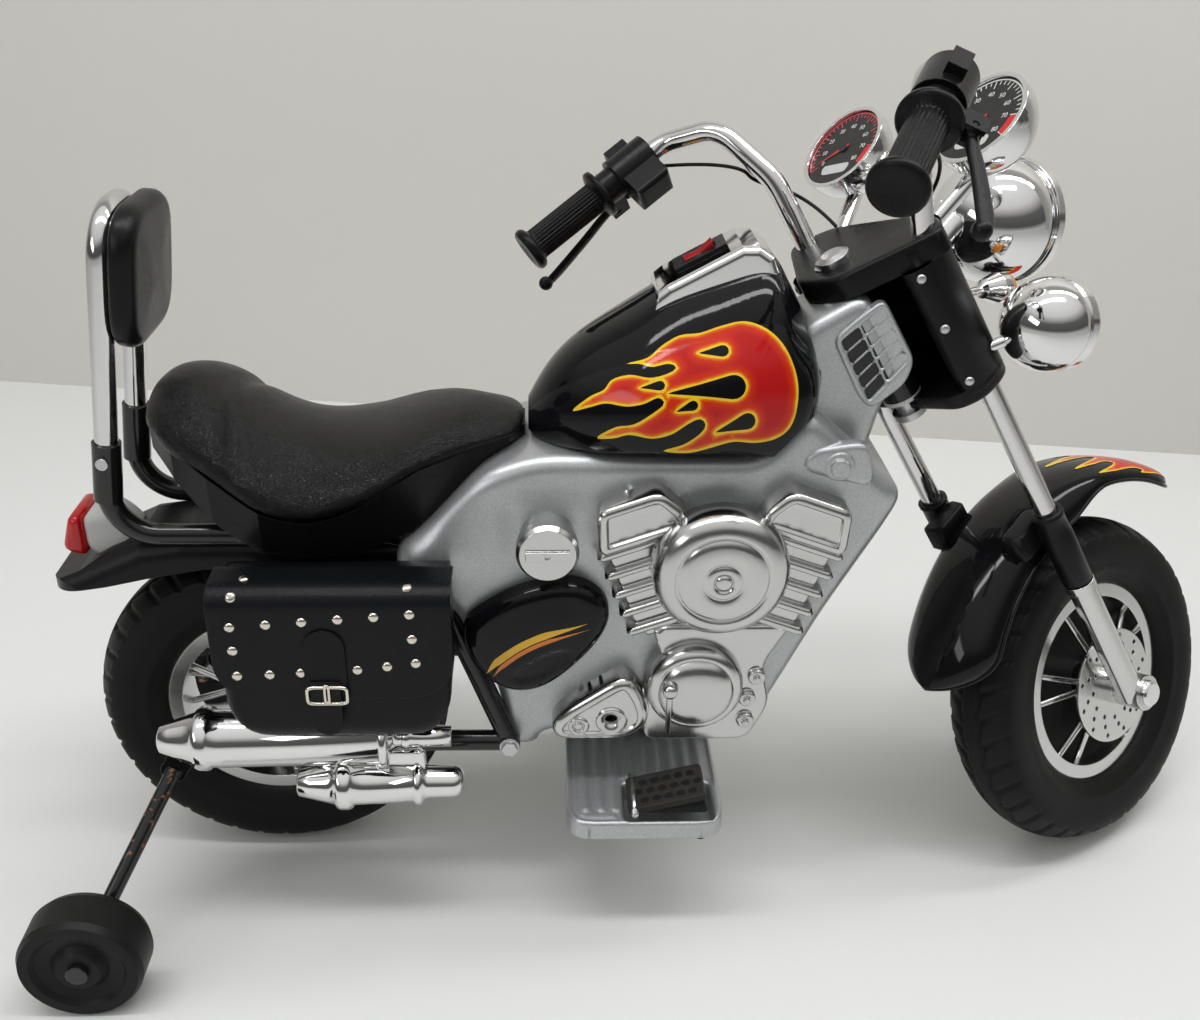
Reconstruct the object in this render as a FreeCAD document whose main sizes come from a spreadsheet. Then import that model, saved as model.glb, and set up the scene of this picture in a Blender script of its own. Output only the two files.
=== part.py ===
# Child's electric motorbike in chopper style, on two road wheels and two stabiliser wheels.
# Millimetres and degrees. X points forward, Y to the left and Z up.
# The origin is on the ground, straight under the rear axle.
import FreeCAD
import Part
import Sketcher
import math
import os

Vector = FreeCAD.Vector
Placement = FreeCAD.Placement
Rotation = FreeCAD.Rotation
ORIGIN = Vector(0, 0, 0)
AHEAD = Vector(1, 0, 0)
ACROSS = Vector(0, 1, 0)
UP = Vector(0, 0, 1)

# Driving sizes: name, value, meaning.
SIZES = (
    ("tyre_radius", 162.0, "outer radius of both road tyres"),
    ("tyre_width", 71.0, "overall width of a road tyre"),
    ("tread_radius", 46.0, "radius of the tread across the tyre"),
    ("bead_radius", 98.0, "radius where tyre and rim meet"),
    ("bead_width", 44.0, "width of the rim's seat"),
    ("rim_depth", 13.0, "radial thickness of the rim's ring"),
    ("hub_radius", 17.0, "radius of both hubs"),
    ("rear_hub_width", 66.0, "length of the rear hub"),
    ("spoke_radius", 3.2, "radius of a spoke"),
    ("spoke_pairs", 10, "number of V pairs of spokes in a wheel"),
    ("axle_radius", 6.0, "radius of both axles"),
    ("running_fit", 0.05, "radial clearance of a shaft in its bore"),
    ("loose_fit", 0.3, "clearance between pieces that only lie together"),
    ("rake", 31.4, "angle of the steering axis from upright"),
    ("steer", 37.0, "left lock of the steering, the pose that is modelled"),
    ("head_gap", 39.3, "steering axis: reference point ahead of the tank"),
    ("head_z", 541.1, "steering axis: height of the reference point"),
    ("axle_lead", 36.5, "front axle ahead of the steering axis"),
    ("leg_lead", 30.0, "fork legs ahead of the steering axis"),
    ("leg_spread", 65.0, "fork leg to middle plane"),
    ("leg_radius", 9.5, "radius of the fork stanchions"),
    ("slider_radius", 12.5, "radius of the lower fork legs"),
    ("slider_top", 318.0, "top of the lower fork legs below the reference point"),
    ("yoke_top", 52.0, "top face of the yoke above the reference point"),
    ("yoke_plate", 20.0, "thickness of the yoke's top plate"),
    ("yoke_floor", 98.0, "underside of the yoke below the reference point"),
    ("yoke_base", 12.0, "thickness of the yoke's bottom plate"),
    ("yoke_bore", 56.0, "radius of the yoke's hollow round the body's nose"),
    ("yoke_width", 152.0, "width of the yoke box"),
    ("yoke_front", 62.0, "front of the yoke box ahead of the steering axis"),
    ("stem_radius", 10.0, "radius of the steering stem"),
    ("head_tube_radius", 17.0, "radius of the frame's head tube"),
    ("bush_radius", 13.0, "radius of the headset bushes"),
    ("bush_flange", 3.7, "thickness of a bush's flange"),
    ("tube_radius", 9.5, "radius of the frame tubes and the bars"),
    ("stay_spread", 76.0, "chain stay to middle plane"),
    ("loop_spread", 42.0, "seat loop and sissy bar to middle plane"),
    ("lug_x", 222.0, "lug joint ahead of the rear axle"),
    ("lug_z", 160.0, "height of the lug joint"),
    ("loop_x", 139.0, "upper bend of the seat loop ahead of the rear axle"),
    ("loop_z", 356.0, "height of the seat loop"),
    ("sissy_x", 116.0, "sissy bar socket behind the rear axle"),
    ("socket_top", 442.0, "top of the sissy bar's sockets"),
    ("sissy_top", 637.0, "top of the sissy bar"),
    ("sissy_lean", 7.0, "forward lean of the sissy bar"),
    ("keel_z", 135.0, "height of the keel tube over the platforms"),
    ("body_half", 72.0, "half width of the body"),
    ("nose_half", 41.0, "half width of the body's nose"),
    ("shell_wall", 3.0, "wall of the plastic shells"),
    ("body_floor", 163.0, "underside of the body"),
    ("body_edge", 7.0, "rounding of the body's edges"),
    ("tank_floor", 441.5, "seat of the tank on the body"),
    ("seat_gap", 3.0, "gap between the seat's nose and the tank"),
    ("tank_length", 240.0, "length of the tank"),
    ("tank_half", 93.0, "half width of the tank"),
    ("tank_height", 155.0, "height of the tank"),
    ("console_half", 34.0, "half width of the tank's console"),
    ("seat_rear", 73.0, "rear end of the seat behind the rear axle"),
    ("seat_length", 310.0, "length of the seat"),
    ("seat_half", 106.0, "half width of the seat"),
    ("seat_low", 388.0, "lowest point of the cushion's edge"),
    ("seat_rise", 110.0, "height of the seat's rear hump over that point"),
    ("base_inset", 7.0, "step from the cushion's edge to the seat base"),
    ("fender_top", 352.0, "top of the rear fender"),
    ("fender_half", 48.0, "half width of the rear fender"),
    ("engine_x", 402.0, "middle of the engine ahead of the rear axle"),
    ("engine_z", 232.0, "height of the crankshaft"),
    ("bank_angle", 20.0, "lean of each cylinder"),
    ("fin_pitch", 19.5, "distance between cooling fins"),
    ("fin_count", 5, "cooling fins on a cylinder"),
    ("fin_depth", 16.0, "how far the fins stand out of the body"),
    ("cleaner_radius", 58.0, "radius of the air cleaner"),
    ("cleaner_depth", 34.0, "depth of the air cleaner"),
    ("cap_radius", 26.0, "radius of the ignition cap"),
    ("side_cover_depth", 24.0, "depth of the side cover"),
    ("platform_rear", 273.0, "rear edge of a foot platform"),
    ("platform_length", 140.0, "length of a foot platform"),
    ("platform_reach", 150.0, "outer edge of a foot platform to middle plane"),
    ("platform_top", 125.0, "top of the foot platforms"),
    ("platform_thickness", 18.0, "thickness of the foot platforms"),
    ("groove_count", 8, "grooves in a foot platform"),
    ("pedal_length", 64.0, "length of the accelerator pedal"),
    ("pedal_width", 44.0, "width of the accelerator pedal"),
    ("pedal_tilt", 14.0, "tilt of the accelerator pedal at rest"),
    ("pin_radius", 3.0, "radius of small hinge pins"),
    ("muffler_radius", 24.0, "radius of the upper muffler"),
    ("muffler_y", 108.0, "upper muffler to middle plane"),
    ("muffler_z", 190.0, "height of the upper muffler"),
    ("bag_rear", -10.0, "rear end of the saddlebag"),
    ("bag_length", 188.0, "length of the saddlebag"),
    ("bag_back", 80.0, "inner face of the saddlebag to middle plane"),
    ("bag_depth", 70.0, "depth of the saddlebag"),
    ("bag_floor", 227.0, "underside of the saddlebag"),
    ("bag_height", 144.0, "height of the saddlebag"),
    ("leather", 3.0, "thickness of the bag's leather"),
    ("flap_drop", 110.0, "drop of the flap over the bag's front"),
    ("wheel_radius", 51.6, "radius of the stabiliser wheels"),
    ("wheel_width", 41.0, "width of the stabiliser wheels"),
    ("wheel_x", -131.0, "stabiliser axle ahead of the rear axle"),
    ("wheel_spread", 218.0, "stabiliser wheel to middle plane"),
    ("arm_radius", 7.0, "radius of the stabiliser arms"),
    ("gear_module", 2.0, "module of the drive gears"),
    ("pinion_teeth", 10, "teeth of the motor pinion"),
    ("gear_teeth", 50, "teeth of the driven gear"),
    ("gear_width", 8.0, "width of the driven gear"),
    ("gear_angle", 44.0, "pinion above the line ahead of the rear axle"),
    ("motor_radius", 18.0, "radius of the drive motor"),
    ("motor_length", 57.0, "length of the drive motor"),
    ("disc_radius", 56.0, "radius of the front brake disc"),
    ("disc_thickness", 3.0, "thickness of the brake disc"),
    ("grip_radius", 13.5, "radius of the hand grips"),
    ("grip_length", 86.0, "length of a hand grip"),
    ("gauge_radius", 43.0, "radius of the gauges"),
    ("headlight_radius", 56.0, "radius of the headlight's rim"),
    ("lamp_radius", 39.0, "radius of the passing lamps"),
    ("wire_radius", 1.6, "radius of the control wires"),
    ("backrest_height", 115.0, "height of the backrest pad"),
    ("backrest_width", 118.0, "width of the backrest pad"),
    ("backrest_thickness", 23.0, "thickness of the backrest pad"),
)

doc = FreeCAD.newDocument("motorbike")
sheet = doc.addObject("Spreadsheet::Sheet", "Sizes")
PIECES = []


class Size:
    """A length, angle or count together with the sheet expression that it comes from."""

    def __init__(self, number, text):
        self.number = float(number)
        self.text = text

    def __float__(self):
        return self.number

    def __neg__(self):
        return Size(-self.number, f"-({self.text})")

    def __add__(self, other):
        other = as_size(other)
        return Size(self.number + other.number, f"({self.text} + {other.text})")

    def __sub__(self, other):
        other = as_size(other)
        return Size(self.number - other.number, f"({self.text} - {other.text})")

    def __mul__(self, other):
        other = as_size(other)
        return Size(self.number * other.number, f"({self.text} * {other.text})")

    def __truediv__(self, other):
        other = as_size(other)
        return Size(self.number / other.number, f"({self.text} / {other.text})")

    def __rsub__(self, other):
        return as_size(other) - self

    __radd__ = __add__
    __rmul__ = __mul__


class SizeTable:
    """The sheet's sizes by name."""

    def __init__(self, rows):
        self.numbers = {}
        for row, (alias, value, meaning) in enumerate(rows, start=1):
            sheet.set(f"A{row}", meaning)
            sheet.set(f"B{row}", str(value))
            sheet.setAlias(f"B{row}", alias)
            self.numbers[alias] = value
        doc.recompute()

    def __getattr__(self, alias):
        return Size(self.numbers[alias], f"Sizes.{alias}")


def as_size(value):
    return value if isinstance(value, Size) else Size(value, repr(float(value)))


def root(value):
    return Size(math.sqrt(value.number), f"sqrt({value.text})")


def vec(x, y, z):
    return Vector(float(x), float(y), float(z))


def sine(angle):
    return math.sin(math.radians(float(angle)))


def cosine(angle):
    return math.cos(math.radians(float(angle)))


S = SizeTable(SIZES)

# Heights and places that follow from the driving sizes.
TANK_REAR = S.seat_length - S.seat_rear + S.seat_gap
HEAD_X = TANK_REAR + S.tank_length + S.head_gap
LEAN = math.asin(sine(S.rake) * sine(S.steer))
STANDING = (float(S.tyre_radius) - float(S.tread_radius)) * math.cos(LEAN) + float(S.tread_radius)
AXLE_RISE = float(S.axle_lead) * sine(S.rake) * cosine(S.steer)
AXLE_DROP = (float(S.head_z) + AXLE_RISE - STANDING) / cosine(S.rake)
FORK_STRAIGHT = Placement(vec(HEAD_X, 0, S.head_z), Rotation(ACROSS, -float(S.rake)))
FORK = FORK_STRAIGHT.multiply(Placement(ORIGIN, Rotation(UP, float(S.steer))))
LEVEL_AHEAD = Vector(cosine(S.rake), 0, -sine(S.rake))
GEAR_CENTRES = float(S.gear_module) * (float(S.gear_teeth) + float(S.pinion_teeth)) / 2


def in_fork(x, y, z, turn=None):
    """Placement of a piece of the front end, from its place in the fork's own frame."""
    return FORK.multiply(Placement(vec(x, y, z), turn or Rotation()))


def piece(obj, label, where=None):
    """Keep an object as a finished piece under its own name."""
    obj.Label = label
    if where is not None:
        obj.Placement = where
    PIECES.append((obj, label))
    return obj


def shaped(name, shape):
    """A document object that holds a shape made directly."""
    obj = doc.addObject("Part::Feature", name)
    obj.Shape = shape
    return obj


def mirrored(name, source):
    """The left-hand copy of a right-hand object."""
    copy = doc.addObject("Part::Mirroring", name)
    copy.Source = source
    copy.Normal = ACROSS
    return copy


def pair(label, right_hand, where=None):
    """A right-hand object and its mirror image as one piece of two solids."""
    both = doc.addObject("Part::Compound", label + "_both")
    both.Links = [right_hand, mirrored(label + "_left_hand", right_hand)]
    return piece(both, label, where)


def pin_vertex(links, bindings, geometry, end, x, y):
    """Constraints that hold a sketch vertex at x and y."""
    for kind, axis, value in (("DistanceX", -2, x), ("DistanceY", -1, y)):
        value = as_size(value)
        if abs(value.number) < 1e-9:
            links.append(Sketcher.Constraint("PointOnObject", geometry, end, axis))
            continue
        if value.number > 0:
            links.append(Sketcher.Constraint(kind, -1, 1, geometry, end, value.number))
        else:
            value = -value
            links.append(Sketcher.Constraint(kind, geometry, end, -1, 1, value.number))
        bindings.append((len(links) - 1, value.text))


def arc_through(start, finish, radius):
    """Arc of that radius between two points, with its centre on the left if the radius is positive."""
    chord = finish - start
    left = Vector(-chord.y, chord.x, 0).normalize()
    reach = math.sqrt(radius ** 2 - chord.Length ** 2 / 4)
    centre = (start + finish) * 0.5 + left * math.copysign(reach, radius)
    first, last = (start, finish) if radius > 0 else (finish, start)
    angles = [math.atan2(p.y - centre.y, p.x - centre.x) for p in (first, last)]
    return Part.ArcOfCircle(Part.Circle(centre, UP, abs(radius)), *angles)


def outline_sketch(body, name, points, plane="XY_Plane"):
    """Closed sketch through points (x, y), or (x, y, radius) where an arc leads to the next point."""
    sketch = body.newObject("Sketcher::SketchObject", name)
    support = [f for f in body.Origin.OriginFeatures if f.Role == plane][0]
    sketch.AttachmentSupport = (support, [""])
    sketch.MapMode = "FlatFace"
    corners = [vec(p[0], p[1], 0) for p in points]
    links, bindings, ends = [], [], []
    for index, point in enumerate(points):
        start, finish = corners[index], corners[(index + 1) % len(corners)]
        radius = float(point[2]) if len(point) > 2 else 0.0
        edge = arc_through(start, finish, radius) if radius else Part.LineSegment(start, finish)
        sketch.addGeometry(edge, False)
        ends.append((2, 1) if radius < 0 else (1, 2))
    for index, point in enumerate(points):
        following = (index + 1) % len(points)
        links.append(Sketcher.Constraint("Coincident", index, ends[index][1], following, ends[following][0]))
        pin_vertex(links, bindings, index, ends[index][0], point[0], point[1])
        if len(point) > 2:
            size = as_size(point[2])
            size = size if size.number > 0 else -size
            links.append(Sketcher.Constraint("Radius", index, size.number))
            bindings.append((len(links) - 1, size.text))
    sketch.addConstraint(links)
    for index, text in bindings:
        sketch.setExpression(f"Constraints[{index}]", text)
    return sketch


def turned(name, points):
    """Body turned about its own Y axis from an outline of (radius, along)."""
    body = doc.addObject("PartDesign::Body", name)
    sketch = outline_sketch(body, name + "_outline", points)
    turn = body.newObject("PartDesign::Revolution", name + "_turn")
    turn.Profile = sketch
    turn.ReferenceAxis = (sketch, ["V_Axis"])
    turn.Angle = 360
    return body


def sleeve(name, inner, outer, start, finish):
    """Turned tube, or a rod where the inner radius is 0."""
    return turned(name, [(inner, start), (outer, start), (outer, finish), (inner, finish)])


def padded(name, points, depth, plane="XY_Plane"):
    """Body of an outline padded by a depth along the plane's normal."""
    body = doc.addObject("PartDesign::Body", name)
    sketch = outline_sketch(body, name + "_outline", points, plane)
    pad = body.newObject("PartDesign::Pad", name + "_pad")
    pad.Profile = sketch
    pad.setExpression("Length", as_size(depth).text)
    return body


def fused(name, *objects):
    union = doc.addObject("Part::MultiFuse", name)
    union.Shapes = list(objects)
    union.Refine = True
    return union


def cut(name, base, tool):
    difference = doc.addObject("Part::Cut", name)
    difference.Base = base
    difference.Tool = tool
    difference.Refine = True
    return difference


def rod_shape(start, finish, radius):
    """Straight round rod between two points."""
    return Part.makeCylinder(float(radius), (finish - start).Length, start, finish - start)


def prism(points, start, finish):
    """Solid of an outline in the XZ plane, between two places across."""
    corners = [vec(x, start, z) for x, z in points]
    face = Part.Face(Part.makePolygon(corners + corners[:1]))
    return face.extrude(vec(0, float(finish) - float(start), 0))


def slab(low, high):
    """Box between two corners."""
    size = high - low
    return Part.makeBox(size.x, size.y, size.z, low)


def bent_path(points, bends):
    """Wire of straight runs with a tangent arc at each inner point."""
    edges = []
    here = points[0]
    for index, bend in enumerate(bends, start=1):
        corner = points[index]
        back = (points[index - 1] - corner).normalize()
        onward = (points[index + 1] - corner).normalize()
        half_turn = (math.pi - back.getAngle(onward)) / 2
        setback = bend * math.tan(half_turn)
        enter, leave = corner + back * setback, corner + onward * setback
        middle = (back + onward).normalize()
        summit = corner + middle * (bend / math.cos(half_turn) - bend)
        edges.append(Part.LineSegment(here, enter).toShape())
        edges.append(Part.Arc(enter, summit, leave).toShape())
        here = leave
    edges.append(Part.LineSegment(here, points[-1]).toShape())
    return Part.Wire(edges)


def bent_tube(points, bends, radius):
    """Round bar along a bent path."""
    path = bent_path(points, bends)
    section = Part.Wire(Part.makeCircle(float(radius), points[0], points[1] - points[0]))
    return path.makePipeShell([section], True, False)


def lofted(sections):
    return Part.makeLoft(sections, True, False)


def hexagon_shape(across, height):
    """Hexagon bar standing on the XY plane."""
    reach = across / math.sqrt(3)
    corners = [vec(reach * cosine(60 * k), reach * sine(60 * k), 0) for k in range(7)]
    return Part.Face(Part.makePolygon(corners)).extrude(vec(0, 0, height))


def tyre(label, where):
    half = S.tyre_width / 2
    shoulder = half * 0.87
    core = S.tyre_radius - S.tread_radius
    shoulder_reach = core + root(S.tread_radius * S.tread_radius - shoulder * shoulder)
    bulge = S.bead_radius + (S.tyre_radius - S.bead_radius) * 0.55
    bead = S.bead_width / 2
    outline = [(S.bead_radius, -bead), (bulge, -half), (shoulder_reach, -shoulder, S.tread_radius),
               (shoulder_reach, shoulder), (bulge, half), (S.bead_radius, bead)]
    piece(turned(label, outline), label, where)


def rim(label, hub_width, where):
    """Ring, hub and V pairs of spokes that lean to both sides in turn."""
    seat = S.bead_radius - S.running_fit
    ring_inside = seat - S.rim_depth
    bead = S.bead_width / 2
    ring = sleeve(label + "_ring", ring_inside, seat, -bead, bead)
    hub = sleeve(label + "_hub", S.axle_radius + S.running_fit, S.hub_radius, -hub_width / 2, hub_width / 2)
    spokes = []
    inner = (float(S.axle_radius) + float(S.hub_radius)) / 2
    outer = float(ring_inside) + float(S.rim_depth) / 2
    count = int(float(S.spoke_pairs))
    for k in range(count):
        side = 1 if k % 2 else -1
        for splay in (-11, 11):
            middle = 360 * k / count
            foot = vec(inner * cosine(middle), side * float(hub_width) * 0.3, inner * sine(middle))
            angle = middle + splay
            tip = vec(outer * cosine(angle), side * float(bead) * 0.35, outer * sine(angle))
            spokes.append(rod_shape(foot, tip, S.spoke_radius))
    spread = shaped(label + "_spokes", spokes[0].fuse(spokes[1:]))
    piece(fused(label + "_wheel", ring, hub, spread), label, where)


def toothed(teeth, thickness, bore, backlash=0.12):
    """Spur gear about the Y axis with straight-flanked teeth, starting at the XZ plane."""
    module = float(S.gear_module)
    pitch = module * teeth / 2
    step = 360.0 / teeth
    corners = []
    for k in range(teeth):
        for share, radius in ((-0.30, pitch - 1.25 * module), (-0.12, pitch + 0.9 * module),
                              (0.12, pitch + 0.9 * module), (0.30, pitch - 1.25 * module)):
            angle = step * (k + share * (1 - backlash))
            corners.append(vec(radius * cosine(angle), 0, radius * sine(angle)))
    wheel = Part.Face(Part.makePolygon(corners + corners[:1])).extrude(vec(0, thickness, 0))
    return wheel.cut(Part.makeCylinder(bore, thickness, ORIGIN, ACROSS))


def rear_wheel():
    where = Placement(vec(0, 0, S.tyre_radius), Rotation())
    tyre("rear_tyre", where)
    rim("rear_rim", S.rear_hub_width, where)
    start = S.rear_hub_width / 2
    gear_start = float(start) + 13
    bore = float(S.axle_radius) + float(S.running_fit)
    wheel = toothed(int(float(S.gear_teeth)), float(S.gear_width), bore)
    wheel.translate(vec(0, gear_start, 0))
    collar = Part.makeCylinder(15, 13, vec(0, start, 0), ACROSS).cut(
        Part.makeCylinder(bore, 13, vec(0, start, 0), ACROSS))
    piece(shaped("drive_gear", wheel.fuse(collar).removeSplitter()), "drive_gear", where)


def drive():
    """Gearbox case on the left of the rear wheel, with the motor outside and its pinion inside."""
    axle = vec(0, 0, S.tyre_radius)
    motor = axle + vec(GEAR_CENTRES * cosine(S.gear_angle), 0, GEAR_CENTRES * sine(S.gear_angle))
    gear_start = float(S.rear_hub_width) / 2 + 13
    gear_end = gear_start + float(S.gear_width)
    module = float(S.gear_module)
    gear_reach = module * float(S.gear_teeth) / 2 + module
    pinion_reach = module * float(S.pinion_teeth) / 2 + module
    inner = float(S.tyre_width) / 2 + 4
    outer = float(S.stay_spread) - float(S.tube_radius) - 0.5

    def hollow(grow, start, finish):
        big = Part.makeCylinder(gear_reach + grow, finish - start, axle + ACROSS * start, ACROSS)
        small = Part.makeCylinder(pinion_reach + grow, finish - start, motor + ACROSS * start, ACROSS)
        return big.fuse(small)

    case = hollow(6, inner, outer).cut(hollow(2, gear_start - 2, gear_end + 2))
    case = case.cut(Part.makeCylinder(16, gear_start - inner, axle + ACROSS * inner, ACROSS))
    case = case.cut(rod_shape(axle, axle + ACROSS * outer, float(S.axle_radius) + float(S.loose_fit)))
    shaft = 2.5
    shaft_bore = shaft + float(S.running_fit)
    case = case.cut(rod_shape(motor + ACROSS * gear_end, motor + ACROSS * outer, shaft_bore))
    piece(shaped("gearbox_case", case), "gearbox_case")
    can = rod_shape(motor + ACROSS * outer, motor + ACROSS * (outer + float(S.motor_length)), S.motor_radius)
    tail = rod_shape(motor + ACROSS * (outer + float(S.motor_length)),
                     motor + ACROSS * (outer + float(S.motor_length) + 5), 7)
    can = can.fuse(tail).cut(rod_shape(motor + ACROSS * outer, motor + ACROSS * (outer + 12), shaft_bore))
    piece(shaped("drive_motor", can.removeSplitter()), "drive_motor")
    pinion = toothed(int(float(S.pinion_teeth)), float(S.gear_width), shaft)
    half_tooth = 180.0 / float(S.pinion_teeth)
    mesh_turn = 180 - float(S.gear_angle) * (1 + float(S.gear_teeth) / float(S.pinion_teeth)) + half_tooth
    pinion.rotate(ORIGIN, ACROSS, mesh_turn)
    pinion.translate(vec(0, gear_start, 0))
    spindle = rod_shape(ACROSS * (gear_start - 1), ACROSS * (outer + 11), shaft)
    piece(shaped("drive_pinion", pinion.fuse(spindle).removeSplitter()), "drive_pinion",
          Placement(motor, Rotation()))


def rear_axle():
    """Axle rod with a spacer collar and hexagon nuts."""
    z = vec(0, 0, S.tyre_radius)
    stay = float(S.stay_spread) + float(S.tube_radius) + 0.2
    end = stay + 9
    rod = rod_shape(z - ACROSS * end, z + ACROSS * end, S.axle_radius)
    hub_end = float(S.rear_hub_width) / 2 + float(S.loose_fit)
    spacer_end = float(S.stay_spread) - float(S.tube_radius) - 0.2
    spacer = rod_shape(z - ACROSS * spacer_end, z - ACROSS * hub_end, 10)
    nuts = []
    for side in (-1, 1):
        nut = hexagon_shape(16, 6)
        nut.Placement = Placement(z + ACROSS * side * stay, Rotation(UP, ACROSS * side))
        nuts.append(nut)
    piece(shaped("rear_axle", rod.fuse([spacer] + nuts).removeSplitter()), "rear_axle")


def stabilisers():
    """Arms from the chain stays down to the stub axles, and the two wheels."""
    plate_in = float(S.stay_spread) + float(S.tube_radius) + 0.2
    plate_out = plate_in + 5.5
    hub = vec(S.wheel_x, -float(S.wheel_spread), S.wheel_radius)
    inside = float(S.wheel_width) / 2 + 1
    shoulder = hub + ACROSS * inside
    knee = shoulder + ACROSS * 14
    bolt = stay_end(-1)
    along = vec(knee.x - bolt.x, 0, knee.z - bolt.z).normalize()
    start = bolt + along * 26
    start.y = -(plate_in + plate_out) / 2
    thick = plate_out - plate_in
    upper = Part.makeCylinder(15, thick, vec(bolt.x, -plate_out, bolt.z), ACROSS)
    lower = Part.makeCylinder(12, thick, vec(start.x, -plate_out, start.z), ACROSS)
    square = vec(-along.z, 0, along.x)
    corners = [bolt + square * 13, bolt - square * 13, start - square * 11, start + square * 11]
    plate = prism([(c.x, c.z) for c in corners], -plate_in, -plate_out).fuse([upper, lower])
    arm = bent_tube([start, knee, shoulder], [9], S.arm_radius)
    arm = arm.cut(slab(vec(start.x - 40, -plate_in, start.z - 40), vec(start.x + 40, 0, start.z + 40)))
    stub = rod_shape(shoulder, hub - ACROSS * (inside + 3), 5)
    washer = rod_shape(hub - ACROSS * (inside - 0.7), hub - ACROSS * (inside + 3), 9)
    arm = arm.fuse([plate, stub, washer])
    pair("stabiliser_arms", shaped("stabiliser_arm_right", arm.removeSplitter()))
    half = S.wheel_width / 2
    tread = S.wheel_radius
    outline = [(5 + S.running_fit, -half), (18, -half), (24, -half + 6), (36, -half + 4), (40, -half),
               (tread - 3, -half), (tread, -half + 6), (tread, half - 6), (tread - 3, half), (40, half),
               (36, half - 4), (24, half - 6), (18, half), (5 + S.running_fit, half)]
    for label, side in (("stabiliser_wheel_right", -1), ("stabiliser_wheel_left", 1)):
        body = piece(turned(label, outline), label)
        body.setExpression("Placement.Base.x", S.wheel_x.text)
        body.setExpression("Placement.Base.y", (S.wheel_spread * side).text)
        body.setExpression("Placement.Base.z", S.wheel_radius.text)


def frame_tubes(grow=0.0):
    """All round tubes of the welded frame, thicker by an amount where they are a clearance."""
    radius = float(S.tube_radius) + grow
    tubes = []
    head_low = FORK_STRAIGHT.multVec(vec(0, 0, -float(S.yoke_floor) + float(S.yoke_base) + 4 - grow))
    head_high = FORK_STRAIGHT.multVec(vec(0, 0, float(S.yoke_top) - float(S.yoke_plate) - 4 + grow))
    tubes.append(rod_shape(head_low, head_high, float(S.head_tube_radius) + grow))
    neck = FORK_STRAIGHT.multVec(vec(0, 0, -30))
    cross = vec(S.loop_x, 0, float(S.loop_z) - 4)
    knee_x, knee_z = near_head(-99.3, -129.1)
    tubes.append(bent_tube([neck, vec(knee_x, 0, knee_z), cross], [90], radius))
    lug = vec(S.lug_x, 0, S.lug_z)
    tubes.append(bent_tube([lug, vec(264, 0, S.keel_z), vec(425, 0, S.keel_z)], [40], radius))
    reach = float(S.stay_spread) + float(S.tube_radius)
    tubes.append(rod_shape(lug - ACROSS * reach, lug + ACROSS * reach, radius))
    loop = float(S.loop_spread)
    tubes.append(rod_shape(cross - ACROSS * loop, cross + ACROSS * loop, radius))
    lean = math.tan(math.radians(float(S.sissy_lean)))
    for side in (-1, 1):
        foot = lug + ACROSS * side * float(S.stay_spread)
        socket = vec(-float(S.sissy_x), side * loop, S.loop_z)
        top = vec(socket.x + (float(S.socket_top) - socket.z) * lean, socket.y, S.socket_top)
        tubes.append(bent_tube([foot, vec(S.loop_x, side * loop, S.loop_z), socket, top], [34, 38], radius))
        tubes.append(rod_shape(stay_end(side), foot, radius))
    return tubes


def stay_end(side):
    """Rear end of a chain stay, behind the axle, where the stabiliser arm is bolted on."""
    axle = vec(0, side * float(S.stay_spread), S.tyre_radius)
    lug = vec(S.lug_x, side * float(S.stay_spread), S.lug_z)
    return axle + (axle - lug).normalize() * 66


def frame():
    tubes = frame_tubes()
    ends = []
    bores = []
    for side in (-1, 1):
        eye = vec(0, side * float(S.stay_spread), S.tyre_radius)
        out = ACROSS * (float(S.tube_radius) + 0.15)
        ends.append(rod_shape(eye - out, eye + out, 16))
        ends.append(rod_shape(stay_end(side) - out, stay_end(side) + out, 13))
        bores.append(rod_shape(eye - out * 1.2, eye + out * 1.2, float(S.axle_radius) + 0.1))
        top = sissy_line(side, S.socket_top)
        below = sissy_line(side, float(S.socket_top) - 52)
        ends.append(rod_shape(below, top, float(S.tube_radius) + 2.3))
        deep = sissy_line(side, float(S.socket_top) - 46)
        bores.append(rod_shape(deep, sissy_line(side, float(S.socket_top) + 1), float(S.tube_radius) + 0.1))
    low = FORK_STRAIGHT.multVec(vec(0, 0, -float(S.yoke_floor)))
    high = FORK_STRAIGHT.multVec(vec(0, 0, S.yoke_top))
    bores.append(rod_shape(low, high, S.bush_radius))
    welded = tubes[0]
    for tube in tubes[1:] + ends:
        welded = welded.fuse(tube)
    for bore in bores:
        welded = welded.cut(bore)
    piece(shaped("main_frame", welded), "main_frame")


def sissy_line(side, z):
    """Point on the axis of a sissy bar leg at that height."""
    lean = math.tan(math.radians(float(S.sissy_lean)))
    x = -float(S.sissy_x) + (float(z) - float(S.loop_z)) * lean
    return vec(x, side * float(S.loop_spread), z)


def sissy_bar():
    foot = float(S.socket_top) - 44
    shoulder = float(S.sissy_top) - float(S.tube_radius)
    points = [sissy_line(-1, foot), sissy_line(-1, shoulder), sissy_line(1, shoulder), sissy_line(1, foot)]
    piece(shaped("sissy_bar", bent_tube(points, [36, 36], S.tube_radius)), "sissy_bar")


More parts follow.
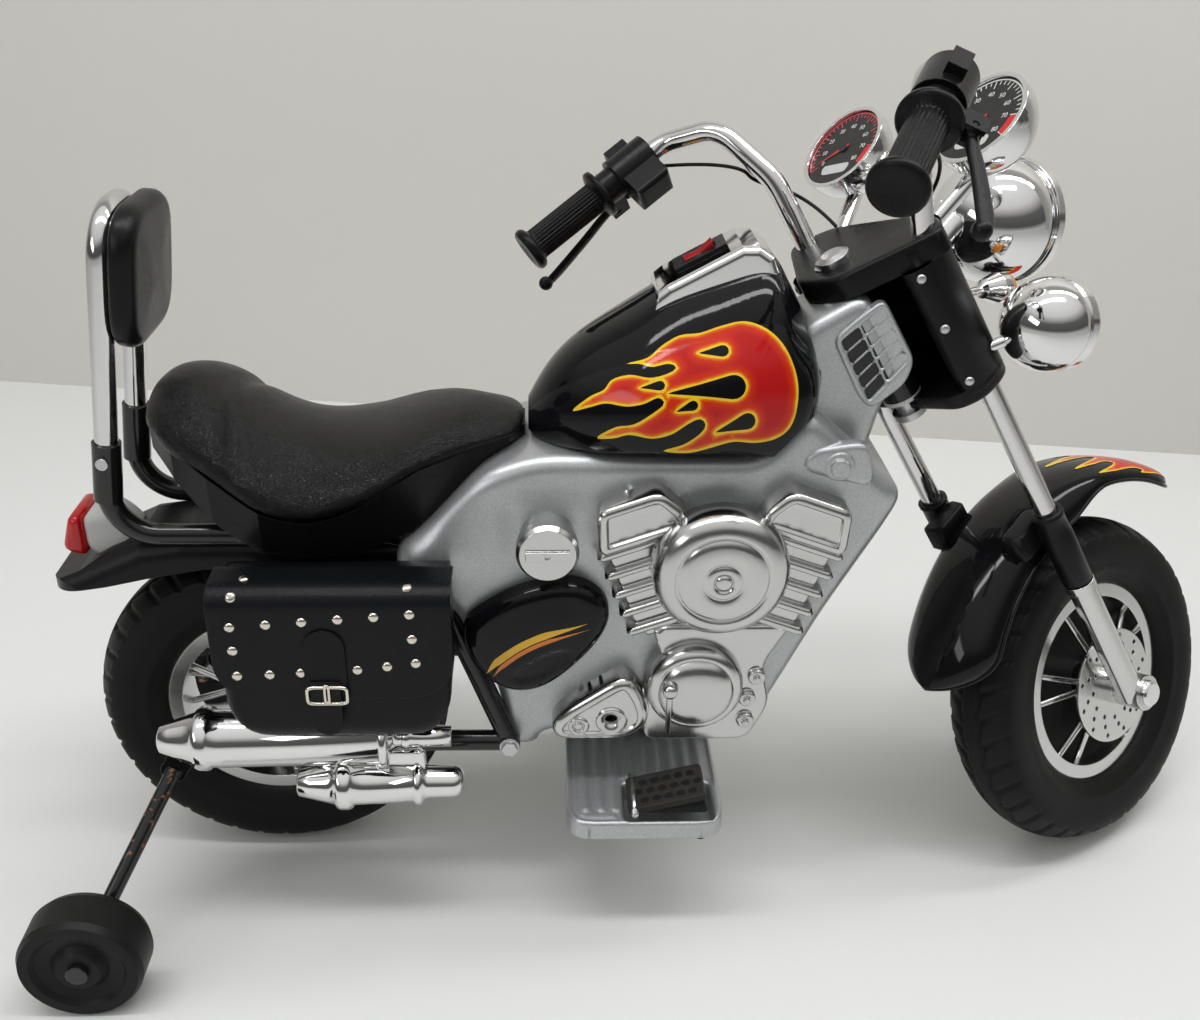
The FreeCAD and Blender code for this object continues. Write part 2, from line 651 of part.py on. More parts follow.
def backrest():
    """Hard pad on the front of the sissy bar, parallel to it."""
    width = float(S.backrest_width)
    height = float(S.backrest_height)
    depth = float(S.backrest_thickness)
    pad = Part.makeBox(depth, width, height, vec(0, -width / 2, 0))
    corner = 30
    pad = pad.makeFillet(corner, [e for e in pad.Edges if abs(e.tangentAt(e.FirstParameter).x) > 0.9])
    front = [e for e in pad.Edges if e.BoundBox.XMin > depth - 0.01]
    pad = pad.makeFillet(8, front)
    foot = sissy_line(0, float(S.sissy_top) - height)
    foot.y = 0
    turn = Rotation(ACROSS, float(S.sissy_lean))
    stand_off = float(S.tube_radius) + float(S.loose_fit)
    where = Placement(foot + turn.multVec(AHEAD) * stand_off, turn)
    piece(shaped("backrest_pad", pad), "backrest_pad", where)


SEAT_STATIONS = ((0.0, 0.40, 0.62, 0.82), (0.07, 0.67, 0.48, 0.95), (0.17, 0.88, 0.33, 0.90),
                 (0.30, 0.98, 0.08, 0.60), (0.43, 1.0, 0.0, 0.47), (0.57, 0.97, 0.13, 0.475),
                 (0.72, 0.80, 0.36, 0.59), (0.86, 0.60, 0.46, 0.67), (0.96, 0.42, 0.53, 0.655),
                 (1.0, 0.26, 0.55, 0.61))
SEAT_LINE = ((-0.01, 0.42), (0.05, 0.28), (0.115, 0.09), (0.20, -0.13), (0.29, -0.29), (0.40, -0.322),
             (0.56, -0.295), (0.70, -0.16), (0.80, 0.10), (0.885, 0.345), (0.96, 0.45), (1.01, 0.47))


def seat_place(along, up):
    """X and Z of a point given as shares of the seat's length and of its rise."""
    x = -float(S.seat_rear) + along * float(S.seat_length)
    return x, float(S.seat_low) + up * float(S.seat_rise)


def seat():
    """Cushion with a crown and drawn-in sides, lofted along the seat, on a hollow base with a skirt."""
    cushions = []
    skirts = []
    hollows = []
    inset, wall = float(S.base_inset), 4.0
    for along, wide, low, high in SEAT_STATIONS:
        x, bottom = seat_place(along, low)
        top = seat_place(along, high)[1]
        half = wide * float(S.seat_half)
        rise = top - bottom
        corners = [(-0.86 * half, bottom), (0.86 * half, bottom), (0.76 * half, bottom + 0.68 * rise),
                   (-0.76 * half, bottom + 0.68 * rise)]
        a, b, c, d = [vec(x, y, z) for y, z in corners]
        side = bottom + 0.30 * rise
        edges = [Part.LineSegment(a, b), Part.Arc(b, vec(x, half, side), c),
                 Part.Arc(c, vec(x, 0, top), d), Part.Arc(d, vec(x, -half, side), a)]
        cushions.append(Part.Wire([e.toShape() for e in edges]))
        brim = 0.86 * half - inset
        hem = brim * 0.86
        low_edge = float(S.fender_top) - 20
        for sections, shrink in ((skirts, 0.0), (hollows, wall)):
            outline = ((-hem + shrink, low_edge - shrink), (hem - shrink, low_edge - shrink),
                       (brim - shrink, bottom - shrink), (-brim + shrink, bottom - shrink))
            corners = [vec(x, y, z) for y, z in outline]
            sections.append(Part.makePolygon(corners + corners[:1]))
    cushion = lofted(cushions)
    base = Part.makeLoft(skirts, True, True)
    line = [seat_place(along, up) for along, up in SEAT_LINE]
    keep = line + [(line[-1][0], 600), (line[0][0], 600)]
    base = base.common(prism(keep, -float(S.seat_half), S.seat_half)).cut(cushion)
    ends = slab(vec(seat_place(0.03, 0)[0], -200, 200), vec(seat_place(0.93, 0)[0], 200, 600))
    base = base.cut(Part.makeLoft(hollows, True, True).common(ends))
    base = base.cut(Part.makeCompound(frame_tubes(0.5)))
    for strap in bag_straps(0.4):
        base = base.cut(strap).cut(strap.mirror(ORIGIN, ACROSS))
    piece(shaped("seat_cushion", cushion), "seat_cushion")
    solids = sorted(base.Solids, key=lambda part: part.Volume)
    piece(shaped("seat_base", solids[-1]), "seat_base")


TANK_STATIONS = ((0.0, 0.22, 0.02, 0.16), (0.05, 0.42, 0.0, 0.30), (0.14, 0.64, 0.0, 0.47),
                 (0.28, 0.85, 0.0, 0.63), (0.43, 0.97, 0.0, 0.78), (0.60, 1.0, 0.0, 0.90),
                 (0.74, 1.0, 0.0, 0.975), (0.83, 0.97, 0.0, 0.97), (0.88, 0.94, 0.03, 0.87),
                 (0.94, 0.86, 0.11, 0.71), (0.975, 0.72, 0.19, 0.60), (1.0, 0.50, 0.28, 0.50))


def tank_place(along, up):
    """X and Z of a point given as shares of the tank's length and of its height."""
    x = float(TANK_REAR) + along * float(S.tank_length)
    return x, float(S.tank_floor) + up * float(S.tank_height)


def tank_loft(shrink=0.0):
    """Teardrop of the tank, or its hollow where it is smaller by a wall."""
    sections = []
    for along, wide, low, high in TANK_STATIONS:
        length = float(S.tank_length) - 2 * shrink
        x = float(TANK_REAR) + shrink + along * length
        half = wide * float(S.tank_half) - shrink
        bottom = float(S.tank_floor) + low * float(S.tank_height) - (12 if shrink else 0)
        top = float(S.tank_floor) + high * float(S.tank_height) - shrink
        rise = top - bottom
        waist = bottom + 0.32 * rise
        shoulder = bottom + 0.74 * rise
        a, b = vec(x, -0.90 * half, bottom), vec(x, 0.90 * half, bottom)
        c, d = vec(x, 0.70 * half, shoulder), vec(x, -0.70 * half, shoulder)
        edges = [Part.LineSegment(a, b), Part.Arc(b, vec(x, half, waist), c), Part.Arc(c, vec(x, 0, top), d),
                 Part.Arc(d, vec(x, -half, waist), a)]
        sections.append(Part.Wire([e.toShape() for e in edges]))
    return lofted(sections)


def near_head(ahead, above):
    """X and Z of a point of the body's front, from its place beside the steering head."""
    return float(HEAD_X) + ahead, float(S.head_z) + above


def body_outline():
    """Side view of the body, widest part."""
    seat_edge = [seat_place(*p) for p in SEAT_LINE[7:10]]
    floor = float(S.body_floor)
    rear = float(S.lug_x) - 8
    shoulder = [near_head(*p) for p in ((-51.3, -57.1), (10.7, -113.1), (38.7, -133.1), (24.7, -165.1))]
    breast = [near_head(*p) for p in ((-19.3, -251.1), (-64.3, -353.1))]
    rest = [(float(TANK_REAR) + 6, float(S.tank_floor)), (near_head(-87.3, 0)[0], float(S.tank_floor))]
    belly = [(near_head(-79.3, 0)[0], floor), (252, floor), (247, float(S.lug_z) - 14),
             (rear, float(S.lug_z) - 14), (rear, 205), (173, 300), (152, 352)]
    return [(px, pz - 0.4) for px, pz in seat_edge] + rest + shoulder + breast + belly


def nose_outline():
    """Side view of the body's narrow nose round the steering head."""
    beside = ((-67.3, -89.1), (-58.3, 0.4), (-7.3, 31.3), (25.7, -19.1), (31.7, -39.1), (17.7, -63.1),
              (6.7, -119.1))
    return [near_head(*p) for p in beside]


def body_prisms(half_body, half_nose, inset):
    """Trunk and nose of the body from the middle plane to the right, inset for the hollow."""
    parts = []
    for outline, half in ((body_outline(), half_body), (nose_outline(), half_nose)):
        face = Part.Face(Part.makePolygon([vec(x, 0, z) for x, z in list(outline) + [outline[0]]]))
        if inset:
            face = Part.Face(face.OuterWire.makeOffset2D(-inset, 2))
        parts.append(face.extrude(vec(0, -half, 0)))
    return parts


def rounded_side(solid, half, radius):
    """Solid with the edges of its outer face rounded."""
    outer = [e for e in solid.Edges if e.BoundBox.YMax < -half + 0.01]
    return solid.makeFillet(radius, outer)


def body_shells(tank):
    half, nose = float(S.body_half), float(S.nose_half)
    wall = float(S.shell_wall)
    trunk, snout = body_prisms(half, nose, 0)
    trunk = rounded_side(trunk, half, float(S.body_edge))
    snout = rounded_side(snout, nose, float(S.body_edge))
    hollow_trunk, hollow_snout = body_prisms(half - wall, nose - wall, wall)
    tubes = Part.makeCompound(frame_tubes(0.8))
    below = FORK_STRAIGHT.multVec(vec(0, 0, -float(S.yoke_floor)))
    above = FORK_STRAIGHT.multVec(vec(0, 0, float(S.yoke_top) + 20))
    head = rod_shape(below, above, float(S.head_tube_radius) + 1.6)
    outer = trunk.fuse(snout)
    shell = outer.cut(hollow_trunk.fuse(hollow_snout)).cut(tank).cut(tubes).cut(head)
    for slot in louvres(nose):
        shell = shell.cut(slot)
    bolt = Part.makeCylinder(13, 2).fuse(hexagon_shape(17, 7))
    pad_x, pad_z = near_head(-23.3, -108.1)
    bolt.Placement = Placement(vec(pad_x, -half, pad_z), Rotation(UP, -ACROSS))
    shell = shell.fuse(bolt)
    right = piece(shaped("body_shell_right", shell), "body_shell_right")
    piece(mirrored("body_shell_left_hand", right), "body_shell_left")


def louvres(nose):
    """Shallow slots in rows on the right side of the nose, square to the steering axis."""
    slots = []
    for row in range(5):
        for column in range(3 if row < 4 else 2):
            slot = Part.makeBox(12, 1.4, 4.5, vec(-40 + 16 * column, -nose, 8 - 15 * row))
            slot.Placement = FORK_STRAIGHT
            slots.append(slot)
    return slots


def tank():
    outer = tank_loft()
    half, nose = float(S.body_half), float(S.nose_half)
    trunk, snout = body_prisms(half + 40, nose + 0.4, 0)
    block = trunk.fuse(snout)
    block = block.fuse(block.mirror(ORIGIN, ACROSS))
    tubes = Part.makeCompound(frame_tubes(1.0))
    skin = outer.cut(tank_loft(float(S.shell_wall))).cut(block).cut(tubes).cut(switch_pocket())
    solids = sorted(skin.Solids, key=lambda s: s.Volume)
    piece(shaped("fuel_tank", solids[-1]), "fuel_tank")
    return outer


CONSOLE_LINE = ((0.4208, 0.6677), (0.4375, 0.8161), (0.4667, 0.8548), (0.7083, 1.0613), (0.7667, 1.0613),
                (0.8167, 1.0097), (0.85, 0.8806), (0.85, 0.6677))


def switch_seat():
    """Placement of the switch on the console's slope."""
    (low_x, low_z), (high_x, high_z) = (tank_place(*p) for p in CONSOLE_LINE[2:4])
    slope = math.degrees(math.atan2(high_z - low_z, high_x - low_x))
    x, z = tank_place(0.5875, 0.958065)
    return Placement(vec(x, 0, z), Rotation(ACROSS, -slope))


def switch_pocket():
    """Room for the well of the switch in the console and the tank under it."""
    pocket = Part.makeBox(34, 18, 30, vec(-17, -9, -16))
    pocket.Placement = switch_seat()
    return pocket


def console(tank_outer):
    """Chrome console on the tank's ridge, the switch bezel on its slope and the rocker in the bezel."""
    half = float(S.console_half)
    outline = [tank_place(*p) for p in CONSOLE_LINE]
    block = prism(outline, -half, half)
    brow = tank_place(0, 0.797)[1]
    ridge = [e for e in block.Edges if e.BoundBox.ZMin > brow and e.BoundBox.YLength < 0.01]
    block = block.makeFillet(7, ridge).cut(tank_outer)
    seat = switch_seat()
    piece(shaped("tank_console", block.cut(switch_pocket()).Solids[0]), "tank_console")
    rim_block = Part.makeBox(46, 30, 4, vec(-23, -15, 0.2))
    well = Part.makeBox(33, 17, 15, vec(-16.5, -8.5, -14.5)).fuse(rim_block)
    well = well.cut(Part.makeBox(29, 13.6, 30, vec(-14.5, -6.8, -12)))
    well = well.cut(rod_shape(vec(0, -8, 0), vec(0, 8, 0), 1.5 + float(S.running_fit)))
    piece(shaped("switch_bezel", well), "switch_bezel", seat)
    side = ((-13.4, 5.2), (0, 4.2), (13.4, 8.6), (13.4, 1), (9, -5), (-9, -5), (-13.4, -1))
    rocker = prism(side, -6.4, 6.4).fuse(rod_shape(vec(0, -7.9, 0), vec(0, 7.9, 0), 1.5))
    piece(shaped("rocker_switch", rocker.removeSplitter()), "rocker_switch", seat)


def rear_fender():
    """Fender over the rear wheel with a flared, rounded tail, open below, and the tail lamp on it."""
    top = float(S.fender_top)
    half = float(S.fender_half)
    wall = float(S.shell_wall)
    outline = [(128, top), (-60, top), (-96, top - 5), (-126, top - 19), (-150, top - 34), (-176, top - 45),
               (-178, top - 55), (-150, top - 49), (-125, top - 45), (-90, top - 37), (-40, top - 28),
               (128, top - 24)]
    block = prism(outline, -half, half)
    ridge = [e for e in block.Edges if e.BoundBox.YLength < 0.01 and e.BoundBox.XLength > 5
             and e.CenterOfMass.z > top - 16]
    block = block.makeFillet(20, ridge)
    plan = slab(vec(-178, -half, 200), vec(140, half, 400))
    corners = [e for e in plan.Edges if e.BoundBox.ZLength > 100 and e.BoundBox.XMax < 0]
    block = block.common(plan.makeFillet(34, corners))
    hollow_line = [(140, top - wall), (-60, top - wall), (-95.4, top - 5 - wall), (-124.5, top - 19 - wall),
                   (-149, top - 34 - wall), (-166, top - 41 - wall), (-166, top - 140), (140, top - 140)]
    inside = prism(hollow_line, -half + wall, half - wall)
    ridge = [e for e in inside.Edges if e.BoundBox.YLength < 0.01 and e.CenterOfMass.z > top - 20
             and e.BoundBox.XLength > 5]
    inside = inside.makeFillet(20 - wall, ridge)
    inside = inside.cut(slab(vec(-200, -half, 200), vec(-148, -half + 18, 400)))
    inside = inside.cut(slab(vec(-200, half - 18, 200), vec(-148, half, 400)))
    tubes = Part.makeCompound(frame_tubes(0.5))
    piece(shaped("rear_fender", block.cut(inside).cut(tubes).Solids[0]), "rear_fender")
    under = prism([(x, z - 100) for x, z in outline[:6]] + outline[:6][::-1], -half, half)
    housing = prism([(-112, 300), (-146, 300), (-146, 360), (-128, 364), (-112, 352)], -24, 24).cut(under)
    housing = housing.cut(prism([(-124, 326), (-147, 326), (-147, 354), (-124, 354)], -20, 20))
    piece(shaped("tail_lamp_housing", housing.cut(block).Solids[0]), "tail_lamp_housing")
    lens = prism([(-146.3, 323), (-167, 331), (-157, 364), (-146.3, 362)], -27, 27)
    ridge = [e for e in lens.Edges if e.BoundBox.XMax < -150 and e.BoundBox.YLength < 0.01]
    lens = lens.makeFillet(6, ridge)
    lens = lens.fuse(prism([(-128, 328), (-147, 328), (-147, 352), (-128, 352)], -19.6, 19.6))
    piece(shaped("tail_lamp_lens", lens.cut(block).removeSplitter().Solids[0]), "tail_lamp_lens")


def bank_point(lean, across, along, depth):
    """Point of a cylinder bank: across and along its axis, and outwards from the body's right face."""
    tilt = float(S.bank_angle) * lean
    x = float(S.engine_x) + across * cosine(tilt) + along * sine(tilt)
    z = float(S.engine_z) - across * sine(tilt) + along * cosine(tilt)
    return vec(x, -float(S.body_half) - depth, z)


def bank_block(lean, corners, start, finish):
    points = [bank_point(lean, across * lean, along, start) for across, along in corners]
    return Part.Face(Part.makePolygon(points + points[:1])).extrude(vec(0, start - finish, 0))


def engine():
    """Chrome moulding of the V engine on the body's right face, mirrored on the left."""
    depth = float(S.fin_depth)
    pitch = float(S.fin_pitch)
    parts = []
    for lean in (-1, 1):
        parts.append(bank_block(lean, ((-20, 62), (46, 62), (46, 157), (-20, 157)), 0, depth - 7))
        for k in range(int(float(S.fin_count))):
            along = 70 + k * pitch
            parts.append(bank_block(lean, ((-22, along), (54, along), (54, along + 4.5), (-22, along + 4.5)),
                                    0, depth))
        box = ((54, 155), (40, 197), (-14, 197), (-28, 172), (-28, 155))
        rocker = bank_block(lean, box, 0, depth + 8)
        panel = ((46, 161), (35, 190), (-11, 190), (-21, 170), (-21, 161))
        parts.append(rocker.cut(bank_block(lean, panel, depth + 2, depth + 8)))
    floor = float(S.body_floor) + 2
    case_line = ((345, 290), (358, 246), (342, 238), (342, floor), (438, floor), (456, 205), (446, 246),
                 (470, 290))
    face = -float(S.body_half)
    parts.append(prism(case_line, face, face - depth + 1))
    primary_line = ((258, 186), (268, 202), (320, 239), (333, 234), (345, 208), (345, 186), (326, 172),
                    (266, 172))
    parts.append(prism(primary_line, face, face - depth - 8))
    timing = vec(386, 0, 229)
    steps = ((42, 0, depth + 14), (34, depth + 14, depth + 19), (24, depth + 19, depth + 23))
    for radius, start, finish in steps:
        parts.append(rod_shape(timing + ACROSS * (face - start), timing + ACROSS * (face - finish), radius))
    cover = parts[0].fuse(parts[1:]).removeSplitter()
    seat_of_cleaner = vec(S.engine_x, 0, float(S.engine_z) + 120) - AHEAD * 2
    screw = rod_shape(seat_of_cleaner + ACROSS * face, seat_of_cleaner + ACROSS * (face - depth), 30)
    room = rod_shape(seat_of_cleaner + ACROSS * (face - depth), seat_of_cleaner + ACROSS * (face - 60),
                     S.cleaner_radius + 0.5)
    cover = cover.fuse(screw).cut(room).removeSplitter()
    pair("engine_covers", shaped("engine_cover_right", cover))
    size = S.cleaner_radius
    tall = S.cleaner_depth
    outline = [(0, 0), (size, 0), (size, tall * 0.5), (size * 0.93, tall * 0.78), (size * 0.66, tall),
               (size * 0.60, tall * 0.86), (size * 0.30, tall * 0.86), (size * 0.24, tall * 1.02),
               (0, tall * 1.02)]
    cleaner = turned("air_cleaner_right", outline)
    cleaner.Placement = Placement(seat_of_cleaner + ACROSS * (face - depth - 0.05), Rotation(AHEAD, 180))
    pair("air_cleaners", cleaner)
    cap_radius = S.cap_radius
    outline = [(0, 0), (cap_radius * 0.9, 0), (cap_radius * 0.9, 22), (cap_radius, 23), (cap_radius, 34),
               (cap_radius - 3, 38), (0, 38)]
    cap = turned("ignition_cap_right", outline)
    key = shaped("ignition_key_bar", slab(vec(-18, 37, -4), vec(18, 41, 4)).cut(Part.makeCylinder(
        2.5, 10, vec(0, 39, 0), ACROSS)))
    lock = fused("ignition_lock_right", cap, key)
    lock.Placement = Placement(vec(256, face, 372), Rotation(AHEAD, 180))
    pair("ignition_caps", lock)


def side_covers():
    """Gloss teardrop cover on each flank of the body."""
    face = -float(S.body_half)
    depth = float(S.side_cover_depth)
    line = ((184, 286), (206, 309), (242, 327), (278, 332), (303, 317), (309, 294), (296, 266), (266, 234),
            (240, 221), (214, 226), (191, 250))
    curve = Part.BSplineCurve()
    curve.interpolate([vec(x, face, z) for x, z in line], PeriodicFlag=True)
    cover = Part.Face(Part.Wire(curve.toShape())).extrude(vec(0, -depth, 0))
    cover = cover.makeFillet(10, [e for e in cover.Edges if e.BoundBox.YMax < face - depth + 0.01])
    pair("side_covers", shaped("side_cover_right", cover))


def platforms():
    """Grooved foot platforms on both sides of the keel, and the accelerator pedal on the right one."""
    top, thick = S.platform_top, S.platform_thickness
    rear, length, reach = S.platform_rear, S.platform_length, S.platform_reach
    corner = 12
    inner = 0.3
    outline = [(rear, -inner), (rear, -reach + corner), (rear + corner, -reach),
               (rear + length - corner, -reach), (rear + length, -reach + corner), (rear + length, -inner)]
    body = padded("platform_tread", outline, thick)
    groove = outline_sketch(body, "groove_outline", [(rear + 9, -86), (rear + 9, -reach + 16),
                                                     (rear + 14, -reach + 16), (rear + 14, -86)])
    pocket = body.newObject("PartDesign::Pocket", "groove")
    pocket.Profile = groove
    pocket.Length = 2
    pocket.Reversed = True
    doc.recompute()
    groove.AttachmentOffset = Placement(vec(0, 0, thick), Rotation())
    groove.setExpression("AttachmentOffset.Base.z", thick.text)
    pocket.Reversed = False
    rows = body.newObject("PartDesign::LinearPattern", "grooves")
    rows.Originals = [pocket]
    rows.Direction = (groove, ["H_Axis"])
    rows.setExpression("Length", (length - 23).text)
    rows.setExpression("Occurrences", S.groove_count.text)
    body.Tip = rows
    doc.recompute()
    lift = float(top) - float(thick)
    pivot = vec(float(rear) + 60, -121, float(top) + 7)
    half = float(S.pedal_width) / 2
    ears = []
    for side in (-1, 1):
        middle = pivot + ACROSS * side * (half + 3.5)
        low = vec(middle.x - 7, middle.y - 2.5, float(top) - 4)
        ears.append(slab(low, vec(middle.x + 7, middle.y + 2.5, pivot.z + 6)))
    reach = ACROSS * (half + 7)
    hole = rod_shape(pivot - reach, pivot + reach, S.pin_radius + S.running_fit)
    tread = body.Shape.copy()
    tread.translate(vec(0, 0, lift))
    right = tread.fuse(ears).cut(hole).removeSplitter()
    piece(shaped("foot_platform_right", right), "foot_platform_right")
    left = mirrored("foot_platform_left_hand", body)
    piece(left, "foot_platform_left", Placement(vec(0, 0, lift), Rotation()))
    plate = Part.makeBox(float(S.pedal_length) + 6, 2 * half, 6, vec(-6, -half, -3))
    upright = [e for e in plate.Edges if e.BoundBox.YLength < 0.01 and e.BoundBox.XLength < 0.01]
    plate = plate.makeFillet(2.5, upright)
    pin = rod_shape(-ACROSS * (half + 5.5), ACROSS * (half + 5.5), S.pin_radius)
    pedal = plate.fuse(pin).removeSplitter()
    piece(shaped("accelerator_pedal", pedal), "accelerator_pedal",
          Placement(pivot, Rotation(ACROSS, -float(S.pedal_tilt))))


def exhaust():
    """Two chrome mufflers in one moulding, with a bracket to the right chain stay."""
    big = float(S.muffler_radius)
    axis = vec(0, -float(S.muffler_y), S.muffler_z)
    small_axis = axis + vec(0, -14, -39)

    def run(line, middle):
        points = [vec(x, middle.y, middle.z + r) for x, r in line]
        points = [vec(line[0][0], middle.y, middle.z)] + points + [vec(line[-1][0], middle.y, middle.z)]
        face = Part.Face(Part.makePolygon(points + points[:1]))
        return face.revolve(middle, AHEAD, 360)

    upper = run(((-80, big * 0.56), (-48, big), (-46, big * 1.25), (-32, big * 1.25), (-30, big),
                 (112, big * 0.96), (112, big * 1.1), (118, big * 1.1), (118, 9), (128, 9), (132, 12),
                 (138, 9), (172, 9)), axis)
    lower = run(((38, 11), (72, 19), (73, 25), (86, 25), (87, 19), (140, 18), (140, 21), (147, 21),
                 (147, 14), (176, 14), (183, 8)), small_axis)
    stay = -float(S.stay_spread) - float(S.tube_radius) - float(S.loose_fit)
    bracket = slab(vec(92, axis.y - 2, 158), vec(112, stay, 164))
    strap = slab(vec(60, axis.y - 16, small_axis.z + 8), vec(150, axis.y - 8, axis.z - 8))
    moulding = upper.fuse([lower, bracket, strap]).removeSplitter()
    piece(shaped("exhaust", moulding), "exhaust")


def bag_profile(grow):
    """Cross outline of the saddlebag on the right, smaller by an amount for its hollow."""
    back = -float(S.bag_back) - grow
    front = -float(S.bag_back) - float(S.bag_depth) + grow
    low = float(S.bag_floor) + grow
    high = float(S.bag_floor) + float(S.bag_height) - grow
    return [(back, low), (back, high - 19), (back - 32 + grow, high), (front, high), (front, low + 14),
            (front + 12, low)]


def cross_prism(points, start, finish):
    """Solid of an outline in the YZ plane, between two places along."""
    corners = [vec(start, y, z) for y, z in points]
    face = Part.Face(Part.makePolygon(corners + corners[:1]))
    return face.extrude(vec(finish - start, 0, 0))


def bag_straps(grow=0.0):
    """Two straps from the right bag's top edge over the seat loop, larger where they are a clearance."""
    over = float(S.loop_z) + float(S.tube_radius) + float(S.loose_fit)
    high = float(S.bag_floor) + float(S.bag_height)
    edge, loop = -float(S.bag_back) - 1, -float(S.loop_spread)
    outline = [(edge, high - 25 - grow), (edge, high - 19 + grow), (loop - 12, over + 2.5 + grow),
               (loop + 4 + grow, over + 2.5 + grow), (loop + 4 + grow, over - grow),
               (loop - 10, over - grow)]
    start = float(S.bag_rear)
    finish = start + float(S.bag_length)
    return [cross_prism(outline, x - grow, x + 30 + grow) for x in (start + 30, finish - 66)]


def saddlebags():
    """Leather bag open at its top under a flap that swings on the hem of the bag's fixed top."""
    start = float(S.bag_rear)
    finish = start + float(S.bag_length)
    wall = float(S.leather)
    shell = cross_prism(bag_profile(0), start, finish)
    hollow = cross_prism(bag_profile(wall), start + wall, finish - wall)
    high = float(S.bag_floor) + float(S.bag_height)
    hinge_y = -float(S.bag_back) - 32
    front = -float(S.bag_back) - float(S.bag_depth)
    mouth = slab(vec(start + wall, front + wall, high - wall - 1), vec(finish - wall, hinge_y - 2, high + 1))
    bag = shell.cut(hollow).cut(mouth).fuse(bag_straps()).removeSplitter()
    gap = 0.6
    outer = [(hinge_y, high + gap), (hinge_y, high + gap + wall), (front - gap - 6, high + gap + wall),
             (front - gap - wall, high - 4), (front - gap - wall, high - float(S.flap_drop)),
             (front - gap, high - float(S.flap_drop)), (front - gap, high - 4),
             (front - gap - 1, high + gap)]
    flap = cross_prism(outer, start - 2, finish + 2)
    pair("saddlebags", shaped("saddlebag_right", bag))
    right = piece(shaped("bag_flap_right", flap), "bag_flap_right")
    piece(mirrored("bag_flap_left_hand", right), "bag_flap_left")


def battery():
    floor = S.body_floor + S.shell_wall + S.loose_fit
    block = doc.addObject("Part::Box", "battery_block")
    block.Length, block.Width, block.Height = 140, 68, 94
    edges = doc.addObject("Part::Chamfer", "battery_chamfered")
    doc.recompute()
    edges.Base = block
    edges.Edges = [(k, 3.0, 3.0) for k in (1, 3, 5, 7)]
    where = piece(edges, "battery", Placement(vec(288, -34, floor), Rotation()))
    where.setExpression("Placement.Base.z", floor.text)


def bolts():
    """Lug bolts, stabiliser bolts and the cross screws of the sissy bar, as one set of fasteners."""
    heads = []
    reach = float(S.stay_spread) + float(S.tube_radius)
    for side in (-1, 1):
        lug = vec(S.lug_x, side * reach, S.lug_z)
        arm = stay_end(side) + ACROSS * side * (float(S.tube_radius) + 5.8)
        for place in (lug, arm):
            bolt = Part.makeCylinder(9, 1.5).fuse(hexagon_shape(13, 6))
            bolt.Placement = Placement(place, Rotation(UP, ACROSS * side))
            heads.append(bolt)
        socket = sissy_line(side, float(S.socket_top) - 14)
        screw = Part.makeCylinder(5, 3)
        stand = ACROSS * side * (float(S.tube_radius) + 2.3)
        screw.Placement = Placement(socket + stand, Rotation(UP, ACROSS * side))
        heads.append(screw)
    piece(shaped("chassis_bolts", Part.makeCompound([h.removeSplitter() for h in heads])), "chassis_bolts")


def headset():
    """Flanged bushes in both ends of the head tube and the stem that turns in them."""
    low = -S.yoke_floor + S.yoke_base
    high = S.yoke_top - S.yoke_plate
    gap = 0.3
    barrel = 18
    bore = S.stem_radius + S.running_fit
    flange = S.head_tube_radius
    body = S.bush_radius - 0.02
    lower = turned("lower_bush", [(bore, low + gap), (flange, low + gap), (flange, low + 4), (body, low + 4),
                                  (body, low + barrel), (bore, low + barrel)])
    upper = turned("upper_bush", [(bore, high - barrel), (body, high - barrel), (body, high - 4),
                                  (flange, high - 4), (flange, high - gap), (bore, high - gap)])
    both = doc.addObject("Part::Compound", "bush_set")
    both.Links = [lower, upper]
    upright = Rotation(AHEAD, 90)
    piece(both, "headset_bushes", FORK_STRAIGHT.multiply(Placement(ORIGIN, upright)))
    floor, top = -S.yoke_floor, S.yoke_top
    stem = turned("steering_stem", [(0, floor - 6), (15, floor - 6), (15, floor), (S.stem_radius, floor),
                                    (S.stem_radius, top), (14, top), (14, top + 6), (9, top + 9),
                                    (0, top + 9)])
    piece(stem, "steering_stem", FORK.multiply(Placement(ORIGIN, upright)))


def flat(points, start, finish):
    """Solid of an outline in the fork's level plane, between two heights."""
    corners = [vec(x, y, start) for x, y in points]
    face = Part.Face(Part.makePolygon(corners + corners[:1]))
    return face.extrude(vec(0, 0, float(finish) - float(start)))


def both_sides(half_outline):
    """Closed outline from its left half, listed from front to rear."""
    return list(half_outline) + [(x, -y) for x, y in reversed(half_outline)]


BAR_POINTS = ((32, 61, 34), (50, 82, 112), (50, 118, 168), (26, 166, 176), (-121, 219, 165))
BAR_BENDS = (70, 34, 30)


def bar_shape(grow=0.0, cap=0.0):
    points = [vec(*p) for p in BAR_POINTS]
    outward = (points[-1] - points[-2]).normalize()
    points[-1] = points[-1] - outward * cap
    return bent_tube(points, BAR_BENDS, float(S.tube_radius) + grow)


